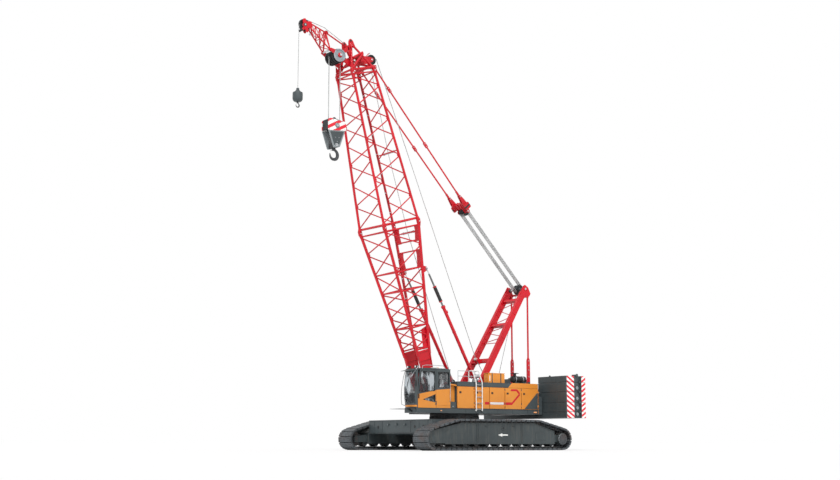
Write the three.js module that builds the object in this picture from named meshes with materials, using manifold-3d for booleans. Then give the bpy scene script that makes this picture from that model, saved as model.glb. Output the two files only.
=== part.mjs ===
// Crawler crane with a lattice boom, in millimetres, +Z up.
// The ground is z = 0, the slewing axis is the Z axis, the crane faces -Y and its left side is +X.
import * as THREE from 'three';
import { mergeVertices } from 'three/addons/utils/BufferGeometryUtils.js';
import Module from 'manifold-3d';

const wasm = await Module();
wasm.setup();

// ---------------------------------------------------------------- sizes
// running clearances
const seat = 0.3;            // between pieces that rest on each other
const pinPlay = 0.8;         // radial play of a turning pin in its hole
const sideGap = 8;           // beside a moving plate

// tracks
const trackGauge = 6420;     // centre to centre
const trackHalfLength = 4505;
const shoeWidth = 1098;
const shoeThickness = 95;
const shoePitch = 330;
const shoeGap = 24;
const lugDepth = 38;
const chainDepth = 95;       // chain links, inside the shoes
const chainWidth = 420;
const wheelRadius = 545;     // over the shoes, at both ends
const topRun = 1470;         // height of the upper run
const topFront = 1887 - trackHalfLength; // where the upper run starts to fall
const topRear = trackHalfLength - 2101;
const rollerPitch = 680;
const rollerRadius = 135;
const frameOuter = 3610;     // outer face of the track frame
const frameInner = 2790;
const frameBottom = 330;
const frameRear = trackHalfLength - 1035;
const frameFront = 1175 - trackHalfLength;
const rollerCount = 2 * Math.floor((frameRear - 70) / rollerPitch) + 1;

// undercarriage
const carbodyWidth = 2900;
const carbodyLength = 3900;
const carbodyBottom = 720;
const carbodyTop = 1440;
const beamFront = -3350;     // outer face of the front cross beam
const beamDepth = 760;
const beamBottom = 800;
const beamTop = 1458;
const ringRadius = 1240;
const deckBottom = 1784;
const deckTop = 2021;

// revolving frame and house
const sideX = 1648;          // outer face of cab and doors
const skin = 45;             // door and wall thickness
const houseInner = 1020;
const houseFront = -1072;
const houseRear = 4166;
const panelTop = 3099;
const houseTop = 3328;
const deckRear = 4440;
const doorSeams = [-1072, -30, 945, 1945, 3030, 4166];
const seamGap = 24;
const swingGap = 26;         // between a door's free edge and the seam it swings past
const doorPlay = 5;          // between a closed door and its wall
const barrelRadius = 15;     // hinge barrels
const barrelOut = 18;        // hinge axis outside the side faces
const rightSeams = [-1072, 900, 2500, 4166];

// cab
const cabInner = 668;
const cabFront = -3463;
const cabDoorRear = -2363;
const cabRear = -1498;
const cabTop = 3880;
const cabWall = 60;
const cabBulge = 150;        // how far the windscreen curves forward
const glass = 8;

// boom
const boomAngle = 74.7 * Math.PI / 180;
const boomFootY = -1707;
const boomFootZ = 2457;
const footHalf = 450;        // half spacing of the foot plates
const footPlate = 140;
const footEye = 210;
const footDepth = 200;       // half depth at the pin
const footStraight = 1000;
const footPlateTop = 2500;
const jointL = 8745;
const jointHalfDepth = 1052;
const jointHalfWidth = 1065;
const headL = 16519;
const headHalfDepth = 657;
const headHalfWidth = 676;
const chordRadius = 78;
const upperChordRadius = 66;
const laceRadius = 38;
const laceGap = 17;          // from a node to each brace that ends there
const footBays = 3;
const topBays = 3;
const boomPin = 70;

// boom head
const sheaveL = headL + 941;
const sheaveH = -1030;
const sheaveRadius = 350;
const peakL = headL + 1761;
const peakH = -30;
const peakHalf = 400;
const pendantL = headL + 141;
const pendantH = 790;
const pendantHalf = 553;
const cheekHalf = 400;       // sheave cheek plates
const guideL = headL + 627;
const guideH = 1104;

// fly jib
const jibTipL = headL + 2661;
const jibTipH = -2390;
const jibRootL = headL + 1281;
const jibRootH = -1428;
const jibPeakL = headL + 2431;
const jibPeakH = -1180;
const jibSheaveRadius = 300;

// mast
const mastFootY = 645;
const mastFootZ = 2549;
const mastTopY = 4216;
const mastTopZ = 8352;
const mastFootHalf = 741;
const mastTopHalf = 645;
const mastBeamWidth = 190;
const mastBeamDepth = 290;
const mastSheaveRadius = 290;
const backstayY = 4392;
const backstayFootZ = 3388;
const backstayLinkTop = 4700;

// luffing tackle
const bridleAt = 5490;       // from the mast sheaves along the line of pull
const bridleHalf = 416;

// backstops
const stopHalf = 930;
const stopFootY = 608;
const stopFootZ = 3450;
const stopEyeL = 6376;
const stopEyeH = 1020;
const stopTubeRadius = 85;
const stopRodRadius = 48;
const stopNeckRadius = 28;   // the rod's end, beside the boom's corner tube
const stopNeckLength = 300;
const stopTubeLength = 4095;
const stopBufferStart = 4372; // the rod can come in by the difference

// counterweight
const weightHalf = 3331;
const weightFront = 4575;
const weightRear = 5921;
const weightInner = 1200;
const weightLevels = [1596, 1908, 2387, 2913, 3404, 3721];
const slabGap = 22;
const slabGroove = 26;

// hooks
const blockTop = 16002;
const blockHalf = 270;
const hookBottom = 13836;
const auxTop = 17130;
const auxBottom = 16464;
const auxRadius = 245;
const auxHookBottom = 16163;

// ---------------------------------------------------------------- colours
const red = 0xc8102a;
const orange = 0xe2963e;
const slate = 0x4a5355;
const charcoal = 0x2f3536;
const steel = 0x8d979c;
const white = 0xe6e6e2;

// ---------------------------------------------------------------- solids
function solid(geometry) {
  geometry.deleteAttribute('normal');
  geometry.deleteAttribute('uv');
  const merged = mergeVertices(geometry);
  return new wasm.Manifold(new wasm.Mesh({
    numProp: 3,
    vertProperties: Float32Array.from(merged.attributes.position.array),
    triVerts: Uint32Array.from(merged.index.array),
  }));
}

function join(...pieces) {
  return pieces.flat().reduce((whole, piece) => whole.add(piece));
}

function cut(whole, ...tools) {
  return tools.flat().reduce((rest, tool) => rest.subtract(tool), whole);
}

function block(x0, x1, y0, y1, z0, z1) {
  const box = new THREE.BoxGeometry(Math.abs(x1 - x0), Math.abs(y1 - y0), Math.abs(z1 - z0));
  return solid(box.translate((x0 + x1) / 2, (y0 + y1) / 2, (z0 + z1) / 2));
}

// a round bar, or a prism with few sides, from point a to point b
function bar(a, b, radius, sides = 12, endRadius = radius) {
  const from = new THREE.Vector3(...a);
  const to = new THREE.Vector3(...b);
  const along = to.clone().sub(from);
  const shape = new THREE.CylinderGeometry(endRadius, radius, along.length(), sides);
  const turn = new THREE.Quaternion().setFromUnitVectors(new THREE.Vector3(0, 1, 0), along.normalize());
  shape.applyQuaternion(turn);
  const middle = from.add(to).multiplyScalar(0.5);
  return solid(shape.translate(middle.x, middle.y, middle.z));
}

// a round piece about an axis parallel to X
function axle(x0, x1, y, z, radius, sides = 24) {
  return bar([x0, y, z], [x1, y, z], radius, sides);
}

// an outline of [y, z] points, thick from x0 to x1
function plate(points, x0, x1, holes = []) {
  const shape = new THREE.Shape(points.map(([y, z]) => new THREE.Vector2(y, z)));
  holes.forEach((hole) => shape.holes.push(new THREE.Path(hole.map(([y, z]) => new THREE.Vector2(y, z)))));
  const body = new THREE.ExtrudeGeometry(shape, { depth: Math.abs(x1 - x0), bevelEnabled: false });
  const turn = new THREE.Matrix4().makeBasis(
    new THREE.Vector3(0, 1, 0), new THREE.Vector3(0, 0, 1), new THREE.Vector3(1, 0, 0));
  body.applyMatrix4(turn);
  return solid(body.translate(Math.min(x0, x1), 0, 0));
}

// an outline of [x, y] points, thick from z0 to z1
function slab(points, z0, z1) {
  const shape = new THREE.Shape(points.map(([x, y]) => new THREE.Vector2(x, y)));
  const body = new THREE.ExtrudeGeometry(shape, { depth: z1 - z0, bevelEnabled: false });
  return solid(body.translate(0, 0, z0));
}

// a solid between two rectangles, each [x0, x1, y0, y1, z]
function taper(low, high) {
  const corners = [low, high].flatMap(([x0, x1, y0, y1, z]) => [x0, y0, z, x1, y0, z, x1, y1, z, x0, y1, z]);
  const faces = [0, 2, 1, 0, 3, 2, 4, 5, 6, 4, 6, 7, 0, 1, 5, 0, 5, 4,
    1, 2, 6, 1, 6, 5, 2, 3, 7, 2, 7, 6, 3, 0, 4, 3, 4, 7];
  const body = new THREE.BufferGeometry();
  body.setAttribute('position', new THREE.BufferAttribute(Float32Array.from(corners), 3));
  body.setIndex(faces);
  return solid(body);
}

// a turned piece about the Z axis; the profile is [radius, z]
function turned(profile, sides = 32) {
  const shape = new THREE.LatheGeometry(profile.map(([r, z]) => new THREE.Vector2(r, z)), sides);
  return solid(shape.rotateX(Math.PI / 2));
}

function mirrored(piece) {
  return piece.mirror([1, 0, 0]);
}

function arc(cy, cz, radius, from, to, steps) {
  return Array.from({ length: steps + 1 }, (_, i) => {
    const angle = from + (to - from) * i / steps;
    return [cy + radius * Math.cos(angle), cz + radius * Math.sin(angle)];
  });
}

function mix(a, b, t) {
  return a + (b - a) * t;
}

// ---------------------------------------------------------------- tree
const crane = new THREE.Group();
const superstructure = new THREE.Group();
crane.add(superstructure);

function part(group, name, piece, color, roughness = 0.5, metalness = 0.1) {
  const raw = piece.getMesh();
  const geometry = new THREE.BufferGeometry();
  geometry.setAttribute('position', new THREE.BufferAttribute(Float32Array.from(raw.vertProperties), 3));
  geometry.setIndex(new THREE.BufferAttribute(Uint32Array.from(raw.triVerts), 1));
  const mesh = new THREE.Mesh(geometry, new THREE.MeshStandardMaterial({ color, roughness, metalness }));
  mesh.name = name;
  group.add(mesh);
}

// a group at (0, y, z) whose own Z axis leans towards (along[0], along[1]) in the Y-Z plane
function leaning(parent, y, z, along) {
  const group = new THREE.Group();
  group.position.set(0, y, z);
  group.rotation.x = Math.atan2(-along[0], along[1]);
  parent.add(group);
  return group;
}

// ---------------------------------------------------------------- tracks
const wheelY = trackHalfLength - wheelRadius;
const wheelZ = wheelRadius;

// tangent angle from an end wheel of radius r to the corner of the upper run
function tangentAngle(r, cornerY, cornerZ) {
  const dy = cornerY - wheelY;
  const dz = cornerZ - wheelZ;
  return Math.atan2(dz, dy) - Math.acos(r / Math.hypot(dy, dz));
}

// the track's path as [y, z] points, moved inward by depth
function trackPath(depth, arcSteps) {
  const r = wheelRadius - depth;
  const rearAngle = tangentAngle(r, topRear, topRun - depth);
  const frontAngle = Math.PI - tangentAngle(r, -topFront, topRun - depth);
  const rear = arc(wheelY, wheelZ, r, -Math.PI / 2, rearAngle, arcSteps);
  const front = arc(-wheelY, wheelZ, r, frontAngle, 1.5 * Math.PI, arcSteps);
  return [...rear, [topRear, topRun - depth], [topFront, topRun - depth], ...front];
}

// one closed run of shoes: each is flat, with a grouser gap to the next
function shoeOutline() {
  const path = trackPath(0, 14);
  const lengths = path.map((p, i) => {
    const q = path[(i + 1) % path.length];
    return Math.hypot(q[0] - p[0], q[1] - p[1]);
  });
  const total = lengths.reduce((sum, length) => sum + length, 0);
  const count = Math.round(total / shoePitch);
  const pointAt = (distance, depth) => {
    let rest = ((distance % total) + total) % total;
    let i = 0;
    while (rest > lengths[i]) {
      rest -= lengths[i];
      i += 1;
    }
    const p = path[i];
    const q = path[(i + 1) % path.length];
    const ty = (q[0] - p[0]) / lengths[i];
    const tz = (q[1] - p[1]) / lengths[i];
    return [p[0] + ty * rest - tz * depth, p[1] + tz * rest + ty * depth];
  };
  return Array.from({ length: count }, (_, i) => {
    const start = i * total / count;
    const end = (i + 1) * total / count;
    return [pointAt(start, lugDepth), pointAt(start + shoeGap, 0), pointAt(end - shoeGap, 0)];
  }).flat();
}

function track(side) {
  const x = side * trackGauge / 2;
  const shoes = plate(shoeOutline(), x - shoeWidth / 2, x + shoeWidth / 2, [trackPath(shoeThickness, 12)]);
  const chainOuter = trackPath(shoeThickness - 25, 10);
  const chainInner = trackPath(shoeThickness + chainDepth, 16);
  const chain = plate(chainOuter, x - chainWidth / 2, x + chainWidth / 2, [chainInner]);
  return join(shoes, chain);
}

const bandDepth = shoeThickness + chainDepth;
const runFloor = bandDepth;                   // top face of the lower chain
const runCeiling = topRun - bandDepth;        // under face of the upper chain
const rollerZ = runFloor + seat + rollerRadius;
const wheelFit = (wheelRadius - bandDepth) * Math.cos(Math.PI / 24) - 1.2;

function trackFrame(side) {
  const top = runCeiling - seat;
  const outline = [
    [frameRear, frameBottom], [frameRear, 900], [topRear - 250, top],
    [topFront + 250, top], [frameFront, 880], [frameFront, frameBottom],
  ];
  const outer = side * frameOuter;
  const inner = side * frameInner;
  const centre = side * trackGauge / 2;
  const box = plate(outline, inner, outer);
  const fork = (sign) => {
    const root = sign > 0 ? frameRear : frameFront;
    const arm = [[root - sign * 80, wheelZ - 150], [sign * (wheelY + 130), wheelZ - 150],
      [sign * (wheelY + 130), wheelZ + 150], [root - sign * 80, wheelZ + 230]];
    const near = plate(arm, centre - side * 330, centre - side * 270);
    const far = plate(arm, centre + side * 270, centre + side * 330);
    return join(near, far);
  };
  const tunnel = block(centre - 250, centre + 250, frameFront - 10, frameRear + 10, frameBottom - 10, rollerZ + rollerRadius + 20);
  const ribs = [-1300, 1430].map((y) => plate(
    [[y - 30, frameBottom + 4], [y + 30, frameBottom + 4], [y + 30, top - 12], [y - 30, top - 12]],
    outer - side * 5, outer + side * 14));
  const bores = [-wheelY, wheelY].map((y) => axle(centre - 400, centre + 400, y, wheelZ, 100 + pinPlay, 12));
  const rollers = Array.from({ length: rollerCount }, (_, i) => {
    const y = (i - (rollerCount - 1) / 2) * rollerPitch;
    return axle(centre - 256, centre + 256, y, rollerZ, rollerRadius, 8);
  });
  return join(cut(join(box, fork(1), fork(-1), ribs), tunnel, bores), rollers);
}

// sprocket with its shaft and travel gearbox
function sprocket(side, teeth) {
  const y = wheelY;
  const x = side * trackGauge / 2;
  const rim = Array.from({ length: teeth * 2 }, (_, i) => {
    const angle = Math.PI * i / teeth;
    const r = i % 2 ? wheelFit : wheelFit - 45;
    return [y + r * Math.cos(angle), wheelZ + r * Math.sin(angle)];
  });
  const wheel = plate(rim, x - 170, x + 170);
  const boss = axle(x - 262, x + 262, y, wheelZ, 190, 8);
  const shaft = axle(x - side * 335, x + side * 400, y, wheelZ, 100, 12);
  // the travel gearbox, a stepped drum outside the frame
  const drum = axle(x + side * (330 + seat), x + side * 440, y, wheelZ, 300, 12);
  const cover = axle(x + side * 430, x + side * 500, y, wheelZ, 265, 12);
  return join(wheel, boss, shaft, drum, cover);
}

function idler(side) {
  const x = side * trackGauge / 2;
  const rim = axle(x - 200, x + 200, -wheelY, wheelZ, wheelFit, 24);
  const bosses = axle(x - 262, x + 262, -wheelY, wheelZ, 170, 8);
  return join(rim, bosses, axle(x - 335, x + 335, -wheelY, wheelZ, 100, 12));
}

for (const [side, word] of [[1, 'left'], [-1, 'right']]) {
  part(crane, `track_${word}`, track(side), charcoal, 0.6, 0.5);
  part(crane, `track_frame_${word}`, trackFrame(side), slate, 0.55, 0.2);
  part(crane, `sprocket_${word}`, sprocket(side, 11), charcoal, 0.5, 0.6);
  part(crane, `idler_${word}`, idler(side), charcoal, 0.5, 0.6);
}

// ---------------------------------------------------------------- carbody
const beamRear = -beamFront;

function carbody() {
  const w = carbodyWidth / 2;
  const l = carbodyLength / 2;
  const core = slab([[-w, -l + 500], [-w + 500, -l], [w - 500, -l], [w, -l + 500],
    [w, l - 500], [w - 500, l], [-w + 500, l], [-w, l - 500]], carbodyBottom, carbodyTop);
  const arms = [-1, 1].flatMap((side) => [-1, 1].map((end) => {
    const reach = side * (frameInner - seat);
    return block(side * (w - 100), reach, end * 700, end * 1650, carbodyBottom + 40, carbodyTop - 90);
  }));
  const necks = [-1, 1].map((end) => block(-900, 900, end * (l - 50), end * (beamRear - beamDepth - seat),
    carbodyBottom + 120, carbodyTop - 60));
  const seatRing = axleZ(0, 0, carbodyTop - 40, carbodyTop + 70, ringRadius + 60, 24);
  const well = axleZ(0, 0, carbodyTop - 200, carbodyTop + 100, ringRadius - 260);
  return cut(join(core, arms, necks, seatRing), well);
}

function axleZ(x, y, z0, z1, radius, sides = 24) {
  return bar([x, y, z0], [x, y, z1], radius, sides);
}

function crossBeam(end) {
  const reach = trackGauge / 2 - shoeWidth / 2 - 12;
  const outer = end * beamRear;
  const body = block(-reach, reach, outer, outer - end * beamDepth, beamBottom, beamTop);
  const lugs = [-940, -240, 460].map((x) => block(x - 45, x + 45, outer - end * 5, outer + end * 60, 1190, 1290));
  const lip = block(-reach, reach, outer - end * 20, outer + end * 14, beamTop - 40, beamTop);
  const recess = block(-reach + 900, reach - 900, outer - end * (beamDepth - 160), outer - end * (beamDepth + 10),
    beamBottom - 10, beamTop + 10);
  const pad = block(-890, 890, outer - end * (beamDepth - 170), outer - end * beamDepth, beamBottom + 60, beamTop - 90);
  return join(cut(join(body, lugs, lip), recess), pad);
}

function slewBearing() {
  const outer = axleZ(0, 0, carbodyTop + 70 + seat, deckBottom - seat, ringRadius, 24);
  const well = axleZ(0, 0, carbodyTop, deckBottom + 10, ringRadius - 240);
  return cut(outer, well);
}

part(crane, 'carbody', carbody(), slate, 0.6, 0.2);
part(crane, 'front_cross_beam', crossBeam(-1), slate, 0.6, 0.2);
part(crane, 'rear_cross_beam', crossBeam(1), slate, 0.6, 0.2);
part(crane, 'slew_bearing', slewBearing(), charcoal, 0.5, 0.5);

// ---------------------------------------------------------------- revolving frame
const bracketThick = 50;
const footClear = footPlate / 2 + sideGap;
const eyeRound = (y, z, r, from, to) => arc(y, z, r, from, to, 6);
const stopClear = 45 + sideGap;
const mastClear = mastBeamWidth / 2 + seat;

function bracket(y, z, r, base, foot0, foot1, x0, x1) {
  const outline = [[foot0, base], [foot1, base], ...eyeRound(y, z, r, 0, Math.PI)];
  return plate(outline, x0, x1);
}

function revolvingFrame() {
  const deck = block(-sideX + 10, sideX - 10, houseFront, deckRear, deckBottom, deckTop);
  const cabFloor = block(cabInner - 20, sideX - 10, cabFront - 60, houseFront + 10, deckBottom, deckTop - 10);
  const nose = block(-cabInner, cabInner - 10, -2050, houseFront + 10, deckBottom, deckTop);
  const rightDeck = block(-sideX + 10, -cabInner + 10, -1620, houseFront + 10, deckBottom, deckTop - 10);
  const girders = [-1, 1].map((side) => plate(
    [[-1900, deckTop - 20], [deckRear, deckTop - 20], [deckRear, 2560], [1300, 2560], [-900, 2330], [-1900, 2330]],
    side * (footHalf + footClear + bracketThick), side * (footHalf + footClear)));
  const footBrackets = [-1, 1].flatMap((side) => [-1, 1].map((face) => {
    const near = side * footHalf + face * footClear;
    return bracket(boomFootY, boomFootZ, 220, deckTop - 20, -2020, -1300, near, near + face * bracketThick);
  }));
  const mastBrackets = [-1, 1].flatMap((side) => [-1, 1].map((face) => {
    const near = side * mastFootHalf + face * mastClear;
    return bracket(mastFootY, mastFootZ, 190, deckTop - 20, 300, 1000, near, near + face * 40);
  }));
  const stopBrackets = [-1, 1].flatMap((side) => [-1, 1].map((face) => {
    const near = side * stopHalf + face * stopClear;
    return bracket(stopFootY, stopFootZ, 120, deckTop - 20, 250, 1150, near, near + face * 22);
  }));
  const stayPosts = [-1, 1].map((side) => block(side * (mastTopHalf - 60), side * (mastTopHalf + 60),
    backstayY - 110, backstayY + 48, deckTop - 20, backstayFootZ - 160));
  const stayEars = [-1, 1].flatMap((side) => [-1, 1].map((face) => {
    const near = side * mastTopHalf + face * (50 + seat);
    return plate([[backstayY - 100, backstayFootZ - 200], [backstayY + 48, backstayFootZ - 200],
      [backstayY + 48, backstayFootZ + 90], [backstayY - 100, backstayFootZ + 90]], near, near + face * 30);
  }));
  const rearWall = block(-sideX + 10, sideX - 10, houseRear + seat + 30, deckRear, deckTop - 20, 2700);
  const footBores = axle(-700, 700, boomFootY, boomFootZ, boomPin + pinPlay);
  const stopBores = axle(-1010, 1010, stopFootY, stopFootZ, 40 + pinPlay, 16);
  const whole = join(deck, cabFloor, nose, rightDeck, girders, footBrackets, mastBrackets, stopBrackets,
    stayPosts, stayEars, rearWall);
  return cut(whole, footBores, stopBores);
}

part(superstructure, 'revolving_frame', revolvingFrame(), slate, 0.55, 0.2);

// ---------------------------------------------------------------- machinery house
const floorZ = deckTop + seat;
const doorFace = sideX - skin;

// hinge barrels on a vertical axis at (x, y): the fixed halves reach inward, the moving ones forward
function fixedBarrels(side, y, levels, strapDepth) {
  const x = side * (sideX + barrelOut);
  return levels.map((z) => join(
    axleZ(x, y, z + seat, z + 90, barrelRadius, 6),
    block(side * (sideX - strapDepth), x, y - 3, y + 3, z + seat, z + 90)));
}

function movingBarrels(side, y, levels) {
  const x = side * (sideX + barrelOut);
  return levels.map((z) => join(
    axleZ(x, y, z - 90, z, barrelRadius, 6),
    block(side * (sideX - 5), x, y - 60, y - 3, z - 90, z)));
}

const doorHinges = [2250, 2950];

// a hollow house along one side, open towards its doors
function house(side, seams, filled) {
  const outer = side * (doorFace - doorPlay);
  const inner = side * houseInner;
  const shell = block(inner, outer, houseFront, houseRear + 8, floorZ, houseTop);
  const cavity = block(inner + side * skin, outer - side * skin, houseFront + skin, houseRear - skin,
    floorZ + skin, houseTop - skin);
  const mouths = seams.slice(0, -1).map((y, i) => block(outer - side * (skin + 10), outer + side * 10,
    y + 70, seams[i + 1] - 70, floorZ + 90, panelTop - 60)).filter((_, i) => !filled.includes(i));
  const band = block(outer - side * skin, side * sideX, houseFront, houseRear, panelTop + seamGap / 2, houseTop);
  const hinges = seams.slice(1).filter((_, i) => !filled.includes(i)).map(
    (y) => fixedBarrels(side, y, doorHinges, skin + doorPlay + 10));
  return join(cut(shell, cavity, mouths), band, hinges.flat());
}

function sidePanel(side, seams, i, inner) {
  const y0 = seams[i] + swingGap;
  const y1 = seams[i + 1] - seamGap / 2;
  const panel = block(side * inner, side * sideX, y0, y1, floorZ + 12, panelTop - seamGap / 2);
  const latch = axle(side * (sideX - 5), side * (sideX + 14), y0 + 150, 2810, 32, 8);
  return join(panel, latch);
}

function sideDoor(side, seams, i) {
  return join(sidePanel(side, seams, i, doorFace), movingBarrels(side, seams[i + 1], doorHinges));
}

part(superstructure, 'house_left', house(1, doorSeams, [1]), slate, 0.5, 0.1);
part(superstructure, 'house_right', house(-1, rightSeams, []), slate, 0.5, 0.1);
part(superstructure, 'left_fixed_panel', sidePanel(1, doorSeams, 1, doorFace - doorPlay + seat), orange, 0.4, 0.05);
[0, 2, 3, 4].forEach((i, n) => part(superstructure, `left_door_${n + 1}`, sideDoor(1, doorSeams, i), orange, 0.4, 0.05));
[0, 1, 2].forEach((i) => part(superstructure, `right_door_${i + 1}`, sideDoor(-1, rightSeams, i), orange, 0.4, 0.05));

// engine: one plain mass on the right, behind the middle
part(superstructure, 'engine', block(-houseInner - skin - 60, -doorFace + skin + 90, 1700, 3500,
  floorZ + skin + seat, 2900), charcoal, 0.6, 0.4);

// ---------------------------------------------------------------- cab
const cabOuter = sideX;
const cabFloorTop = deckTop - 10 + seat;
const windowLow = 2740;
const cabHinges = [2260, 3560];

// plan of the cab from its rear wall to the curved nose, inset from its outside
function cabPlan(inset) {
  const x0 = cabInner + inset;
  const x1 = cabOuter - inset;
  const nose = Array.from({ length: 9 }, (_, i) => {
    const t = i / 8;
    return [mix(x0, x1, t), cabFront + inset - cabBulge * Math.sin(Math.PI * t) ** 0.8];
  });
  return [[x1, cabRear - inset], [x0, cabRear - inset], ...nose];
}

function cab() {
  const shell = slab(cabPlan(0), cabFloorTop, cabTop);
  const room = slab(cabPlan(cabWall), cabFloorTop + 70, cabTop - 70);
  const face = block(cabInner + 90, cabOuter - 90, cabFront - 400, cabFront + 90, 2300, cabTop - 150);
  const doorway = block(cabOuter - 120, cabOuter + 10, cabFront + 60, cabDoorRear - 12, cabFloorTop + 30, cabTop - 60);
  const sideRear = block(cabOuter - 120, cabOuter + 10, cabDoorRear + 150, cabRear - 90, 3020, cabTop - 150);
  const sideRight = block(cabInner - 10, cabInner + 120, cabFront + 150, cabRear - 250, windowLow, cabTop - 150);
  const back = block(cabInner + 140, cabOuter - 140, cabRear - 120, cabRear + 10, 3020, cabTop - 150);
  const rebate = block(cabOuter - skin - doorPlay, cabOuter + 10, cabFront - 1, cabDoorRear + 6, cabFloorTop - 1, cabTop - 30);
  const hinges = fixedBarrels(1, cabDoorRear, cabHinges, 60);
  return join(cut(shell, room, face, doorway, sideRear, sideRight, back, rebate), hinges);
}

// curved windscreen between the front posts
function windscreen() {
  const outline = (inset) => slab(cabPlan(inset), 2300 + seat, cabTop - 150 - seat);
  const sheet = cut(outline(20), outline(20 + glass));
  const opening = block(cabInner + 90 + seat, cabOuter - 90 - seat, cabFront - 400, cabFront + 20, 2200, cabTop);
  return sheet.intersect(opening);
}

function cabDoor() {
  const y0 = cabFront + 4;
  const y1 = cabDoorRear - 9;
  const x0 = cabOuter - skin;
  const z0 = cabFloorTop + 6;
  const z1 = cabTop - 40;
  const leaf = plate([[y0, z0], [y1, z0], [y1, z1], [y0 + 130, z1], [y0, windowLow - 60]], x0, cabOuter);
  const upper = plate([[y0 + 90, windowLow + 40], [y1 - 90, windowLow + 120], [y1 - 90, z1 - 90], [y0 + 210, z1 - 90]],
    x0 - 10, cabOuter + 10);
  const lower = plate([[y0 + 330, 2420], [y1 - 60, 2300], [y1 - 60, 2660]], x0 - 10, cabOuter + 10);
  const handle = block(cabOuter - 5, cabOuter + 28, y0 + 40, y0 + 75, 2480, 2660);
  return join(cut(leaf, upper, lower), handle, movingBarrels(1, cabDoorRear, cabHinges));
}

function doorWindow() {
  const y0 = cabFront + 4;
  const y1 = cabDoorRear - 9;
  const z1 = cabTop - 40;
  const x = cabOuter - skin / 2;
  const s = seat + 0.2;
  return plate([[y0 + 90 + s, windowLow + 40 + s], [y1 - 90 - s, windowLow + 120 + s], [y1 - 90 - s, z1 - 90 - s],
    [y0 + 210 + s, z1 - 90 - s]], x - glass / 2, x + glass / 2);
}

function sideWindow() {
  return block(cabOuter - cabWall / 2 - glass / 2, cabOuter - cabWall / 2 + glass / 2,
    cabDoorRear + 150 + seat, cabRear - 90 - seat, 3020 + seat, cabTop - 150 - seat);
}

function operatorSeat() {
  const x = (cabInner + cabOuter) / 2;
  const base = block(x - 160, x + 160, -2500, -2150, cabFloorTop + 70 + seat, 2420);
  const cushion = block(x - 250, x + 250, -2640, -2090, 2400, 2560);
  const back = plate([[-2160, 2500], [-2060, 2500], [-1940, 3200], [-2040, 3220]], x - 240, x + 240);
  const consoles = [-1, 1].map((side) => block(x + side * 240, x + side * 330, -2750, -2200, 2500, 2700));
  return join(base, cushion, back, consoles);
}

part(superstructure, 'cab', cab(), slate, 0.45, 0.1);
part(superstructure, 'windscreen', windscreen(), 0xa8c0c8, 0.1, 0);
part(superstructure, 'cab_door', cabDoor(), orange, 0.4, 0.05);
part(superstructure, 'door_window', doorWindow(), 0xa8c0c8, 0.1, 0);
part(superstructure, 'side_window', sideWindow(), 0xa8c0c8, 0.1, 0);
part(superstructure, 'operator_seat', operatorSeat(), charcoal, 0.8, 0);

// ---------------------------------------------------------------- deck equipment
const ladderX = sideX + 60;
const ladderFront = 60;
const ladderRear = 440;
const rungPitch = 300;

function ladder() {
  const kink = 3330;
  const rails = [ladderFront, ladderRear].map((y) => join(
    bar([ladderX, y, 1905], [ladderX, y, kink], 22, 4),
    bar([ladderX, y, kink - 15], [sideX - 120, y - 90, kink + 560], 22, 4)));
  const rungs = Array.from({ length: 5 }, (_, i) => {
    const z = 1990 + i * rungPitch;
    return bar([ladderX, ladderFront, z], [ladderX, ladderRear, z], 17, 3);
  });
  const grips = [ladderFront, ladderRear].map((y) => join(
    bar([sideX - 120, y - 90, kink + 545], [sideX - 420, y - 90, kink + 545], 18, 4),
    bar([sideX - 405, y - 90, kink + 560], [sideX - 405, y - 90, houseTop + seat], 18, 4)));
  const top = bar([sideX - 120, ladderFront - 90, kink + 545], [sideX - 120, ladderRear - 90, kink + 545], 18, 4);
  const feet = [ladderFront, ladderRear].map((y) => bar([sideX - 10 + seat, y, 1940], [ladderX, y, 1940], 20, 4));
  return join(rails, rungs, grips, top, feet);
}

function winch(y, z, radius) {
  const half = 500;
  const drum = axle(-half, half, y, z, radius, 12);
  const flanges = [-1, 1].map((side) => axle(side * (half - 10), side * (half - 50), y, z, radius + 140, 12));
  const base = block(-300, 300, y - 260, y + 260, deckTop + seat, z - radius + 40);
  return join(drum, flanges, base);
}

function hydraulicTank() {
  const box = block(1060, 1420, 1071, 2130, houseTop + seat, 3807);
  const lid = block(1050, 1430, 1060, 2140, 3790, 3830);
  return join(box, lid);
}

function muffler() {
  const y0 = 2740;
  const y1 = 3640;
  const drum = bar([1230, y0, 3560], [1230, y1, 3560], 165, 12);
  const feet = [y0 + 150, y1 - 150].map((y) => block(1130, 1330, y - 30, y + 30, houseTop + seat, 3480));
  const stack = axleZ(1230, 2960, 3560, 3850, 80, 8);
  const cap = axleZ(1230, 2960, 3850, 3885, 230, 12);
  return join(drum, feet, stack, cap);
}

part(superstructure, 'access_ladder', ladder(), steel, 0.35, 0.6);
part(superstructure, 'front_winch', winch(-150, 2950, 300), charcoal, 0.5, 0.5);
part(superstructure, 'rear_winch', winch(2550, 2850, 300), charcoal, 0.5, 0.5);
part(superstructure, 'hydraulic_tank', hydraulicTank(), orange, 0.4, 0.05);
part(superstructure, 'muffler', muffler(), charcoal, 0.5, 0.4);

// ---------------------------------------------------------------- counterweight
const weightSeat = weightFront + 0;

function counterweightBase() {
  const tray = block(-weightHalf, weightHalf, weightSeat, weightRear, weightLevels[0], weightLevels[1] - seat);
  const tongue = block(-500, 500, deckRear + seat, weightSeat + 10, weightLevels[0] + 60, weightLevels[1] - 40);
  const centre = block(-weightInner + 60, weightInner - 60, weightFront + 160, weightRear - 160,
    weightLevels[1] - 10, weightLevels[3]);
  return join(tray, tongue, centre);
}

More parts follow.
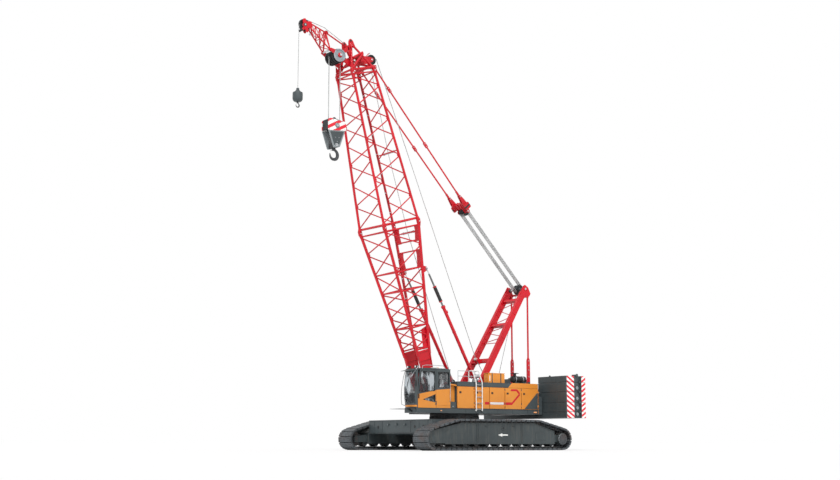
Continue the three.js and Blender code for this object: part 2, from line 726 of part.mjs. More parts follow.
function weightStack(side) {
  const inner = side * weightInner;
  const outer = side * weightHalf;
  const body = block(inner, outer, weightFront, weightRear, weightLevels[1], weightLevels[5]);
  const seams = weightLevels.slice(2, 5).map((z) => cut(
    block(inner - side * 10, outer + side * 10, weightFront - 10, weightRear + 10, z - slabGap / 2, z + slabGap / 2),
    block(inner + side * slabGroove, outer - side * slabGroove, weightFront + slabGroove, weightRear - slabGroove,
      z - slabGap, z + slabGap)));
  const slot = block(outer - side * 120, outer + side * 10, weightFront + 560, weightRear - 330,
    weightLevels[1] - 10, weightLevels[5] + 10);
  const lugs = weightLevels.slice(1, 5).map((z) => axle(outer - side * 125, outer - side * 30,
    weightFront + 770, z + 200, 85, 8));
  const eye = block(side * (weightHalf - 420), side * (weightHalf - 340), 5600, 5740, weightLevels[5] - 5,
    weightLevels[5] + 130);
  return join(cut(body, seams, slot), lugs, eye);
}

part(superstructure, 'counterweight_base', counterweightBase(), slate, 0.55, 0.2);
part(superstructure, 'counterweight_left', weightStack(1), slate, 0.55, 0.2);
part(superstructure, 'counterweight_right', weightStack(-1), slate, 0.55, 0.2);

// ---------------------------------------------------------------- mast
const mastAlong = [mastTopY - mastFootY, mastTopZ - mastFootZ];
const mastLength = Math.hypot(...mastAlong);
const mast = leaning(superstructure, mastFootY, mastFootZ, mastAlong);
const mastPin = 55;
const stayEye = 35;          // half thickness of a backstay's upper eye

function mastFrame() {
  const end = mastLength - 260;
  const half = mastBeamWidth / 2;
  const beams = [-1, 1].flatMap((side) => {
    const low = side * mastFootHalf;
    const high = side * mastTopHalf;
    const depth = mastBeamDepth / 2;
    const leg = taper([low - half, low + half, -depth, depth, 900], [high - half, high + half, -depth, depth, end]);
    const foot = plate([...arc(0, 0, 150, Math.PI, 2 * Math.PI, 8), [depth, 920], [-depth, 920]],
      low - half, low + half);
    return [leg, foot];
  });
  const at = (s) => mix(mastFootHalf, mastTopHalf, s / mastLength);
  const cross = [2300, 4520, 6080].map((s) => block(-at(s), at(s), -90, 90, s - 75, s + 75));
  const lace = [[2300, 4520], [4520, 6080]].flatMap(([a, b]) => {
    const steps = 3;
    return Array.from({ length: steps }, (_, i) => {
      const s0 = mix(a, b, i / steps);
      const s1 = mix(a, b, (i + 1) / steps);
      const flip = i % 2 ? 1 : -1;
      return bar([flip * at(s0), 0, s0], [-flip * at(s1), 0, s1], 28, 3);
    });
  });
  const cheeks = [-1, 1].map((side) => plate(
    [[-170, end - 240], [170, end - 240], [430, end + 60], [430, end + 260], [120, end + 430], [-170, end + 430]],
    side * (mastTopHalf + stayEye + seat), side * (mastTopHalf + half)));
  const bores = axle(-900, 900, 0, mastLength, mastPin + pinPlay);
  const reach = mastTopHalf + stayEye + 10;
  const tie = block(-reach, reach, 330, 430, end + 195, end + 260);
  const roller = bar([-at(1500), 260, 1500], [at(1500), 260, 1500], 50, 12);
  const rollerArms = [-1, 1].map((side) => block(side * (at(1500) - 30), side * (at(1500) + 30), 100, 320, 1440, 1560));
  return cut(join(beams, cross, lace, cheeks, tie, roller, rollerArms), bores);
}

part(mast, 'mast', mastFrame(), red, 0.4, 0.1);

// backstay bar: a thick link below, a thin tube above, pinned at the mast head
function backstay(side) {
  const x = side * mastTopHalf;
  const top = 8100;
  const link = block(x - 50, x + 50, backstayY - 85, backstayY + 85, backstayFootZ - 150, backstayLinkTop);
  const tube = bar([x, backstayY, backstayLinkTop - 20], [x, backstayY, top - 200], 48, 8);
  const eye = block(x - stayEye, x + stayEye, backstayY - 60, backstayY + 60, top - 220, top);
  return join(link, tube, eye);
}

part(superstructure, 'backstay_left', backstay(1), red, 0.4, 0.1);
part(superstructure, 'backstay_right', backstay(-1), red, 0.4, 0.1);

// ---------------------------------------------------------------- boom
const boomAlong = [-Math.cos(boomAngle), Math.sin(boomAngle)];
const boom = leaning(superstructure, boomFootY, boomFootZ, boomAlong);

function halfWidthAt(l) {
  if (l < footStraight) return footHalf;
  if (l < jointL) return mix(footHalf, jointHalfWidth, (l - footStraight) / (jointL - footStraight));
  return mix(jointHalfWidth, headHalfWidth, (l - jointL) / (headL - jointL));
}

function halfDepthAt(l) {
  if (l < jointL) return mix(footDepth, jointHalfDepth, l / jointL);
  return mix(jointHalfDepth, headHalfDepth, (l - jointL) / (headL - jointL));
}

// corner of the section at l, with signs for left/right and rear/front
function corner(l, sx, sy) {
  return [sx * halfWidthAt(l), sy * halfDepthAt(l), l];
}

// zigzag lacing of one face between two chords
function lacing(l0, l1, bays, first, second, radius = laceRadius) {
  const pitch = (l1 - l0) / bays;
  return Array.from({ length: bays }, (_, i) => {
    const a = l0 + i * pitch;
    const middle = a + pitch / 2;
    return [bar(corner(a + laceGap, ...first), corner(middle - laceGap, ...second), radius, 3),
      bar(corner(middle + laceGap, ...second), corner(a + pitch - laceGap, ...first), radius, 3)];
  }).flat();
}

function ringFrame(l, radius, faces = ['left', 'right', 'front', 'rear']) {
  const sides = {
    left: [[1, -1], [1, 1]], right: [[-1, -1], [-1, 1]], front: [[-1, -1], [1, -1]], rear: [[-1, 1], [1, 1]],
  };
  return faces.map((face) => bar(corner(l, ...sides[face][0]), corner(l, ...sides[face][1]), radius, 4));
}

const corners = [[1, 1], [1, -1], [-1, 1], [-1, -1]];

function chords(l0, l1, radius) {
  return corners.map(([sx, sy]) => bar(corner(l0, sx, sy), corner(l1, sx, sy), radius, 4));
}

// plated portal across the rear face, between two cross beams
function portal(l0, l1) {
  return [-1, 1].map((side) => {
    const w0 = side * halfWidthAt(l0);
    const w1 = side * halfWidthAt(l1);
    const d0 = halfDepthAt(l0);
    const d1 = halfDepthAt(l1);
    const order = (a, b) => [Math.min(a, b), Math.max(a, b)];
    return taper([...order(w0, w0 - side * 340), d0 - 16, d0 + 16, l0],
      [...order(w1, w1 - side * 340), d1 - 16, d1 + 16, l1]);
  });
}

function boomFoot() {
  const half = footPlate / 2;
  const feet = [-1, 1].flatMap((side) => {
    const x = side * footHalf;
    const depth = halfDepthAt(footStraight);
    const low = plate([...arc(0, 0, footEye, Math.PI, 2 * Math.PI, 12), [depth, footStraight], [-depth, footStraight]],
      x - half, x + half);
    const xt = side * halfWidthAt(footPlateTop);
    const dt = halfDepthAt(footPlateTop);
    const high = taper([x - half + 2, x + half - 2, -depth + 4, depth - 4, footStraight - 40],
      [xt - half, xt + half, -dt, dt, footPlateTop]);
    return [low, high];
  });
  const rods = chords(footPlateTop - 265, jointL, chordRadius);
  const l0 = footPlateTop + 60;
  const l1 = jointL - 150;
  const faces = [[[1, -1], [1, 1]], [[-1, -1], [-1, 1]], [[-1, -1], [1, -1]]].flatMap(([a, b]) => lacing(l0, l1, footBays, a, b));
  const rearFace = lacing(l0, 6420, 2, [-1, 1], [1, 1]);
  const frames = [...ringFrame(l1, 55), ...ringFrame(7860, 55, ['rear']), ...ringFrame(7360, 50, ['rear']),
    ...ringFrame(6500, 60, ['rear']), ...ringFrame(footPlateTop - 40, 60, ['front', 'rear'])];
  const portals = [...portal(7860, l1), ...portal(6500, 7360)];
  const stopLugs = [-1, 1].map((side) => {
    const x = side * (stopHalf - stopNeckRadius - sideGap - 40);
    const d = halfDepthAt(stopEyeL);
    return plate([[d - 60, stopEyeL + 260], [d - 60, stopEyeL - 200], [stopEyeH + 70, stopEyeL - 90],
      [stopEyeH + 70, stopEyeL + 90]], x, x + side * 40);
  });
  const pin = [-1, 1].map((side) => {
    const x = side * footHalf;
    const reach = footClear + bracketThick + 12;
    return axle(x - reach, x + reach, 0, 0, boomPin);
  });
  const whole = join(feet, rods, faces, rearFace, frames, portals, stopLugs, pin);
  return cut(whole, beyond(jointL - seat / 2, 200));
}

// everything from l onward over a stretch, to trim a section square
function beyond(l, stretch) {
  return block(-2000, 2000, -2000, 2000, Math.min(l, l + stretch), Math.max(l, l + stretch));
}

function boomTop() {
  const l0 = jointL + 150;
  const l1 = headL - 369;
  const rods = chords(jointL, headL, upperChordRadius);
  const faces = [[[1, -1], [1, 1]], [[-1, -1], [-1, 1]], [[-1, -1], [1, -1]], [[-1, 1], [1, 1]]]
    .flatMap(([a, b]) => lacing(l0, l1, topBays, a, b));
  const frames = [...ringFrame(l0, 50), ...ringFrame(l1, 45), ...ringFrame(headL - 70, 45, ['left', 'right', 'front'])];
  return cut(join(rods, faces, frames), beyond(jointL + seat / 2, -200), beyond(headL - seat / 2, 200));
}

// boom head: four legs to the peak, cheek plates for the sheaves and lugs for the pendants
function boomHead() {
  const base = headL + seat / 2;
  const stubs = corners.map(([sx, sy]) => bar([sx * headHalfWidth, sy * headHalfDepth, base],
    [sx * headHalfWidth, sy * headHalfDepth, base + 220], 75, 4));
  const peak = (side) => [side * peakHalf, peakH, peakL - 120];
  const legs = [-1, 1].flatMap((side) => [
    bar([side * headHalfWidth, -headHalfDepth, base + 150], peak(side), 75, 4),
    bar([side * headHalfWidth, headHalfDepth, base + 150], peak(side), 70, 4),
    bar([side * headHalfWidth, -headHalfDepth, base + 150], [side * headHalfWidth, headHalfDepth, base + 150], 55, 4),
    bar([side * 545, -350, headL + 741], [side * 500, 330, headL + 961], 42, 4),
  ]);
  const frontBeam = bar([-headHalfWidth, -headHalfDepth, base + 150], [headHalfWidth, -headHalfDepth, base + 150], 62, 4);
  const rearBeam = block(-headHalfWidth, headHalfWidth, 300, 400, base + 100, base + 230);
  const rearSides = [-1, 1].map((side) => block(side * (headHalfWidth - 10), side * (headHalfWidth - 40),
    300, pendantH + 70, base + 90, base + 240));
  const lugs = [-1, 1].map((side) => block(side * (pendantHalf - 30 - sideGap), side * (pendantHalf - 70 - sideGap),
    310, pendantH + 70, base + 90, base + 240));
  const cheeks = [-1, 1].map((side) => plate(
    [[-470, headL + 271], [-300, headL + 781], [-180, headL + 1341], [-420, headL + 1381], [sheaveH + 50, sheaveL + 140],
      [jibRootH + 40, jibRootL + 80], [jibRootH - 75, jibRootL], [sheaveH - 110, sheaveL - 60],
      [sheaveH + 60, sheaveL - 210]],
    side * (cheekHalf - 20), side * (cheekHalf + 20)));
  const spreaders = [[-460, headL + 431], [-250, headL + 1281]].map(([h, l]) => bar([-560, h, l], [560, h, l], 42, 4));
  const peaks = [-1, 1].map((side) => plate(
    [[peakH - 200, peakL - 330], [peakH + 200, peakL - 330], [peakH + 130, peakL], [peakH, peakL + 130],
      [peakH - 130, peakL]], side * (peakHalf - 30), side * (peakHalf + 30)));
  const peakTie = bar([-peakHalf, peakH, peakL - 180], [peakHalf, peakH, peakL - 180], 70, 4);
  const guideArms = [-1, 1].map((side) => plate(
    [[250, guideL - 250], [guideH + 60, guideL - 90], [guideH + 90, guideL + 60], [guideH - 60, guideL + 130],
      [200, guideL + 330]], side * 75, side * 105));
  const guideBeams = [[300, headL + 471], [260, headL + 831]].map(([h, l]) => bar([-600, h, l], [600, h, l], 45, 4));
  const guide = axle(-60, 60, guideH, guideL, 260, 10);
  const guidePin = axle(-110, 110, guideH, guideL, 45, 6);
  const whole = join(stubs, legs, frontBeam, rearBeam, rearSides, lugs, cheeks, spreaders, peaks, peakTie,
    guideArms, guideBeams, guide, guidePin);
  const bores = axle(-700, 700, sheaveH, sheaveL, 60 + pinPlay);
  const sheaveWell = axle(-cheekHalf + 20.5, cheekHalf - 20.5, sheaveH, sheaveL, sheaveRadius + 50, 12);
  return cut(whole, bores, sheaveWell);
}

// fly jib: two lower chords and an upper one, with a tie from its peak to the boom's
function jib() {
  const root = (side) => [side * 330, jibRootH, jibRootL];
  const tip = (side) => [side * 110, jibTipH + 250, jibTipL - 180];
  const top = [0, jibPeakH, jibPeakL];
  const upperTip = [0, jibTipH + 330, jibTipL + 90];
  const lower = [-1, 1].map((side) => bar(root(side), tip(side), 38, 4));
  const upper = [bar(top, upperTip, 40, 4), bar(top, [0, -289, headL + 1451], 34, 4)];
  const rungs = [0, 0.5, 1].map((t) => bar(root(-1).map((v, i) => mix(v, tip(-1)[i], t)),
    root(1).map((v, i) => mix(v, tip(1)[i], t)), 26, 4));
  const posts = [-1, 1].flatMap((side) => [[0, 0], [0.5, 0.3], [1, 1]].map(([t, u]) => bar(
    root(side).map((v, i) => mix(v, tip(side)[i], t)), top.map((v, i) => mix(v, upperTip[i], u)), 24, 4)));
  const cheeks = [-1, 1].map((side) => plate(
    [[jibTipH + 330, jibTipL - 260], [jibTipH + 400, jibTipL + 130], [jibTipH + 60, jibTipL + 160],
      [jibTipH - 80, jibTipL + 20], [jibTipH - 20, jibTipL - 90]], side * 95, side * 125));
  const tipTie = bar([-110, jibTipH + 340, jibTipL + 40], [110, jibTipH + 340, jibTipL + 40], 35, 4);
  const shaftHalf = cheekHalf - 20 - seat;
  const rootShaft = axle(-shaftHalf, shaftHalf, jibRootH, jibRootL, 44, 8);
  const bores = axle(-200, 200, jibTipH, jibTipL, 40 + pinPlay);
  const well = axle(-94.5, 94.5, jibTipH, jibTipL, jibSheaveRadius + 25, 12);
  return cut(join(lower, upper, rungs, posts, cheeks, tipTie, rootShaft), bores, well);
}

part(boom, 'boom_foot_section', boomFoot(), red, 0.4, 0.1);
part(boom, 'boom_top_section', boomTop(), red, 0.4, 0.1);
part(boom, 'boom_head', boomHead(), red, 0.4, 0.1);
part(boom, 'jib', jib(), red, 0.4, 0.1);

// ---------------------------------------------------------------- sheaves
// a row of sheaves on one shaft about X
function sheaveRow(y, z, xs, radius, width, shaftHalf, shaftRadius) {
  const wheels = xs.map((x) => axle(x - width / 2, x + width / 2, y, z, radius, 12));
  const sleeve = axle(xs[0], xs[xs.length - 1], y, z, radius * 0.7, 8);
  return join(wheels, xs.length > 1 ? sleeve : [], axle(-shaftHalf, shaftHalf, y, z, shaftRadius));
}

const spread = (count, half) => Array.from({ length: count }, (_, i) => mix(-half, half, i / (count - 1)));

const headSheaves = join(
  sheaveRow(sheaveH, sheaveL, spread(4, 290), sheaveRadius, 120, cheekHalf + 190, 60),
  axle(cheekHalf + 26, cheekHalf + 100, sheaveH, sheaveL, sheaveRadius - 30, 12));
part(boom, 'head_sheaves', headSheaves, charcoal, 0.45, 0.5);
part(boom, 'jib_sheave', sheaveRow(jibTipH, jibTipL, [0], jibSheaveRadius, 90, 135, 40), charcoal, 0.45, 0.5);

const headY = boomFootY + boomAlong[0] * pendantL + boomAlong[1] * pendantH;
const headZ = boomFootZ + boomAlong[1] * pendantL - boomAlong[0] * pendantH;
const pullAlong = [headY - mastTopY, headZ - mastTopZ];
const pullLength = Math.hypot(...pullAlong);
const tackle = leaning(superstructure, mastTopY, mastTopZ, pullAlong);

part(tackle, 'mast_sheaves', sheaveRow(0, 0, spread(4, 380), mastSheaveRadius, 110,
  mastTopHalf + mastBeamWidth / 2 - 10, mastPin),
  charcoal, 0.45, 0.5);

function bridle() {
  const s = bridleAt;
  const arms = [-1, 1].map((side) => {
    const x = side * bridleHalf;
    return plate([[-150, s - 60], [150, s - 60], [120, s + 330], [50, s + 720], [-50, s + 720], [-120, s + 330]],
      x - 75, x + 75);
  });
  const beam = block(-bridleHalf, bridleHalf, -110, 130, s - 40, s + 230);
  const cheeks = [-1, 1].map((side) => plate([[-120, s - 330], [120, s - 330], [150, s + 20], [-150, s + 20]],
    side * 330, side * 360));
  const outer = [-1, 1].map((side) => block(side * (bridleHalf + 60), side * (bridleHalf + 150),
    -160, 180, s - 150, s + 180));
  const sheaves = sheaveRow(0, s - 270, spread(3, 240), 230, 110, 370, 50);
  return join(arms, beam, cheeks, outer, sheaves);
}

// pendant: flat links end to end, from the bridle's arm to the lug on the boom head
function pendant(side) {
  const x = side * pendantHalf;
  const xb = side * bridleHalf;
  const start = bridleAt + 720 + seat;
  const knots = [0.40, 0.83].map((t) => mix(start, pullLength, t));
  const at = (s) => mix(xb, x, (s - start) / (pullLength - start));
  const link = (a, b) => taper([at(a) - 22, at(a) + 22, -38, 38, a], [at(b) - 22, at(b) + 22, -38, 38, b]);
  const couplings = knots.map((s) => block(at(s) - 30, at(s) + 30, -75, 75, s - 160, s + 160));
  const lugFace = side * (pendantHalf - 30 - sideGap + 2 * seat);
  const eye = block(lugFace, x + side * 30, -60, 60, pullLength - 110, pullLength + 60);
  return join(link(start, pullLength), couplings, eye, block(xb - 28, xb + 28, -55, 55, start, start + 260));
}

part(tackle, 'bridle', bridle(), red, 0.4, 0.1);
part(tackle, 'pendant_left', pendant(1), red, 0.4, 0.1);
part(tackle, 'pendant_right', pendant(-1), red, 0.4, 0.1);

// ---------------------------------------------------------------- backstops
const stopEyeY = boomFootY + boomAlong[0] * stopEyeL + boomAlong[1] * stopEyeH;
const stopEyeZ = boomFootZ + boomAlong[1] * stopEyeL - boomAlong[0] * stopEyeH;
const stopAlong = [stopEyeY - stopFootY, stopEyeZ - stopFootZ];
const stopLength = Math.hypot(...stopAlong);
const stops = leaning(superstructure, stopFootY, stopFootZ, stopAlong);

function stopTube(side) {
  const x = side * stopHalf;
  const eye = axle(x - 45, x + 45, 0, 0, 105, 16);
  const fork = block(x - 45, x + 45, -70, 70, 0, 330);
  const tube = bar([x, 0, 250], [x, 0, stopTubeLength], stopTubeRadius, 8);
  const collar = bar([x, 0, stopTubeLength - 60], [x, 0, stopTubeLength + 60], stopTubeRadius + 25, 8);
  const bore = bar([x, 0, 1300], [x, 0, stopTubeLength + 100], stopRodRadius + pinPlay, 8);
  const reach = 45 + sideGap + 22 + 10;
  return join(cut(join(fork, tube, collar), bore), eye, axle(x - reach, x + reach, 0, 0, 40, 16));
}

function stopRod(side) {
  const x = side * stopHalf;
  const rod = bar([x, 0, 1540], [x, 0, stopLength - stopNeckLength], stopRodRadius, 8);
  const neck = bar([x, 0, stopLength - stopNeckLength - 20], [x, 0, stopLength - 50], stopNeckRadius, 8);
  const buffer = bar([x, 0, stopBufferStart], [x, 0, stopBufferStart + 828], 78, 8);
  const rings = [3, 853].map((s) => bar([x, 0, stopBufferStart + s], [x, 0, stopBufferStart + s + 50], 96, 8));
  const eye = axle(x - stopNeckRadius, x + stopNeckRadius, 0, stopLength, 58, 12);
  return join(rod, neck, buffer, rings, eye);
}

for (const [side, word] of [[1, 'left'], [-1, 'right']]) {
  part(stops, `backstop_tube_${word}`, stopTube(side), red, 0.4, 0.1);
  part(stops, `backstop_rod_${word}`, stopRod(side), charcoal, 0.35, 0.6);
}

// ---------------------------------------------------------------- hooks
const mainY = boomFootY + boomAlong[0] * sheaveL + boomAlong[1] * sheaveH;
const auxY = boomFootY + boomAlong[0] * jibTipL + boomAlong[1] * jibTipH - jibSheaveRadius;

function mainBlock() {
  const y = mainY;
  const mid = blockTop - 460;
  const striped = [-1, 1].map((side) => plate(
    [[y - 510, mid + 250], [y - 380, mid + 330], [y + 480, mid + 230], [y + 510, mid - 200], [y - 510, mid - 290]],
    side * blockHalf, side * (blockHalf + 40)));
  const wedge = [-1, 1].map((side) => plate(
    [[y - 500, mid - 270], [y + 470, mid - 190], [y + 160, mid - 1060], [y - 200, mid - 1130]],
    side * (blockHalf - 10), side * (blockHalf + 30)));
  const sheaves = sheaveRow(y, mid, spread(3, 180), 350, 100, blockHalf + 90, 60);
  const crown = plate([[y - 200, mid + 270], [y + 200, mid + 270], [y + 40, blockTop], [y - 40, blockTop]], -60, 60);
  const crownTie = block(-blockHalf, blockHalf, y - 220, y - 140, mid + 262, mid + 300);
  const crownTie2 = block(-blockHalf, blockHalf, y + 140, y + 220, mid + 242, mid + 290);
  const crosshead = block(-blockHalf, blockHalf, y - 130, y + 110, mid - 1060, mid - 860);
  const bore = axleZ(0, y, mid - 1100, mid - 800, 52 + pinPlay);
  const relief = axle(-blockHalf + 20, blockHalf - 20, y, mid, 375, 12);
  const body = cut(join(striped, wedge, crown, crownTie, crownTie2, crosshead), bore, relief);
  const crownStem = block(-60, 60, y - 60, y + 60, mid + 300, mid + 400);
  return join(body, sheaves, crownStem);
}

// ramshorn-free single hook: a shank and a hooked body of round section
function hook(y, top, bottom, bowl, thick, shank) {
  const centreZ = bottom + bowl + thick;
  const path = new THREE.CatmullRomCurve3([
    [y, top], [y, centreZ + bowl * 1.55], [y + bowl * 0.45, centreZ + bowl * 1.05], [y + bowl, centreZ + bowl * 0.2],
    [y + bowl * 0.72, centreZ - bowl * 0.72], [y, centreZ - bowl], [y - bowl * 0.78, centreZ - bowl * 0.62],
    [y - bowl * 0.98, centreZ + bowl * 0.35],
  ].map(([py, pz]) => new THREE.Vector3(0, py, pz)));
  const section = new THREE.Shape(arc(0, 0, thick, 0, 2 * Math.PI, 6).slice(0, 6).map(([a, b]) => new THREE.Vector2(a, b)));
  const bent = solid(new THREE.ExtrudeGeometry(section, { steps: 11, bevelEnabled: false, extrudePath: path }));
  const stem = axleZ(0, y, top - 10, top + shank, 52);
  return { bent, stem };
}

function mainHook() {
  const head = blockTop - 460 - 860;
  const { bent, stem } = hook(mainY, head - 200 - 60, hookBottom, 215, 78, 330);
  const collar = axleZ(0, mainY, head - 200 - 140, head - 200 - 14, 92, 10);
  const nut = axleZ(0, mainY, head + seat, head + 90, 105, 8);
  return join(bent, stem, collar, nut);
}

function auxWeight() {
  const profile = [[0, auxTop], [70, auxTop], [80, auxTop - 90], [auxRadius, auxTop - 220], [auxRadius, auxBottom + 90],
    [auxRadius - 70, auxBottom], [0, auxBottom]];
  const ball = turned(profile.reverse(), 14).translate([0, auxY, 0]);
  return cut(ball, axleZ(0, auxY, auxBottom - 10, auxBottom + 160, 34 + pinPlay));
}

function auxHook() {
  const { bent } = hook(auxY, auxBottom - 40, auxHookBottom, 88, 30, 100);
  const stem = axleZ(0, auxY, auxBottom - 60, auxBottom + 150, 34);
  return join(bent, stem, axleZ(0, auxY, auxBottom - 70, auxBottom - 12, 48, 8));
}

part(superstructure, 'main_block', mainBlock(), slate, 0.45, 0.3);
part(superstructure, 'main_hook', mainHook(), charcoal, 0.5, 0.5);
part(superstructure, 'aux_weight', auxWeight(), slate, 0.45, 0.3);
part(superstructure, 'aux_hook', auxHook(), charcoal, 0.5, 0.5);

export default crane;
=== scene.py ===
import math
import bmesh
import bpy
from mathutils import Matrix, Vector


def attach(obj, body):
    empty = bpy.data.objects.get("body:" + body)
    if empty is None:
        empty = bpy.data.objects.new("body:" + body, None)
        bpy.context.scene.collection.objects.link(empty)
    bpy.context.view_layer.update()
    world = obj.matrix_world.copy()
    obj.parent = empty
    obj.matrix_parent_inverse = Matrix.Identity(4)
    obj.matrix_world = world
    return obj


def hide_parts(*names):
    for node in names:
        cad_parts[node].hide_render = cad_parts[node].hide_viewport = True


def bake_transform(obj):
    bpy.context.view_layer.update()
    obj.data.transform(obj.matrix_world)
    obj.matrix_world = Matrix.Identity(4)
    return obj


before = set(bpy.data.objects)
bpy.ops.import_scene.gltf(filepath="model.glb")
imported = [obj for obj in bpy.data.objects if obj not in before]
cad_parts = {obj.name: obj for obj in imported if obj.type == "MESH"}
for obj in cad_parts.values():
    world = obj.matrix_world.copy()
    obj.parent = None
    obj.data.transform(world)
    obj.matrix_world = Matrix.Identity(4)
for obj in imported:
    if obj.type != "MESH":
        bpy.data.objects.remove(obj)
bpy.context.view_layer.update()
print("frame loaded:", len(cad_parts), "nodes")


# shader sockets as Python values
class Flow:
    def __init__(self, tree, socket):
        self.tree = tree
        self.socket = socket

    def math(self, operation, left, right):
        node = self.tree.nodes.new("ShaderNodeMath")
        node.operation = operation
        for slot, value in zip(node.inputs, (left, right)):
            if isinstance(value, Flow):
                self.tree.links.new(value.socket, slot)
            else:
                slot.default_value = value
        return Flow(self.tree, node.outputs[0])

    def __add__(self, other):
        return self.math("ADD", self, other)

    def __radd__(self, other):
        return self.math("ADD", other, self)

    def __sub__(self, other):
        return self.math("SUBTRACT", self, other)

    def __rsub__(self, other):
        return self.math("SUBTRACT", other, self)

    def __mul__(self, other):
        return self.math("MULTIPLY", self, other)

    def __rmul__(self, other):
        return self.math("MULTIPLY", other, self)

    def __truediv__(self, other):
        return self.math("DIVIDE", self, other)

    def __gt__(self, other):
        return self.math("GREATER_THAN", self, other)

    def __lt__(self, other):
        return self.math("LESS_THAN", self, other)


class Finish:
    def __init__(self, name):
        self.material = bpy.data.materials.new(name)
        self.material.use_nodes = True
        self.tree = self.material.node_tree
        self.tree.nodes.clear()
        self.spot = self.node("ShaderNodeTexCoord", out="Object")

    def node(self, kind, settings=None, sockets=None, out=0):
        made = self.tree.nodes.new(kind)
        for key, value in (settings or {}).items():
            if key == "stops":
                ramp = made.color_ramp.elements
                while len(ramp) < len(value):
                    ramp.new(0.5)
                for stop, (position, shade) in zip(ramp, value):
                    stop.position = position
                    stop.color = (shade, shade, shade, 1)
            else:
                setattr(made, key, value)
        for key, value in (sockets or {}).items():
            if isinstance(value, Flow):
                self.tree.links.new(value.socket, made.inputs[key])
            else:
                made.inputs[key].default_value = value
        return Flow(self.tree, made.outputs[out])

    def noise(self, scale, detail=3.0, stretch=(1, 1, 1), rough=0.55):
        where = self.node("ShaderNodeMapping", None, {"Vector": self.spot, "Scale": stretch})
        return self.node("ShaderNodeTexNoise", None,
                         {"Vector": where, "Scale": scale, "Detail": detail, "Roughness": rough})

    def ramp(self, value, low, high):
        return self.node("ShaderNodeMapRange", None, {"Value": value, "From Min": low, "From Max": high})

    def blend(self, amount, first, second):
        return self.node("ShaderNodeMix", {"data_type": "RGBA"}, {"Factor": amount, 6: first, 7: second},
                         out=2)

    def axis(self, which):
        return self.node("ShaderNodeSeparateXYZ", None, {0: self.spot}, out="XYZ".index(which))

    def facing(self, which):
        normal = self.node("ShaderNodeNewGeometry", out="Normal")
        return self.node("ShaderNodeSeparateXYZ", None, {0: normal}, out="XYZ".index(which))

    def bump(self, height, strength, distance=0.01):
        return self.node("ShaderNodeBump", None,
                         {"Height": height, "Strength": strength, "Distance": distance})

    def close(self, **sockets):
        names = {key: key.replace("_", " ") for key in sockets}
        shader = self.node("ShaderNodeBsdfPrincipled", None,
                           {names[key]: value for key, value in sockets.items()})
        self.link(shader)
        return self.material

    def link(self, shader):
        output = self.tree.nodes.new("ShaderNodeOutputMaterial")
        self.tree.links.new(shader.socket, output.inputs["Surface"])


paintBook = {"redPaint": {"color": (0.60, 0.004, 0.016), "deep": (0.40, 0.002, 0.009), "rough": 0.38,
                          "dust": 0.05},
             "orangePaint": {"color": (0.76, 0.285, 0.040), "deep": (0.62, 0.200, 0.024), "rough": 0.30,
                             "dust": 0.10},
             "slatePaint": {"color": (0.060, 0.076, 0.081), "deep": (0.036, 0.046, 0.050), "rough": 0.42,
                            "dust": 0.08},
             "trackPaint": {"color": (0.044, 0.056, 0.059), "deep": (0.020, 0.025, 0.027), "rough": 0.52,
                            "dust": 0.26},
             "whitePaint": {"color": (0.80, 0.80, 0.78), "deep": (0.62, 0.62, 0.60), "rough": 0.38,
                            "dust": 0.08},
             "greyPaint": {"color": (0.25, 0.28, 0.29), "deep": (0.17, 0.19, 0.20), "rough": 0.42,
                           "dust": 0.15},
             "brownPaint": {"color": (0.20, 0.085, 0.030), "deep": (0.10, 0.045, 0.020), "rough": 0.6,
                            "dust": 0.25},
             "blackPaint": {"color": (0.018, 0.020, 0.021), "deep": (0.010, 0.011, 0.012), "rough": 0.45,
                            "dust": 0.12}}


# sprayed paint: slow shifts of tone, run-off streaks, dust on upper faces, small chips to the primer
def paintFinish(name, color, deep, rough, dust):
    made = Finish(name)
    tone = made.ramp(made.noise(0.7, 3), 0.35, 0.70)
    streak = made.ramp(made.noise(3.0, 4, (3.0, 3.0, 0.35)), 0.50, 0.78)
    fleck = made.noise(34.0, 5, rough=0.7)
    chips = made.ramp(fleck, 0.735, 0.755)
    settled = made.ramp(made.facing("Z"), 0.45, 1.0) * made.ramp(made.noise(5.0, 4), 0.30, 0.75)
    grime = settled * dust + streak * (dust * 0.6)
    base = made.blend(tone * 0.55, (*color, 1), (*deep, 1))
    base = made.blend(grime, base, (0.26, 0.225, 0.18, 1))
    base = made.blend(chips * 0.55, base, (0.10, 0.09, 0.085, 1))
    peel = made.bump(made.noise(260.0, 2) * 0.4 + fleck * 0.5 - chips * 0.6, 0.10, 0.004)
    return made.close(Base_Color=base, Roughness=grime * 0.5 + tone * 0.08 + chips * 0.2 + rough, Normal=peel,
                      Coat_Weight=0.12 - grime * 0.12, Specular_IOR_Level=0.32)


paint = {name: paintFinish(name, **facts) for name, facts in paintBook.items()}


# diagonal warning stripes; lean is along the chosen horizontal axis
def stripeFinish(name, across, lean, pitch, first, second):
    made = Finish(name)
    phase = (made.axis(across) * lean + made.axis("Z")) * (1.0 / pitch) + 40.0
    saw = made.node("ShaderNodeMath", {"operation": "FRACT"}, {0: phase})
    mask = made.ramp(saw, 0.495, 0.505)
    worn = made.ramp(made.noise(9.0, 4), 0.62, 0.80)
    base = made.blend(mask, (*first, 1), (*second, 1))
    base = made.blend(worn * 0.25, base, (0.30, 0.27, 0.24, 1))
    return made.close(Base_Color=base, Roughness=worn * 0.3 + 0.36,
                      Normal=made.bump(made.noise(220.0, 2), 0.08, 0.003))


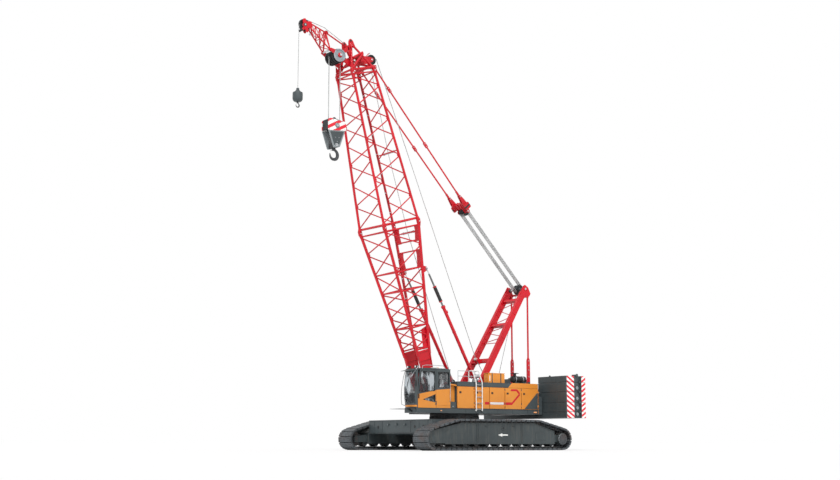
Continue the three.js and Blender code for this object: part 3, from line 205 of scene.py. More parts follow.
stripeRed = (0.70, 0.012, 0.030)
stripeWhite = (0.86, 0.86, 0.84)
paint["stripeFront"] = stripeFinish("stripeFront", "Y", 0.62, 0.245, stripeWhite, stripeRed)
paint["stripeRear"] = stripeFinish("stripeRear", "Y", -0.62, 0.245, stripeWhite, stripeRed)
paint["stripeBack"] = stripeFinish("stripeBack", "X", 0.8, 0.245, stripeWhite, stripeRed)
paint["stripeBlock"] = stripeFinish("stripeBlock", "Y", -0.55, 0.36, stripeWhite, stripeRed)


def metalFinish(name, color, dark, rough, metal=1.0, grain=60.0, rust=0.0):
    made = Finish(name)
    wear = made.ramp(made.noise(6.0, 5), 0.35, 0.72)
    lines = made.noise(grain, 3, (1.0, 6.0, 1.0))
    stain = made.ramp(made.noise(2.2, 5), 0.48, 0.72) * rust
    base = made.blend(wear * 0.6, (*color, 1), (*dark, 1))
    base = made.blend(stain, base, (0.145, 0.062, 0.026, 1))
    return made.close(Base_Color=base, Metallic=(1.0 - stain) * metal,
                      Roughness=wear * 0.18 + stain * 0.3 + rough,
                      Normal=made.bump(lines * 0.6 + wear, 0.14, 0.004))


paint["steel"] = metalFinish("brightSteel", (0.62, 0.64, 0.66), (0.42, 0.44, 0.46), 0.28)
paint["galvanised"] = metalFinish("galvanised", (0.52, 0.54, 0.56), (0.36, 0.38, 0.40), 0.42, 0.8, 25.0)
paint["castSteel"] = metalFinish("castSteel", (0.075, 0.082, 0.088), (0.040, 0.043, 0.046), 0.50, 0.55, 90.0,
                                 0.25)
paint["shoeSteel"] = metalFinish("shoeSteel", (0.105, 0.118, 0.128), (0.046, 0.050, 0.055), 0.50, 0.45, 45.0,
                                 0.28)
paint["darkSteel"] = metalFinish("darkSteel", (0.030, 0.033, 0.036), (0.015, 0.016, 0.018), 0.42, 0.5, 70.0,
                                 0.12)
paint["greySteel"] = metalFinish("greySteel", (0.33, 0.37, 0.40), (0.24, 0.27, 0.29), 0.42)
# painted shade: the rod steel is made dark grey, as the bright rods look in shadow
paint["shadedRodSteel"] = metalFinish("shadedRodSteel", (0.20, 0.21, 0.21), (0.12, 0.125, 0.13), 0.24)


# laid wire rope: strands turn round the line by its own coordinates
def ropeFinish(name, color, dark, twist):
    made = Finish(name)
    turn = made.node("ShaderNodeUVMap", {"uv_map": "lay"})
    along = made.node("ShaderNodeSeparateXYZ", None, {0: turn}, out=1)
    around = made.node("ShaderNodeSeparateXYZ", None, {0: turn}, out=0)
    wave = made.node("ShaderNodeMath", {"operation": "SINE"}, {0: (along * twist + around * 6.0) * 6.2832})
    strand = made.ramp(wave, -1.0, 1.0)
    grease = made.ramp(made.noise(1.5, 4), 0.4, 0.7)
    base = made.blend(strand, (*dark, 1), (*color, 1))
    base = made.blend(grease * 0.35, base, (0.06, 0.06, 0.058, 1))
    return made.close(Base_Color=base, Metallic=0.6, Roughness=grease * 0.2 + 0.36,
                      Normal=made.bump(strand, 0.6, 0.004))


paint["rope"] = ropeFinish("wireRope", (0.66, 0.67, 0.67), (0.26, 0.27, 0.27), 9.0)
paint["ropeDark"] = ropeFinish("greasedRope", (0.20, 0.20, 0.205), (0.07, 0.07, 0.072), 9.0)


def glassFinish():
    made = Finish("tintedGlass")
    smear = made.ramp(made.noise(1.4, 4), 0.4, 0.75)
    # painted reflection: noise patches where the glass turns pale and more opaque stand in for reflected and
    # seen-through light
    paintedReflection = made.ramp(made.noise(1.7, 3, (1.0, 1.5, 0.6)), 0.52, 0.62)
    base = made.blend(paintedReflection * 0.85, (0.018, 0.026, 0.032, 1), (0.62, 0.68, 0.72, 1))
    return made.close(Base_Color=base, Roughness=smear * 0.06 + 0.03, Alpha=paintedReflection * 0.30 + 0.34,
                      Coat_Weight=0.6)


def rubberFinish(name, color):
    made = Finish(name)
    grain = made.noise(180.0, 3)
    dusty = made.ramp(made.noise(6.0, 4), 0.45, 0.8)
    base = made.blend(dusty * 0.3, (*color, 1), (0.12, 0.115, 0.11, 1))
    return made.close(Base_Color=base, Roughness=dusty * 0.1 + 0.72, Normal=made.bump(grain, 0.25, 0.002))


def clothFinish():
    made = Finish("seatCloth")
    weave = made.node("ShaderNodeTexWave", {"wave_type": "BANDS"},
                      {"Vector": made.spot, "Scale": 140.0, "Distortion": 0.6})
    cross = made.node("ShaderNodeTexWave", {"wave_type": "BANDS", "bands_direction": "Z"},
                      {"Vector": made.spot, "Scale": 140.0})
    base = made.blend(weave * cross, (0.018, 0.018, 0.020, 1), (0.060, 0.060, 0.066, 1))
    return made.close(Base_Color=base, Roughness=0.88, Normal=made.bump(weave * cross, 0.4, 0.002))


def lampFinish(name, color, strength):
    made = Finish(name)
    rings = made.noise(30.0, 2)
    base = made.blend(rings * 0.4, (*color, 1), (0.9, 0.9, 0.88, 1))
    return made.close(Base_Color=base, Roughness=0.18, Emission_Color=(*color, 1), Emission_Strength=strength,
                      Coat_Weight=0.8)


paint["glass"] = glassFinish()
paint["rubber"] = rubberFinish("rubber", (0.016, 0.016, 0.017))
paint["cloth"] = clothFinish()
paint["amberLens"] = lampFinish("amberLens", (0.85, 0.28, 0.02), 0.25)
paint["clearLens"] = lampFinish("clearLens", (0.80, 0.82, 0.82), 0.10)
paint["redLens"] = lampFinish("redLens", (0.60, 0.02, 0.02), 0.15)
print("finishes made:", len(paint))


# a leaning frame in the plane x = 0: its z runs along (y, z), its y is the rear normal
def leaning(origin, along):
    ay, az = Vector(along).normalized()
    return Matrix(((1, 0, 0, 0), (0, az, ay, origin[0]), (0, -ay, az, origin[1]), (0, 0, 0, 1)))


# collects faces for one piece, each with its finish
class Shape:
    def __init__(self, at=None):
        self.points = []
        self.faces = []
        self.slots = []
        self.finishes = []
        self.at = at or Matrix()

    def add(self, points, faces, finish):
        base = len(self.points)
        self.points += [self.at @ Vector(point) for point in points]
        self.faces += [[base + i for i in face] for face in faces]
        if finish not in self.finishes:
            self.finishes.append(finish)
        self.slots += [self.finishes.index(finish)] * len(faces)
        return self

    def block(self, x0, x1, y0, y1, z0, z1, finish):
        points = [(x, y, z) for z in (z0, z1) for y in (y0, y1) for x in (x0, x1)]
        faces = [(0, 2, 3, 1), (4, 5, 7, 6), (0, 1, 5, 4), (2, 6, 7, 3), (0, 4, 6, 2), (1, 3, 7, 5)]
        return self.add(points, faces, finish)

    # outline of two coordinates, pushed along the third axis from d0 to d1
    def prism(self, outline, axis, d0, d1, finish):
        def place(a, b, d):
            return {"x": (d, a, b), "y": (a, d, b), "z": (a, b, d)}[axis]
        count = len(outline)
        points = [place(a, b, d0) for a, b in outline] + [place(a, b, d1) for a, b in outline]
        faces = [list(range(count)), list(range(2 * count - 1, count - 1, -1))]
        faces += [(i, i + count, (i + 1) % count + count, (i + 1) % count) for i in range(count)]
        return self.add(points, faces, finish)

    def frustum(self, low, high, finish):
        points = []
        for x0, x1, y0, y1, z in (low, high):
            points += [(x0, y0, z), (x1, y0, z), (x1, y1, z), (x0, y1, z)]
        faces = [(0, 3, 2, 1), (4, 5, 6, 7), (0, 1, 5, 4), (1, 2, 6, 5), (2, 3, 7, 6), (3, 0, 4, 7)]
        return self.add(points, faces, finish)

    # tube along a line of points, closed at both ends
    def tube(self, line, radius, finish, sides=12):
        line = [Vector(point) for point in line]
        radii = radius if isinstance(radius, (list, tuple)) else [radius] * len(line)
        ahead = (line[1] - line[0]).normalized()
        side = ahead.orthogonal().normalized()
        points = []
        for i, point in enumerate(line):
            if 0 < i < len(line) - 1:
                ahead = ((line[i + 1] - point).normalized() + (point - line[i - 1]).normalized()).normalized()
            elif i:
                ahead = (point - line[i - 1]).normalized()
            side = (side - ahead * side.dot(ahead)).normalized()
            up = ahead.cross(side)
            points += [point + (side * math.cos(t) + up * math.sin(t)) * radii[i]
                       for t in (2 * math.pi * k / sides for k in range(sides))]
        faces = []
        for i in range(len(line) - 1):
            faces += [(i * sides + k, i * sides + (k + 1) % sides, (i + 1) * sides + (k + 1) % sides,
                       (i + 1) * sides + k) for k in range(sides)]
        faces += [list(range(sides))[::-1], [(len(line) - 1) * sides + k for k in range(sides)]]
        return self.add(points, faces, finish)

    # closed ring profile of (offset along axis, radius), turned about the axis through centre
    def wheel(self, centre, profile, finish, axis="x", sides=40):
        order = {"x": (0, 1, 2), "y": (1, 2, 0), "z": (2, 0, 1)}[axis]
        points = []
        for k in range(sides):
            c, s = math.cos(2 * math.pi * k / sides), math.sin(2 * math.pi * k / sides)
            for offset, radius in profile:
                point = [0, 0, 0]
                point[order[0]] = centre[order[0]] + offset
                point[order[1]] = centre[order[1]] + radius * c
                point[order[2]] = centre[order[2]] + radius * s
                points.append(point)
        n = len(profile)
        faces = [(k * n + i, ((k + 1) % sides) * n + i, ((k + 1) % sides) * n + (i + 1) % n,
                  k * n + (i + 1) % n) for k in range(sides) for i in range(n)]
        return self.add(points, faces, finish)

    def mirrored(self):
        twin = Shape()
        twin.points = [Vector((-p.x, p.y, p.z)) for p in self.points]
        twin.faces = [list(face) for face in self.faces]
        twin.slots = list(self.slots)
        twin.finishes = list(self.finishes)
        return twin

    def take(self, other):
        slots = []
        for finish in other.finishes:
            if finish not in self.finishes:
                self.finishes.append(finish)
            slots.append(self.finishes.index(finish))
        base = len(self.points)
        self.points += other.points
        self.faces += [[base + i for i in face] for face in other.faces]
        self.slots += [slots[slot] for slot in other.slots]
        return self

    def mesh(self, name):
        made = bpy.data.meshes.new(name)
        made.from_pydata(self.points, [], self.faces)
        for finish in self.finishes:
            made.materials.append(paint[finish])
        made.polygons.foreach_set("material_index", self.slots)
        body = bmesh.new()
        body.from_mesh(made)
        bmesh.ops.remove_doubles(body, verts=body.verts, dist=0.00002)
        bmesh.ops.recalc_face_normals(body, faces=body.faces)
        body.to_mesh(made)
        body.free()
        made.shade_smooth()
        made.set_sharp_from_angle(angle=math.radians(32))
        return made

    def piece(self, name, body, stands=(), bevel=0.0):
        made = bpy.data.objects.new(name, self.mesh(name))
        bpy.context.scene.collection.objects.link(made)
        if bevel:
            edge = made.modifiers.new("edge", "BEVEL")
            edge.width = bevel
            edge.segments = 2
            edge.limit_method = "ANGLE"
            edge.angle_limit = math.radians(40)
            edge.harden_normals = True
        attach(made, body)
        if stands:
            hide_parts(*stands)
        return made


# node tree: every edge of the input mesh becomes a bar
def barTree():
    tree = bpy.data.node_groups.new("barsOnEdges", "GeometryNodeTree")
    face = tree.interface
    face.new_socket("Edges", in_out="INPUT", socket_type="NodeSocketGeometry")
    face.new_socket("Radius", in_out="INPUT", socket_type="NodeSocketFloat")
    face.new_socket("Sides", in_out="INPUT", socket_type="NodeSocketInt")
    face.new_socket("Finish", in_out="INPUT", socket_type="NodeSocketMaterial")
    face.new_socket("Bars", in_out="OUTPUT", socket_type="NodeSocketGeometry")
    add = tree.nodes.new
    start, end = add("NodeGroupInput"), add("NodeGroupOutput")
    curve, ring, sweep = add("GeometryNodeMeshToCurve"), add(
        "GeometryNodeCurvePrimitiveCircle"), add("GeometryNodeCurveToMesh")
    real, finish = add("GeometryNodeRealizeInstances"), add("GeometryNodeSetMaterial")
    sweep.inputs["Fill Caps"].default_value = True
    for a, b in ((start.outputs["Edges"], curve.inputs["Mesh"]),
                 (start.outputs["Radius"], ring.inputs["Radius"]),
                 (start.outputs["Sides"], ring.inputs["Resolution"]),
                 (curve.outputs[0], sweep.inputs["Curve"]),
                 (ring.outputs["Curve"], sweep.inputs["Profile Curve"]), (sweep.outputs[0], real.inputs[0]),
                 (real.outputs[0], finish.inputs["Geometry"]),
                 (start.outputs["Finish"], finish.inputs["Material"]), (finish.outputs[0], end.inputs[0])):
        tree.links.new(a, b)
    return tree


# node tree: the template is set on every point, its z along aim and its x along side
def scatterTree():
    tree = bpy.data.node_groups.new("setOnPoints", "GeometryNodeTree")
    face = tree.interface
    face.new_socket("Points", in_out="INPUT", socket_type="NodeSocketGeometry")
    face.new_socket("Template", in_out="INPUT", socket_type="NodeSocketObject")
    face.new_socket("Size", in_out="INPUT", socket_type="NodeSocketFloat")
    face.new_socket("Finish", in_out="INPUT", socket_type="NodeSocketMaterial")
    face.new_socket("Set", in_out="OUTPUT", socket_type="NodeSocketGeometry")
    add = tree.nodes.new
    start, end = add("NodeGroupInput"), add("NodeGroupOutput")
    item, place = add("GeometryNodeObjectInfo"), add("GeometryNodeInstanceOnPoints")
    aim, side = add("GeometryNodeInputNamedAttribute"), add("GeometryNodeInputNamedAttribute")
    for reader, name in ((aim, "aim"), (side, "side")):
        reader.data_type = "FLOAT_VECTOR"
        reader.inputs["Name"].default_value = name
    turn, roll = add("FunctionNodeAlignRotationToVector"), add("FunctionNodeAlignRotationToVector")
    turn.axis = "Z"
    roll.axis = "X"
    roll.pivot_axis = "Z"
    real, finish = add("GeometryNodeRealizeInstances"), add("GeometryNodeSetMaterial")
    for a, b in ((start.outputs["Points"], place.inputs["Points"]),
                 (start.outputs["Template"], item.inputs["Object"]),
                 (item.outputs["Geometry"], place.inputs["Instance"]),
                 (aim.outputs[0], turn.inputs["Vector"]), (turn.outputs[0], roll.inputs["Rotation"]),
                 (side.outputs[0], roll.inputs["Vector"]), (roll.outputs[0], place.inputs["Rotation"]),
                 (start.outputs["Size"], place.inputs["Scale"]), (place.outputs[0], real.inputs[0]),
                 (real.outputs[0], finish.inputs["Geometry"]),
                 (start.outputs["Finish"], finish.inputs["Material"]), (finish.outputs[0], end.inputs[0])):
        tree.links.new(a, b)
    return tree


trees = {"bars": barTree(), "set": scatterTree()}


def grown(name, source, tree, values, body, stands=()):
    holder = bpy.data.objects.new(name, source)
    bpy.context.scene.collection.objects.link(holder)
    grow = holder.modifiers.new("grow", "NODES")
    grow.node_group = tree
    for item in tree.interface.items_tree:
        if item.in_out == "INPUT" and item.name in values:
            grow[item.identifier] = values[item.name]
    bpy.context.view_layer.update()
    graph = bpy.context.evaluated_depsgraph_get()
    made = bpy.data.meshes.new_from_object(holder.evaluated_get(graph))
    holder.modifiers.clear()
    holder.data = made
    made.name = name
    made.shade_smooth()
    made.set_sharp_from_angle(angle=math.radians(40))
    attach(holder, body)
    if stands:
        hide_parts(*stands)
    return holder


# bars along lines of points, one piece
def bars(name, lines, radius, finish, body, sides=10, at=None, stands=()):
    at = at or Matrix()
    points, edges = [], []
    for line in lines:
        edges += [(len(points) + i, len(points) + i + 1) for i in range(len(line) - 1)]
        points += [at @ Vector(point) for point in line]
    source = bpy.data.meshes.new(name + "Lines")
    source.from_pydata(points, edges, [])
    return grown(name, source, trees["bars"], {"Radius": radius, "Sides": sides, "Finish": paint[finish]},
                 body, stands)


# a template on many spots, each (point, aim, side)
def scatter(name, template, spots, finish, body, size=1.0, at=None, stands=()):
    at = at or Matrix()
    turn = at.to_3x3()
    source = bpy.data.meshes.new(name + "Spots")
    source.from_pydata([at @ Vector(spot[0]) for spot in spots], [], [])
    for key, column in (("aim", 1), ("side", 2)):
        layer = source.attributes.new(key, "FLOAT_VECTOR", "POINT")
        layer.data.foreach_set("vector", [c for spot in spots for c in turn @ Vector(spot[column])])
    item = bpy.data.objects.new(name + "Template", template.mesh(name + "Template"))
    bpy.context.scene.collection.objects.link(item)
    made = grown(name, source, trees["set"], {"Template": item, "Size": size, "Finish": paint[finish]}, body,
                 stands)
    bpy.data.objects.remove(item)
    return made


# bolt head with six flats on a wider washer
def boltHead(radius, height, finish="castSteel"):
    head = Shape()
    ring = [(radius * math.cos(math.pi * k / 3), radius * math.sin(math.pi * k / 3)) for k in range(6)]
    head.prism([(a * 1.35, b * 1.35) for a, b in ring], "z", -height * 0.1, height * 0.25, finish)
    return head.prism(ring, "z", height * 0.2, height, finish)


# the value a share t of the way from a to b
def lerp(a, b, t):
    return a + (b - a) * t


# boom: x across, y from its axis towards the rear, z along it from the foot pin
boomFacts = {"angle": 74.7, "foot": (-1.707, 2.457), "straight": 1.0, "plateTop": 2.5, "joint": 8.745,
             "head": 16.519, "footHalf": 0.45, "footDepth": 0.20, "legHalf": 0.568, "legDepth": 0.375,
             "jointHalf": (1.065, 1.052), "headHalf": (0.676, 0.657), "chord": 0.073, "upperChord": 0.062,
             "brace": 0.033, "upperBrace": 0.031}
boomTurn = math.radians(boomFacts["angle"])
boomAt = leaning(boomFacts["foot"], (-math.cos(boomTurn), math.sin(boomTurn)))


def boomHalf(l):
    f = boomFacts
    if l < f["plateTop"]:
        wide = lerp(f["footHalf"], f["legHalf"], min(1, max(0, l - 0.3) / 0.7))
        return wide, lerp(f["footDepth"], f["legDepth"], l / f["plateTop"])
    if l < f["joint"]:
        t = (l - f["plateTop"]) / (f["joint"] - f["plateTop"])
        return lerp(f["legHalf"], f["jointHalf"][0], t), lerp(f["legDepth"], f["jointHalf"][1], t)
    t = (l - f["joint"]) / (f["head"] - f["joint"])
    return lerp(f["jointHalf"][0], f["headHalf"][0], t), lerp(f["jointHalf"][1], f["headHalf"][1], t)


def boomCorner(l, sx, sy, inset=0.0):
    wide, deep = boomHalf(l)
    return Vector((sx * (wide - inset), sy * (deep - inset), l))


boomFaces = {"left": ((1, -1), (1, 1)), "right": ((-1, -1), (-1, 1)), "front": ((-1, -1), (1, -1)),
             "rear": ((-1, 1), (1, 1))}
boomCorners = ((1, 1), (1, -1), (-1, 1), (-1, -1))


# the lacing's nodes; a face runs from one chord to the other at each, its neighbour starts on the other one
lacingFacts = {"foot": (2.64, 3.12, 3.66, 4.28, 4.92, 5.56, 6.52, 7.62, 8.56),
               "top": (8.94, 10.08, 11.14, 12.15, 13.14, 14.04, 14.90, 15.72, 16.36),
               "first": {"left": 0, "right": 1, "front": 0, "rear": 1}, "gap": 0.05}


def boomZigzag(face, nodes):
    gap = lacingFacts["gap"]
    ends = boomFaces[face]
    start = lacingFacts["first"][face]
    return [(boomCorner(low + gap, *ends[(i + start) % 2]),
             boomCorner(high - gap, *ends[(i + 1 + start) % 2])) for i,
            (low, high) in enumerate(zip(nodes, nodes[1:]))]


def boomFrame(l, sides=("left", "right", "front", "rear")):
    return [(boomCorner(l, *boomFaces[side][0]), boomCorner(l, *boomFaces[side][1])) for side in sides]


def weldGussets(shape, face, nodes):
    ends = boomFaces[face]
    for i, l in enumerate(nodes):
        corner, other = ends[(i + lacingFacts["first"][face]) % 2], ends[
            (i + 1 + lacingFacts["first"][face]) % 2]
        at = boomCorner(l, *corner)
        toward = (boomCorner(l, *other) - at).normalized()
        along = (boomCorner(l + 0.1, *corner) - at).normalized()
        across = toward.cross(along).normalized() * 0.006
        reach, half = 0.125, 0.115
        outline = [at - along * half, at + along * half, at + along * half * 0.35 + toward * reach,
                   at - along * half * 0.35 + toward * reach]
        points = [p + across for p in outline] + [p - across for p in outline]
        shape.add(points,
                  [(0, 1, 2, 3), (7, 6, 5, 4), (0, 4, 5, 1), (1, 5, 6, 2), (2, 6, 7, 3), (3, 7, 4, 0)],
                  "redPaint")


def boomSectionBars(name, nodes, ends, chord, brace, stands, skip=()):
    chords = [(boomCorner(ends[0], *corner), boomCorner(ends[1], *corner)) for corner in boomCorners]
    bars(name + "_chords", chords, chord, "redPaint", "boom", 16, boomAt, stands)
    lines = []
    for face in boomFaces:
        if face not in skip:
            lines += boomZigzag(face, nodes)
    bars(name + "_braces", lines, brace, "redPaint", "boom", 8, boomAt)
    gussets = Shape(boomAt)
    for face in boomFaces:
        if face not in skip:
            weldGussets(gussets, face, nodes)
    gussets.piece(name + "_gussets", "boom")


f = boomFacts
boomSectionBars("boom_foot_section", lacingFacts["foot"], (f["plateTop"] - 0.25, f["joint"] - 0.10),
                f["chord"], f["brace"], ("boom_foot_section",), ("rear",))
boomSectionBars("boom_top_section", lacingFacts["top"], (f["joint"] + 0.10, f["head"] - 0.04),
                f["upperChord"], f["upperBrace"], ("boom_top_section",))
rearLines = boomZigzag("rear", lacingFacts["foot"][:7])
frames = boomFrame(f["joint"] - 0.16) + boomFrame(f["plateTop"] + 0.08, ("left", "right", "rear"))
frames += boomFrame(7.86, ("rear",)) + boomFrame(7.36, ("rear",))
frames += boomFrame(6.52) + boomFrame(5.56) + boomFrame(3.70)
bars("boom_foot_frames", frames, 0.040, "redPaint", "boom", 12, boomAt)
bars("boom_foot_rear_braces", rearLines, f["brace"], "redPaint", "boom", 8, boomAt)
frames = boomFrame(f["joint"] + 0.16) + boomFrame(f["head"] - 0.075)
diagonal = [(boomCorner(f["joint"] + 0.2, 1, 1), boomCorner(f["joint"] + 0.2, -1, -1)),
            (boomCorner(5.6, 1, -1), boomCorner(5.6, -1, 1))]
bars("boom_top_frames", frames + diagonal, 0.036, "redPaint", "boom", 12, boomAt)


# foot: tapering side plates with stiffened edges, eyes with bushes, and the pins
footFacts = {"eye": 0.205, "bush": 0.115, "flange": 0.17}
foot = Shape(boomAt)
for side in (-1, 1):
    x = side * f["footHalf"]
    xt = side * boomHalf(f["plateTop"])[0]
    xm = side * boomHalf(f["straight"])[0]
    d0, d1, d2 = boomHalf(0.3)[1], boomHalf(f["straight"])[1], boomHalf(f["plateTop"])[1]
    half = 0.028
    ring = [(footFacts["eye"] * math.cos(t), footFacts["eye"] * math.sin(t)) for t in
            (math.pi + math.pi * k / 16 for k in range(17))]
    foot.prism(ring + [(d0, 0.31), (-d0, 0.31)], "x", x - half, x + half, "redPaint")
    foot.frustum((x - half, x + half, -d0, d0, 0.30), (xm - half, xm + half, -d1, d1, 1.0), "redPaint")
    foot.frustum((xm - half, xm + half, -d1, d1, 0.999), (xt - half, xt + half, -d2, d2, f["plateTop"]),
                 "redPaint")
    for sy in (-1, 1):
        edge = footFacts["flange"] / 2 - 0.015
        foot.frustum((xm - edge, xm + edge, sy * d1 - 0.02, sy * d1 + 0.02, 0.95),
                     (xt - edge, xt + edge, sy * d2 - 0.02, sy * d2 + 0.02, f["plateTop"]), "redPaint")
        foot.tube([(x, sy * (d0 - 0.03), 0.30), (xm, sy * (d1 - 0.01), 0.98)], 0.05, "redPaint", 12)
    for l in (0.9, 1.45, 2.0, 2.42):
        d = lerp(d1, d2, max(0, l - 1.0) / 1.5) - 0.03
        at = side * boomHalf(l)[0]
        foot.block(at - 0.062, at + 0.062, -d, d, l - 0.008, l + 0.008, "redPaint")
    foot.wheel((x, 0, 0),
               [(-0.07, 0.075), (0.07, 0.075), (0.07, footFacts["bush"]), (0.05, footFacts["bush"] + 0.03),
                (-0.05, footFacts["bush"] + 0.03), (-0.07, footFacts["bush"])], "redPaint")
    foot.tube([(x - 0.14, 0, 0), (x + 0.14, 0, 0)], 0.0699, "steel", 32)
    foot.tube([(x + side * 0.138, 0, 0), (x + side * 0.152, 0, 0)], 0.10, "castSteel", 24)
    foot.block(x + side * 0.150, x + side * 0.158, -0.03, 0.03, -0.13, 0.13, "castSteel")
foot.tube([(-f["legHalf"], 0.1, 1.10), (f["legHalf"], 0.1, 1.10)], 0.055, "redPaint", 16)
foot.prism([(0.03, 2.52), (boomHalf(2.52)[1], 2.52), (boomHalf(3.55)[1], 3.55), (0.16, 3.45)], "x",
           f["legHalf"] - 0.02, f["legHalf"] - 0.008, "redPaint")
foot.piece("boom_foot_plates", "boom", (), 0.004)


# connectors at the joint and the head: forks, eyes and pins on each chord
def connectors(name, l, gap, radius):
    made = Shape(boomAt)
    for sx, sy in boomCorners:
        at = boomCorner(l, sx, sy)
        low, high = boomCorner(l - 0.26, sx, sy), boomCorner(l + 0.26, sx, sy)
        ahead = (high - low).normalized()
        made.tube([low, low + ahead * 0.05, at - ahead * (gap + 0.10)],
                  [radius * 1.02, radius * 1.28, radius * 1.28], "redPaint", 20)
        made.tube([high, high - ahead * 0.05, at + ahead * (gap + 0.10)],
                  [radius * 1.02, radius * 1.28, radius * 1.28], "redPaint", 20)
        made.block(at.x - 0.028, at.x + 0.028, at.y - 0.085, at.y + 0.085, l - 0.13, l + 0.10, "redPaint")
        for face in (-1, 1):
            made.block(at.x + face * 0.032, at.x + face * 0.062, at.y - 0.085, at.y + 0.085, l - 0.10,
                       l + 0.14, "redPaint")
        made.tube([(at.x - 0.10, at.y, l), (at.x + 0.10, at.y, l)], 0.034, "steel", 16)
        made.tube([(at.x + 0.085, at.y - 0.05, l), (at.x + 0.085, at.y + 0.05, l)], 0.008, "galvanised", 8)
    return made.piece(name, "boom", (), 0.004)


connectors("boom_joint_pins", f["joint"], 0.01, 0.070)
connectors("boom_head_pins", f["head"] - 0.02, 0.01, 0.062)


# two plated portals across the rear face, below the joint
portalFacts = {"spans": ((7.80, 8.58), (6.54, 7.34)), "plate": 0.42, "waist": 0.9, "thick": 0.014}
portals = Shape(boomAt)
for l0, l1 in portalFacts["spans"]:
    for side in (-1, 1):
        (w0, d0), (w1, d1) = boomHalf(l0), boomHalf(l1)
        t = portalFacts["thick"]
        reach = portalFacts["plate"]
        waist = reach * portalFacts["waist"]
        outline = [(side * w0, d0, l0), (side * w1, d1, l1), (side * (w1 - reach), d1, l1),
                   (side * (w1 - waist), lerp(d0, d1, 0.75), lerp(l0, l1, 0.75)),
                   (side * (w0 - waist), lerp(d0, d1, 0.25), lerp(l0, l1, 0.25)),
                   (side * (w0 - reach), d0, l0)]
        points = [(x, y - t / 2, z) for x, y, z in outline] + [(x, y + t / 2, z) for x, y, z in outline]
        n = len(outline)
        walls = [(i, i + n, (i + 1) % n + n, (i + 1) % n) for i in range(n)]
        portals.add(points, [list(range(n)), list(range(2 * n - 1, n - 1, -1))] + walls, "redPaint")
        portals.tube([(side * w0, d0 + 0.035, l0), (side * w1, d1 + 0.035, l1)], 0.03, "redPaint", 12)
portals.piece("boom_portal_plates", "boom", (), 0.003)

# backstop lugs on the rear chords, and the rope guide roller
stopFacts = {"half": 0.930, "eyeL": 6.376, "eyeH": 1.020, "foot": (0.608, 3.450), "tubeTop": 4.095,
             "buffer": (4.372, 5.200), "tube": 0.082, "rod": 0.046}
lugs = Shape(boomAt)
for side in (-1, 1):
    inner = side * (stopFacts["half"] - 0.076)
    deep = boomHalf(stopFacts["eyeL"])[1]
    lugs.prism([(deep - 0.06, 6.63), (deep - 0.06, 6.17), (1.07, 6.285), (1.09, 6.376), (1.07, 6.467)], "x",
               inner, inner + side * 0.038, "redPaint")
    lugs.wheel((inner + side * 0.019, stopFacts["eyeH"], stopFacts["eyeL"]),
               [(-0.026, 0.032), (0.026, 0.032), (0.026, 0.062), (-0.026, 0.062)], "steel", sides=24)
lugs.piece("boom_backstop_lugs", "boom", (), 0.003)
roller = Shape(boomAt)
for l in (8.3, 12.4):
    wide, deep = boomHalf(l)
    roller.tube([(-0.42, deep + 0.10, l), (0.42, deep + 0.10, l)], [0.052, 0.052], "galvanised", 24)
    roller.tube([(-0.46, deep + 0.10, l), (0.46, deep + 0.10, l)], 0.02, "steel", 12)
    for side in (-1, 1):
        roller.wheel((side * 0.43, deep + 0.10, l),
                     [(-0.008, 0.02), (0.008, 0.02), (0.008, 0.075), (-0.008, 0.075)], "galvanised", sides=24)
        roller.block(side * 0.45, side * 0.464, deep - 0.04, deep + 0.13, l - 0.04, l + 0.04, "redPaint")
bars("boom_roller_beams", boomFrame(8.3, ("rear",)) + boomFrame(12.4, ("rear",)), 0.03, "redPaint", "boom",
     10, boomAt)
roller.piece("boom_rope_rollers", "boom", (), 0.003)

# signal cable along the right rear chord, in clips
bars("boom_signal_cable",
     [[boomCorner(l, -1, 1, 0.10) for l in (2.6, 4.5, 6.4, 8.6)],
      [boomCorner(l, -1, 1, 0.08) for l in (8.9, 11.0, 13.5, 16.4)]], 0.011, "rubber", "boom", 6, boomAt)
cableClips = [(boomCorner(l, -1, 1, 0.085), (0, 0, 1), (1, 0, 0))
              for l in (3.1, 4.1, 5.1, 6.1, 7.1, 9.5, 10.5, 11.5, 12.5, 13.5, 14.5, 15.5)]
clip = Shape().prism([(0.03, -0.03), (0.03, 0.03), (-0.03, 0.03), (-0.03, -0.03)], "z", -0.02, 0.02,
                     "galvanised")
scatter("boom_cable_clips", clip, cableClips, "galvanised", "boom", 1.0, boomAt)
print("boom sections made")


# grooved rope sheave about x: hub, web with spokes, and a groove
def sheave(shape, x, y, z, radius, width, finish="castSteel", hub="redPaint", hubRadius=0.30):
    w = width / 2
    r = radius
    shape.wheel((x, y, z),
                [(-w, r * 0.80), (-w, r), (-w * 0.82, r), (-w * 0.30, r * 0.905), (w * 0.30, r * 0.905),
                 (w * 0.82, r), (w, r), (w, r * 0.80), (w * 0.35, r * 0.76), (w * 0.35, r * hubRadius * 1.15),
                 (-w * 0.35, r * hubRadius * 1.15), (-w * 0.35, r * 0.76)], finish, sides=48)
    shape.wheel((x, y, z),
                [(-w * 1.05, r * 0.12), (-w * 1.05, r * hubRadius * 0.8), (-w * 0.6, r * hubRadius * 1.2),
                 (w * 0.6, r * hubRadius * 1.2), (w * 1.05, r * hubRadius * 0.8), (w * 1.05, r * 0.12)], hub,
                sides=32)
    for k in range(8):
        t = 2 * math.pi * k / 8
        c, s = math.cos(t), math.sin(t)
        inner, outer = r * hubRadius, r * 0.80
        shape.tube([(x, y + c * inner, z + s * inner), (x, y + c * outer, z + s * outer)],
                   [w * 0.45, w * 0.34], finish, 6)
    return shape


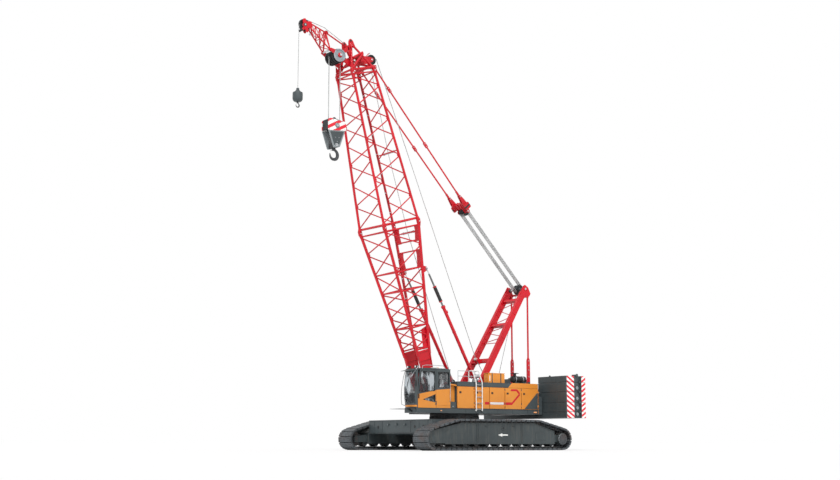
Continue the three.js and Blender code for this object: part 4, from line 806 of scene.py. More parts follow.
# boom head: legs, peak, cheeks, pendant lugs, spreaders and the guide sheave
headFacts = {"peakL": 18.12, "peakH": -0.10, "peakHalf": 0.30, "sheaveL": 17.46, "sheaveH": -1.03,
             "sheaveRadius": 0.35, "cheekHalf": 0.40, "guideL": 17.146, "guideH": 1.104, "pendantL": 16.66,
             "pendantH": 0.79, "pendantHalf": 0.553, "jibRoot": (-1.428, 17.80), "jibPeak": (-1.24, 18.72),
             "jibTip": (-2.39, 19.18), "jibSheave": 0.30}
h = headFacts
base = f["head"]
hw, hd = f["headHalf"]
legLines = []
for side in (-1, 1):
    peak = (side * h["peakHalf"], h["peakH"], h["peakL"] - 0.12)
    legLines += [((side * hw, -hd, base + 0.10), peak), ((side * hw, hd, base + 0.10), peak),
                 ((side * hw, -hd, base + 0.15), (side * hw, hd, base + 0.15)),
                 ((side * 0.545, -0.35, 17.26), (side * 0.50, 0.33, 17.48)),
                 ((side * hw, -hd, base + 0.15), (side * 0.515, 0.31, 17.42)),
                 ((side * hw, -hd, base + 0.15), (side * 0.43, -0.46, 16.95))]
legLines += [((-hw, -hd, base + 0.15), (hw, -hd, base + 0.15)), ((-0.56, -0.46, 16.95), (0.56, -0.46, 16.95)),
             ((-0.50, -0.25, 17.80), (0.50, -0.25, 17.80)), ((-0.60, 0.30, 16.99), (0.60, 0.30, 16.99)),
             ((-0.56, 0.26, 17.35), (0.56, 0.26, 17.35)), ((-hw, hd, base + 0.15), (0, 0.30, 16.99)),
             ((hw, hd, base + 0.15), (0, 0.30, 16.99)), ((-0.5, 0.26, 17.35), (0, 0.30, 16.99)),
             ((0.5, 0.26, 17.35), (0, 0.30, 16.99))]
bars("boom_head_legs", legLines, 0.054, "redPaint", "boom", 16, boomAt, ("boom_head",))
head = Shape(boomAt)
for side in (-1, 1):
    for outline in ([(-1.14, 17.40), (-0.97, 17.25), (-0.82, 17.33), (-0.86, 17.62), (-1.388, 17.88),
                     (-1.46, 17.87), (-1.503, 17.80)],
                    [(-0.97, 17.25), (-0.47, 16.79), (-0.38, 17.04), (-0.82, 17.42)],
                    [(-0.86, 17.45), (-0.86, 17.62), (-0.42, 17.90), (-0.34, 17.70)],
                    [(-0.47, 16.79), (-0.30, 17.30), (-0.18, 17.86), (-0.42, 17.90), (-0.44, 17.40),
                     (-0.52, 16.92)]):
        head.prism(outline, "x", side * 0.38, side * 0.42, "redPaint")
    head.wheel((side * 0.42, h["sheaveH"], h["sheaveL"]),
               [(-0.02, 0.061), (0.03, 0.061), (0.03, 0.12), (0.0, 0.145), (-0.02, 0.145)], "redPaint",
               sides=32)
    head.prism([(h["peakH"] - 0.20, h["peakL"] - 0.33), (h["peakH"] + 0.20, h["peakL"] - 0.33),
                (h["peakH"] + 0.13, h["peakL"]), (h["peakH"] + 0.06, h["peakL"] + 0.10),
                (h["peakH"], h["peakL"] + 0.125), (h["peakH"] - 0.06, h["peakL"] + 0.10),
                (h["peakH"] - 0.13, h["peakL"])], "x", side * (h["peakHalf"] - 0.03),
               side * (h["peakHalf"] + 0.03), "redPaint")
    head.tube([(side * (h["peakHalf"] - 0.05), h["peakH"], h["peakL"] + 0.02),
               (side * (h["peakHalf"] + 0.05), h["peakH"], h["peakL"] + 0.02)], 0.045, "darkSteel", 20)
    head.tube([(side * (h["peakHalf"] + 0.02), h["peakH"] + 0.02, h["peakL"] - 0.22),
               (side * (h["peakHalf"] + 0.06), h["peakH"] + 0.02, h["peakL"] - 0.22)], 0.03, "steel", 6)
    for x0, x1 in ((hw - 0.040, hw - 0.010), (0.475, 0.515)):
        head.prism([(0.30, base + 0.09), (0.30, base + 0.24), (h["pendantH"] + 0.03, base + 0.24),
                    (h["pendantH"] + 0.07, base + 0.20), (h["pendantH"] + 0.07, base + 0.11),
                    (h["pendantH"] + 0.04, base + 0.09)], "x", side * x0, side * x1, "redPaint")
    head.tube([(side * 0.46, h["pendantH"], h["pendantL"]), (side * 0.70, h["pendantH"], h["pendantL"])],
              0.026, "steel", 20)
    head.prism([(0.25, h["guideL"] - 0.25), (h["guideH"] - 0.02, h["guideL"] - 0.12),
                (h["guideH"] + 0.07, h["guideL"] - 0.05), (h["guideH"] + 0.09, h["guideL"] + 0.05),
                (h["guideH"] - 0.06, h["guideL"] + 0.13), (0.20, h["guideL"] + 0.33)], "x", side * 0.075,
               side * 0.105, "redPaint")
    head.prism([(hd - 0.06, base + 0.12), (hd + 0.05, base + 0.20), (0.36, 17.02), (0.26, 16.98)], "x",
               side * (hw - 0.10), side * (hw - 0.11), "redPaint")
    head.prism([(-hd + 0.03, base + 0.06), (-hd + 0.26, base + 0.16), (-hd + 0.04, base + 0.62),
                (-hd - 0.03, base + 0.30)], "x", side * (hw - 0.006), side * (hw + 0.006), "redPaint")
head.block(-hw, hw, 0.30, 0.40, base + 0.10, base + 0.23, "redPaint")
head.tube([(-h["peakHalf"], h["peakH"], h["peakL"] - 0.18), (h["peakHalf"], h["peakH"], h["peakL"] - 0.18)],
          0.06, "redPaint", 20)
sheave(head, 0, h["guideH"], h["guideL"], 0.26, 0.10, "darkSteel", "castSteel")
head.tube([(-0.11, h["guideH"], h["guideL"]), (0.11, h["guideH"], h["guideL"])], 0.045, "steel", 20)
head.tube([(0, h["guideH"] - 0.05, h["guideL"] + 0.33), (0, h["guideH"] - 0.42, h["guideL"] + 0.10)], 0.02,
          "redPaint", 10)
head.tube([(-0.10, h["guideH"] - 0.05, h["guideL"] + 0.33), (0.10, h["guideH"] - 0.05, h["guideL"] + 0.33)],
          0.022, "galvanised", 12)
head.piece("boom_head_plates", "boom", (), 0.004)

# main sheaves with their shaft; the left end one has a pale rim
falls = Shape(boomAt)
for x in (-0.29, -0.097, 0.097, 0.29):
    sheave(falls, x, h["sheaveH"], h["sheaveL"], h["sheaveRadius"], 0.12, "darkSteel", "castSteel")
falls.tube([(-0.59, h["sheaveH"], h["sheaveL"]), (0.59, h["sheaveH"], h["sheaveL"])], 0.0595, "steel", 32)
sheave(falls, h["cheekHalf"] + 0.063, h["sheaveH"], h["sheaveL"], h["sheaveRadius"] - 0.03, 0.074,
       "greySteel", "redPaint", 0.30)
falls.wheel((h["cheekHalf"] + 0.063, h["sheaveH"], h["sheaveL"]),
            [(-0.036, 0.30), (0.0365, 0.30), (0.0365, 0.321), (-0.036, 0.321)], "galvanised", sides=48)
falls.tube([(-0.60, h["sheaveH"], h["sheaveL"]), (-0.50, h["sheaveH"], h["sheaveL"])], 0.085, "redPaint", 24)
falls.tube([(0.505, h["sheaveH"], h["sheaveL"]), (0.535, h["sheaveH"], h["sheaveL"])], [0.12, 0.09],
           "redPaint", 24)
falls.tube([(0.53, h["sheaveH"], h["sheaveL"]), (0.575, h["sheaveH"], h["sheaveL"])], 0.062, "redPaint", 6)
falls.piece("head_sheaves_turned", "main_fall", ("head_sheaves",), 0.003)


# fly jib with two lower chords, one upper, and its tie to the boom's peak
rootH, rootL = h["jibRoot"]
tipH, tipL = h["jibTip"]
peakTop = (0, h["jibPeak"][0], h["jibPeak"][1])
upperTip = (0, tipH + 0.33, tipL + 0.09)


def jibLow(side, t):
    return Vector((side * lerp(0.33, 0.11, t), lerp(rootH, tipH + 0.25, t), lerp(rootL, tipL - 0.18, t)))


def jibHigh(t):
    return Vector(peakTop).lerp(Vector(upperTip), t)


bars("jib_chords",
     [(jibLow(-1, 0), jibLow(-1, 1)), (jibLow(1, 0), jibLow(1, 1)), (peakTop, upperTip),
      (peakTop, (0, -0.289, 17.97)), (jibLow(1, 0), peakTop), (jibLow(-1, 0), peakTop)], 0.036, "redPaint",
     "boom", 14, boomAt, ("jib",))
lace = []
steps = 4
for i in range(steps):
    t0, t1, tm = i / steps, (i + 1) / steps, (i + 0.5) / steps
    for side in (-1, 1):
        lace += [(jibLow(side, t0), jibHigh(tm)), (jibHigh(tm), jibLow(side, t1))]
    lace += [(jibLow(-1, t0), jibLow(1, t0)),
             (jibLow(-1 if i % 2 else 1, t0), jibLow(1 if i % 2 else -1, t1))]
lace.append((jibLow(-1, 1), jibLow(1, 1)))
bars("jib_braces", lace, 0.019, "redPaint", "boom", 8, boomAt)
jib = Shape(boomAt)
for side in (-1, 1):
    jib.prism([(tipH + 0.33, tipL - 0.26), (tipH + 0.40, tipL + 0.10), (tipH + 0.36, tipL + 0.13),
               (tipH + 0.08, tipL + 0.155), (tipH - 0.03, tipL + 0.11), (tipH - 0.08, tipL + 0.02),
               (tipH - 0.02, tipL - 0.09)], "x", side * 0.095, side * 0.122, "redPaint")
    jib.prism([(tipH - 0.09, tipL + 0.25), (tipH - 0.02, tipL + 0.31), (tipH + 0.09, tipL + 0.30),
               (tipH + 0.15, tipL - 0.05), (tipH + 0.11, tipL - 0.33), (tipH + 0.03, tipL - 0.40),
               (tipH - 0.05, tipL - 0.34), (tipH - 0.10, tipL - 0.05)], "x", side * 0.100, side * 0.118,
              "redPaint")
    jib.wheel((side * 0.125, tipH, tipL), [(-0.006, 0.02), (0.012, 0.02), (0.012, 0.075), (-0.006, 0.09)],
              "castSteel", sides=24)
    jib.wheel((side * 0.358, rootH, rootL), [(-0.02, 0.046), (0.02, 0.046), (0.02, 0.085), (-0.02, 0.085)],
              "redPaint", sides=24)
jib.tube([(-0.379, rootH, rootL), (0.379, rootH, rootL)], 0.043, "steel", 20)
jib.tube([(-0.13, tipH - 0.26, tipL - 0.24), (0.13, tipH - 0.26, tipL - 0.24)], 0.055, "darkSteel", 16)
for side in (-1, 1):
    jib.prism([(tipH - 0.06, tipL - 0.06), (tipH + 0.02, tipL - 0.16), (tipH - 0.23, tipL - 0.30),
               (tipH - 0.31, tipL - 0.22)], "x", side * 0.085, side * 0.100, "redPaint")
jib.tube([(-0.11, tipH + 0.34, tipL + 0.04), (0.11, tipH + 0.34, tipL + 0.04)], 0.03, "redPaint", 14)
jib.wheel((0, h["jibPeak"][0], h["jibPeak"][1]), [(-0.07, 0.02), (0.07, 0.02), (0.07, 0.075), (-0.07, 0.075)],
          "redPaint", sides=24)
sheave(jib, 0, h["jibPeak"][0] + 0.02, h["jibPeak"][1] - 0.01, 0.11, 0.06, "darkSteel", "castSteel")
jib.tube([(0.10, tipH + 0.05, tipL - 0.10), (0.10, tipH + 0.20, tipL - 0.36),
          (0.08, tipH + 0.16, tipL - 0.50)], 0.014, "castSteel", 8)
jib.wheel((0.08, tipH + 0.16, tipL - 0.50), [(-0.02, 0.01), (0.02, 0.01), (0.02, 0.05), (-0.02, 0.05)],
          "galvanised", sides=20)
jib.piece("jib_plates", "boom", (), 0.003)
tipWheel = Shape(boomAt)
sheave(tipWheel, 0, tipH, tipL, h["jibSheave"], 0.09, "darkSteel", "redPaint")
tipWheel.tube([(-0.14, tipH, tipL), (0.14, tipH, tipL)], 0.0395, "steel", 24)
tipWheel.piece("jib_sheave_turned", "aux_fall", ("jib_sheave",), 0.003)
print("boom head and jib made")


# mast: two box beams with cross members, inner lacing, head cheeks and sheaves
mastFacts = {"foot": (0.645, 2.549), "top": (4.216, 8.352), "footHalf": 0.741, "topHalf": 0.645,
             "width": 0.19, "depth": 0.29, "sheave": 0.25, "cross": (2.30, 4.52, 6.08),
             "sheaves": (0.01, 0.07, 0.13, 0.19, 0.25)}
m = mastFacts
mastRun = (m["top"][0] - m["foot"][0], m["top"][1] - m["foot"][1])
mastLong = math.hypot(*mastRun)
mastAt = leaning(m["foot"], mastRun)


def mastX(s):
    return lerp(m["footHalf"], m["topHalf"], s / mastLong)


mast = Shape(mastAt)
end = mastLong - 0.26
wall, flange = m["width"] / 2, m["depth"] / 2
for side in (-1, 1):
    low, high = side * m["footHalf"], side * m["topHalf"]
    mast.frustum((low - wall + 0.012, low + wall - 0.012, -flange, flange, 0.90),
                 (high - wall + 0.012, high + wall - 0.012, -flange, flange, end), "redPaint")
    for sy in (-1, 1):
        mast.frustum((low - wall, low + wall, sy * flange - 0.010, sy * flange + 0.010, 0.88),
                     (high - wall, high + wall, sy * flange - 0.010, sy * flange + 0.010, end + 0.01),
                     "redPaint")
    ring = [(0.15 * math.cos(t), 0.15 * math.sin(t)) for t in (math.pi + math.pi * k / 16 for k in range(17))]
    mast.prism(ring + [(flange, 0.92), (-flange, 0.92)], "x", low - wall, low + wall, "redPaint")
    mast.wheel((low, 0, 0),
               [(-wall - 0.001, 0.055), (wall + 0.001, 0.055), (wall + 0.001, 0.10), (-wall - 0.001, 0.10)],
               "steel", sides=32)
    mast.tube([(low - wall - 0.045, 0, 0), (low + wall + 0.045, 0, 0)], 0.052, "steel", 24)
    mast.prism([(-0.17, end - 0.24), (0.17, end - 0.24), (0.40, end + 0.03), (0.43, end + 0.08),
                (0.43, end + 0.23), (0.40, end + 0.26), (0.12, end + 0.43), (-0.13, end + 0.43),
                (-0.17, end + 0.39)], "x", side * (m["topHalf"] + 0.037), side * (m["topHalf"] + 0.062),
               "redPaint")
    mast.prism([(-0.145, end - 0.05), (0.145, end - 0.05), (0.25, end + 0.10), (0.12, end + 0.40),
                (-0.12, end + 0.40)], "x", side * (m["topHalf"] - 0.06), side * (m["topHalf"] - 0.085),
               "redPaint")
    mast.wheel((side * (m["topHalf"] + 0.065), 0, mastLong),
               [(-0.01, 0.057), (0.02, 0.057), (0.02, 0.105), (-0.01, 0.12)], "redPaint", sides=32)
    for s in (1.45, 1.55, 2.9, 3.7, 5.2):
        mast.block(side * mastX(s) - wall * 1.02, side * mastX(s) + wall * 1.02, -flange * 1.03,
                   flange * 1.03, s - 0.008, s + 0.008, "redPaint")
    for s in m["cross"]:
        x = side * (mastX(s) - wall)
        mast.prism([(x, s - 0.22), (x - side * 0.20, s - 0.075), (x - side * 0.20, s + 0.075), (x, s + 0.22)],
                   "y", -0.012, 0.012, "redPaint")
for s in m["cross"]:
    mast.block(-mastX(s) + wall, mastX(s) - wall, -0.09, 0.09, s - 0.055, s + 0.055, "redPaint")
    for face in (-1, 1):
        mast.block(-mastX(s) + wall, mastX(s) - wall, -0.10, 0.10, s + face * 0.065 - 0.008,
                   s + face * 0.065 + 0.008, "redPaint")
reach = m["topHalf"] + 0.04
mast.block(-reach, reach, 0.33, 0.43, end + 0.195, end + 0.26, "redPaint")
mast.piece("mast_beams", "superstructure", ("mast",), 0.004)
lines = []
for a, b in ((3.40, 4.46), (4.58, 6.02)):
    for i in range(3):
        s0, s1 = lerp(a, b, i / 3), lerp(a, b, (i + 1) / 3)
        flip = 1 if i % 2 else -1
        lines.append(((flip * (mastX(s0) - 0.09), 0, s0 + 0.05), (-flip * (mastX(s1) - 0.09), 0, s1 - 0.05)))
lines += [((-mastX(3.40) + 0.09, 0, 3.40), (mastX(3.40) - 0.09, 0, 3.40))]
bars("mast_lacing", lines, 0.020, "redPaint", "superstructure", 10, mastAt)
roller = Shape(mastAt)
x = mastX(1.5)
roller.tube([(-x + 0.06, 0.26, 1.5), (x - 0.06, 0.26, 1.5)], 0.049, "galvanised", 28)
for side in (-1, 1):
    roller.prism([(0.12, 1.43), (0.30, 1.455), (0.315, 1.50), (0.30, 1.545), (0.12, 1.57)], "x",
                 side * (x - 0.04), side * (x - 0.02), "redPaint")
    roller.wheel((side * (x - 0.06), 0.26, 1.5),
                 [(-0.008, 0.03), (0.008, 0.03), (0.008, 0.058), (-0.008, 0.058)], "galvanised", sides=24)
roller.piece("mast_rope_roller", "superstructure", (), 0.002)

# rope guide roller in front of the mast, on a red bracket
guide = Shape(mastAt)
for x0 in (-0.12, 0.12):
    guide.prism([(-0.13, 1.98), (-0.44, 2.08), (-0.47, 2.14), (-0.44, 2.20), (-0.13, 2.30)], "x", x0 - 0.012,
                x0 + 0.012, "redPaint")
guide.tube([(-mastX(2.1) + 0.08, -0.10, 2.14), (mastX(2.1) - 0.08, -0.10, 2.14)], 0.045, "redPaint", 16)
guide.tube([(-0.105, -0.42, 2.14), (0.105, -0.42, 2.14)], 0.055, "whitePaint", 28)
guide.tube([(-0.14, -0.42, 2.14), (0.14, -0.42, 2.14)], 0.02, "steel", 14)
guide.piece("mast_guide_roller", "superstructure", (), 0.002)

# backstay bars: thick link below with its pins, thin tube above, eye in the mast's cheeks
stayFacts = {"y": 4.392, "foot": 3.388, "link": 4.70, "top": 8.10, "eye": 0.034}
stays = Shape()
for side in (-1, 1):
    x = side * m["topHalf"]
    s = stayFacts
    stays.prism([(s["y"] - 0.085, s["foot"] - 0.11), (s["y"] - 0.05, s["foot"] - 0.148),
                 (s["y"] + 0.05, s["foot"] - 0.148), (s["y"] + 0.085, s["foot"] - 0.11),
                 (s["y"] + 0.085, s["link"] - 0.10), (s["y"] + 0.045, s["link"]), (s["y"] - 0.045, s["link"]),
                 (s["y"] - 0.085, s["link"] - 0.10)], "x", x - 0.049, x + 0.049, "redPaint")
    stays.tube([(x, s["y"], s["link"] - 0.04), (x, s["y"], s["top"] - 0.19)], 0.046, "redPaint", 20)
    stays.tube([(x, s["y"], s["link"] - 0.02), (x, s["y"], s["link"] + 0.05)], [0.066, 0.05], "redPaint", 20)
    ring = [(s["y"] + 0.06 * math.cos(t), s["top"] - 0.06 + 0.06 * math.sin(t))
            for t in (math.pi * k / 10 for k in range(11))]
    stays.prism(ring + [(s["y"] - 0.06, s["top"] - 0.21), (s["y"] + 0.06, s["top"] - 0.21)], "x",
                x - s["eye"], x + s["eye"], "redPaint")
    stays.tube([(x - 0.08, s["y"], s["foot"]), (x + 0.08, s["y"], s["foot"])], 0.036, "steel", 20)
    stays.tube([(x - 0.07, s["y"], s["link"] - 0.12), (x + 0.07, s["y"], s["link"] - 0.12)], 0.03,
               "galvanised", 16)
    for z in (3.75, 4.10, 4.35):
        stays.wheel((x + 0.05, s["y"], z), [(-0.002, 0.012), (0.008, 0.012), (0.008, 0.03), (-0.002, 0.03)],
                    "galvanised", sides=16)
stays.piece("backstay_bars", "superstructure", ("backstay_left", "backstay_right"), 0.004)
print("mast made")

# luffing tackle: mast sheaves, bridle with its sheaves, pendants with couplings
pendantEnd = boomAt @ Vector((0, h["pendantH"], h["pendantL"]))
pullRun = (pendantEnd.y - m["top"][0], pendantEnd.z - m["top"][1])
pullLong = math.hypot(*pullRun)
pullAt = leaning(m["top"], pullRun)
bridleFacts = {"at": 5.490, "half": 0.416, "sheave": 0.23, "sheaves": (-0.13, -0.065, 0.0, 0.065, 0.13)}
b = bridleFacts
s = b["at"]
turned = Shape(pullAt)
for x in m["sheaves"]:
    sheave(turned, x, 0, 0, m["sheave"], 0.056, "darkSteel", "castSteel")
turned.tube([(-m["topHalf"] - 0.085, 0, 0), (m["topHalf"] + 0.085, 0, 0)], 0.0545, "steel", 28)
for side in (-1, 1):
    turned.tube([(side * 0.45, 0, 0), (side * 0.56, 0, 0)], 0.09, "castSteel", 24)
turned.piece("mast_sheaves_turned", "luff_sheaves", ("mast_sheaves",), 0.003)

bridle = Shape(pullAt)
for side in (-1, 1):
    x = side * b["half"]
    for face in (-1, 1):
        bridle.prism([(-0.15, s - 0.06), (0.15, s - 0.06), (0.12, s + 0.33), (0.055, s + 0.68),
                      (0.03, s + 0.715), (-0.03, s + 0.715), (-0.055, s + 0.68), (-0.12, s + 0.33)], "x",
                     x + face * 0.048, x + face * 0.074, "redPaint")
    bridle.block(x - 0.05, x + 0.05, -0.12, 0.12, s - 0.05, s + 0.30, "redPaint")
    bridle.prism([(-0.12, s - 0.33), (0.12, s - 0.33), (0.15, s + 0.02), (-0.15, s + 0.02)], "x",
                 side * 0.175, side * 0.20, "redPaint")
    bridle.prism([(-0.16, s - 0.12), (-0.12, s - 0.15), (0.14, s - 0.15), (0.18, s - 0.11), (0.18, s + 0.14),
                  (0.14, s + 0.18), (-0.12, s + 0.18), (-0.16, s + 0.15)], "x", side * (b["half"] + 0.066),
                 side * (b["half"] + 0.148), "redPaint")
    bridle.block(side * (b["half"] + 0.06), side * (b["half"] + 0.150), -0.162, 0.182, s - 0.04, s + 0.05,
                 "darkSteel")
    bridle.tube([(x - 0.10, 0, s + 0.62), (x + 0.10, 0, s + 0.62)], 0.032, "steel", 20)
    bridle.wheel((side * 0.372, 0, s - 0.27), [(-0.01, 0.05), (0.006, 0.05), (0.006, 0.10), (-0.01, 0.11)],
                 "redPaint", sides=28)
bridle.block(-b["half"], b["half"], -0.11, 0.13, s - 0.04, s + 0.23, "redPaint")
for x in (-0.22, 0.0, 0.22):
    bridle.block(x - 0.008, x + 0.008, -0.145, 0.16, s - 0.08, s + 0.25, "redPaint")
for x in b["sheaves"]:
    sheave(bridle, x, 0, s - 0.27, b["sheave"], 0.060, "darkSteel", "castSteel")
bridle.tube([(-0.37, 0, s - 0.27), (0.37, 0, s - 0.27)], 0.0495, "steel", 24)
bridle.tube([(-0.34, 0.20, s - 0.10), (0.34, 0.20, s - 0.10)], 0.022, "redPaint", 12)
bridle.piece("bridle_plates", "bridle_frame", ("bridle",), 0.004)

pendants = Shape(pullAt)
start = s + 0.7203
for side in (-1, 1):
    def at(t):
        return side * lerp(b["half"], h["pendantHalf"], (t - start) / (pullLong - start))
    knots = [lerp(start, pullLong, t) for t in (0.40, 0.83)]
    stops = [start + 0.10] + knots + [pullLong - 0.05]
    for k in range(3):
        a, c = stops[k] + 0.08, stops[k + 1] - 0.08
        pendants.frustum((at(a) - 0.019, at(a) + 0.019, -0.036, 0.036, a),
                         (at(c) - 0.019, at(c) + 0.019, -0.036, 0.036, c), "redPaint")
        for t, grow in ((a, 1), (c, -1)):
            pendants.frustum((at(t) - 0.021, at(t) + 0.021, -0.055, 0.055, t - 0.06),
                             (at(t) - 0.021, at(t) + 0.021, -0.055, 0.055, t + 0.06), "redPaint")
    for k in knots:
        for face in (-1, 1):
            pendants.prism([(-0.065, k - 0.155), (0.065, k - 0.155), (0.075, k - 0.12), (0.075, k + 0.12),
                            (0.065, k + 0.155), (-0.065, k + 0.155), (-0.075, k + 0.12), (-0.075, k - 0.12)],
                           "x", at(k) + face * 0.0215, at(k) + face * 0.030, "redPaint")
        for z in (-0.08, 0.08):
            pendants.tube([(at(k) - 0.040, 0, k + z), (at(k) + 0.040, 0, k + z)], 0.024, "steel", 16)
    for face in (-1, 1):
        pendants.prism([(-0.055, start), (0.055, start), (0.05, start + 0.24), (-0.05, start + 0.24)], "x",
                       at(start) + face * 0.020, at(start) + face * 0.028, "redPaint")
    lug = side * (h["pendantHalf"] - 0.0374)
    pendants.prism([(-0.06, pullLong - 0.11), (0.06, pullLong - 0.11), (0.06, pullLong + 0.02),
                    (0.035, pullLong + 0.058), (-0.035, pullLong + 0.058), (-0.06, pullLong + 0.02)], "x",
                   lug, side * (h["pendantHalf"] + 0.030), "redPaint")
pendants.piece("pendant_links", "bridle_frame", ("pendant_left", "pendant_right"), 0.003)

# backstops: tubes hinged on the frame, rods with buffers and collars
stopEye = boomAt @ Vector((0, stopFacts["eyeH"], stopFacts["eyeL"]))
stopRun = (stopEye.y - stopFacts["foot"][0], stopEye.z - stopFacts["foot"][1])
stopLong = math.hypot(*stopRun)
stopAt = leaning(stopFacts["foot"], stopRun)
tubes, rods = Shape(stopAt), Shape(stopAt)
for side in (-1, 1):
    x = side * stopFacts["half"]
    k = stopFacts
    tubes.wheel((x, 0, 0),
                [(-0.044, 0.04), (0.044, 0.04), (0.044, 0.10), (0.03, 0.104), (-0.03, 0.104), (-0.044, 0.10)],
                "redPaint", sides=32)
    tubes.tube([(x - 0.085, 0, 0), (x + 0.085, 0, 0)], 0.0395, "steel", 20)
    tubes.prism([(-0.07, 0.02), (0.07, 0.02), (0.07, 0.28), (0.05, 0.34), (-0.05, 0.34), (-0.07, 0.28)], "x",
                x - 0.040, x + 0.040, "redPaint")
    tubes.tube([(x, 0, 0.22), (x, 0, 0.30), (x, 0, k["tubeTop"] - 0.02)], [0.06, k["tube"], k["tube"]],
               "redPaint", 28)
    tubes.wheel((x, 0, k["tubeTop"]),
                [(-0.06, 0.060), (0.058, 0.060), (0.058, 0.098), (0.04, 0.108), (-0.04, 0.108),
                 (-0.06, 0.098)], "redPaint", "z", 32)
    for z in (0.55, 1.6, 2.7):
        tubes.wheel((x, 0, z), [(-0.03, 0.078), (0.03, 0.078), (0.03, 0.092), (-0.03, 0.092)], "redPaint",
                    "z", 28)
    tubes.block(x - 0.012, x + 0.012, 0.08, 0.14, 3.7, 3.85, "redPaint")
    # the rods take the darkened steel, which is painted shade
    rods.tube([(x, 0, 1.60), (x, 0, stopLong - 0.30)], k["rod"], "shadedRodSteel", 24)
    rods.tube([(x, 0, k["buffer"][0] + 0.02), (x, 0, k["buffer"][1] - 0.02)], 0.082, "darkSteel", 28)
    for i in range(9):
        rods.wheel((x, 0, lerp(k["buffer"][0] + 0.10, k["buffer"][1] - 0.10, i / 8)),
                   [(-0.02, 0.05), (0.02, 0.05), (0.02, 0.086), (0.0, 0.094), (-0.02, 0.086)], "rubber", "z",
                   24)
    for z in (0.028, 0.853 - 0.025):
        rods.wheel((x, 0, k["buffer"][0] + z),
                   [(-0.025, 0.045), (0.025, 0.045), (0.025, 0.092), (0.015, 0.0985), (-0.015, 0.0985),
                    (-0.025, 0.092)], "redPaint", "z", 28)
    rods.tube([(x, 0, stopLong - 0.30), (x, 0, stopLong - 0.27), (x, 0, stopLong - 0.05)],
              [0.044, 0.027, 0.027], "steel", 20)
    rods.wheel((x, 0, stopLong), [(-0.027, 0.03), (0.027, 0.03), (0.027, 0.057), (-0.027, 0.057)], "steel",
               sides=28)
tubes.piece("backstop_tubes_turned", "backstop_tubes", ("backstop_tube_left", "backstop_tube_right"), 0.003)
rods.piece("backstop_rods_turned", "backstop_rods", ("backstop_rod_left", "backstop_rod_right"), 0.002)
print("tackle and backstops made")


# wire rope along a line; lay coordinates turn round it and run along it
def rope(name, lines, radius, finish, sides=8):
    points, faces, lay = [], [], []
    for line in lines:
        line = [Vector(point) for point in line]
        base, run = len(points), 0.0
        side = (line[1] - line[0]).orthogonal().normalized()
        for i, point in enumerate(line):
            before = line[max(i - 1, 0)]
            after = line[min(i + 1, len(line) - 1)]
            ahead = (after - before).normalized()
            side = (side - ahead * side.dot(ahead)).normalized()
            up = ahead.cross(side)
            run += (point - before).length
            for k in range(sides):
                t = 2 * math.pi * k / sides
                points.append(point + (side * math.cos(t) + up * math.sin(t)) * radius)
                lay.append((k / sides, run))
        for i in range(len(line) - 1):
            for k in range(sides):
                a, c = base + i * sides + k, base + i * sides + (k + 1) % sides
                faces.append((a, c, c + sides, a + sides))
        faces.append([base + k for k in range(sides)][::-1])
        faces.append([base + (len(line) - 1) * sides + k for k in range(sides)])
    made = bpy.data.meshes.new(name)
    made.from_pydata(points, [], faces)
    made.materials.append(paint[finish])
    layer = made.uv_layers.new(name="lay")
    for loop in made.loops:
        layer.data[loop.index].uv = lay[loop.vertex_index]
    made.shade_smooth()
    made.set_sharp_from_angle(angle=math.radians(60))
    piece = bpy.data.objects.new(name, made)
    bpy.context.scene.collection.objects.link(piece)
    return piece


def straight(a, b, steps):
    a, b = Vector(a), Vector(b)
    return [a.lerp(b, i / steps) for i in range(steps + 1)]


def stretched(piece):
    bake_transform(piece)


# luffing rope: parts between the mast sheaves and the bridle sheaves, on both sides of each
ropeFacts = {"luff": 0.015, "hoist": 0.017, "fall": 0.021, "aux": 0.015}
lines = []
for i, (xm, xb) in enumerate(zip(m["sheaves"], b["sheaves"])):
    for face in (-1, 1):
        lines.append([pullAt @ p
                      for p in straight((xm, face * m["sheave"] * 0.93, 0.0), (xb, face * 0.215, s - 0.27),
                                        24)])
luff = rope("luffing_rope", lines, ropeFacts["luff"], "rope")
stretched(luff)

# main falls: two parts down to the block; the aux rope down to its weight
sheaveAt = boomAt @ Vector((0, h["sheaveH"], h["sheaveL"]))
tipAt = boomAt @ Vector((0, tipH, tipL))
blockMid = 16.002 - 0.46
lines = [straight((0, sheaveAt.y + face * 0.325, sheaveAt.z), (0, sheaveAt.y + face * 0.322, blockMid), 16)
         for face in (-1, 1)]
falls = rope("main_falls", lines, ropeFacts["fall"], "rope")
stretched(falls)
auxLine = rope("aux_fall_rope", [straight((0, tipAt.y - 0.285, tipAt.z), (0, tipAt.y - 0.300, 17.10), 16)],
               ropeFacts["aux"], "rope")
stretched(auxLine)

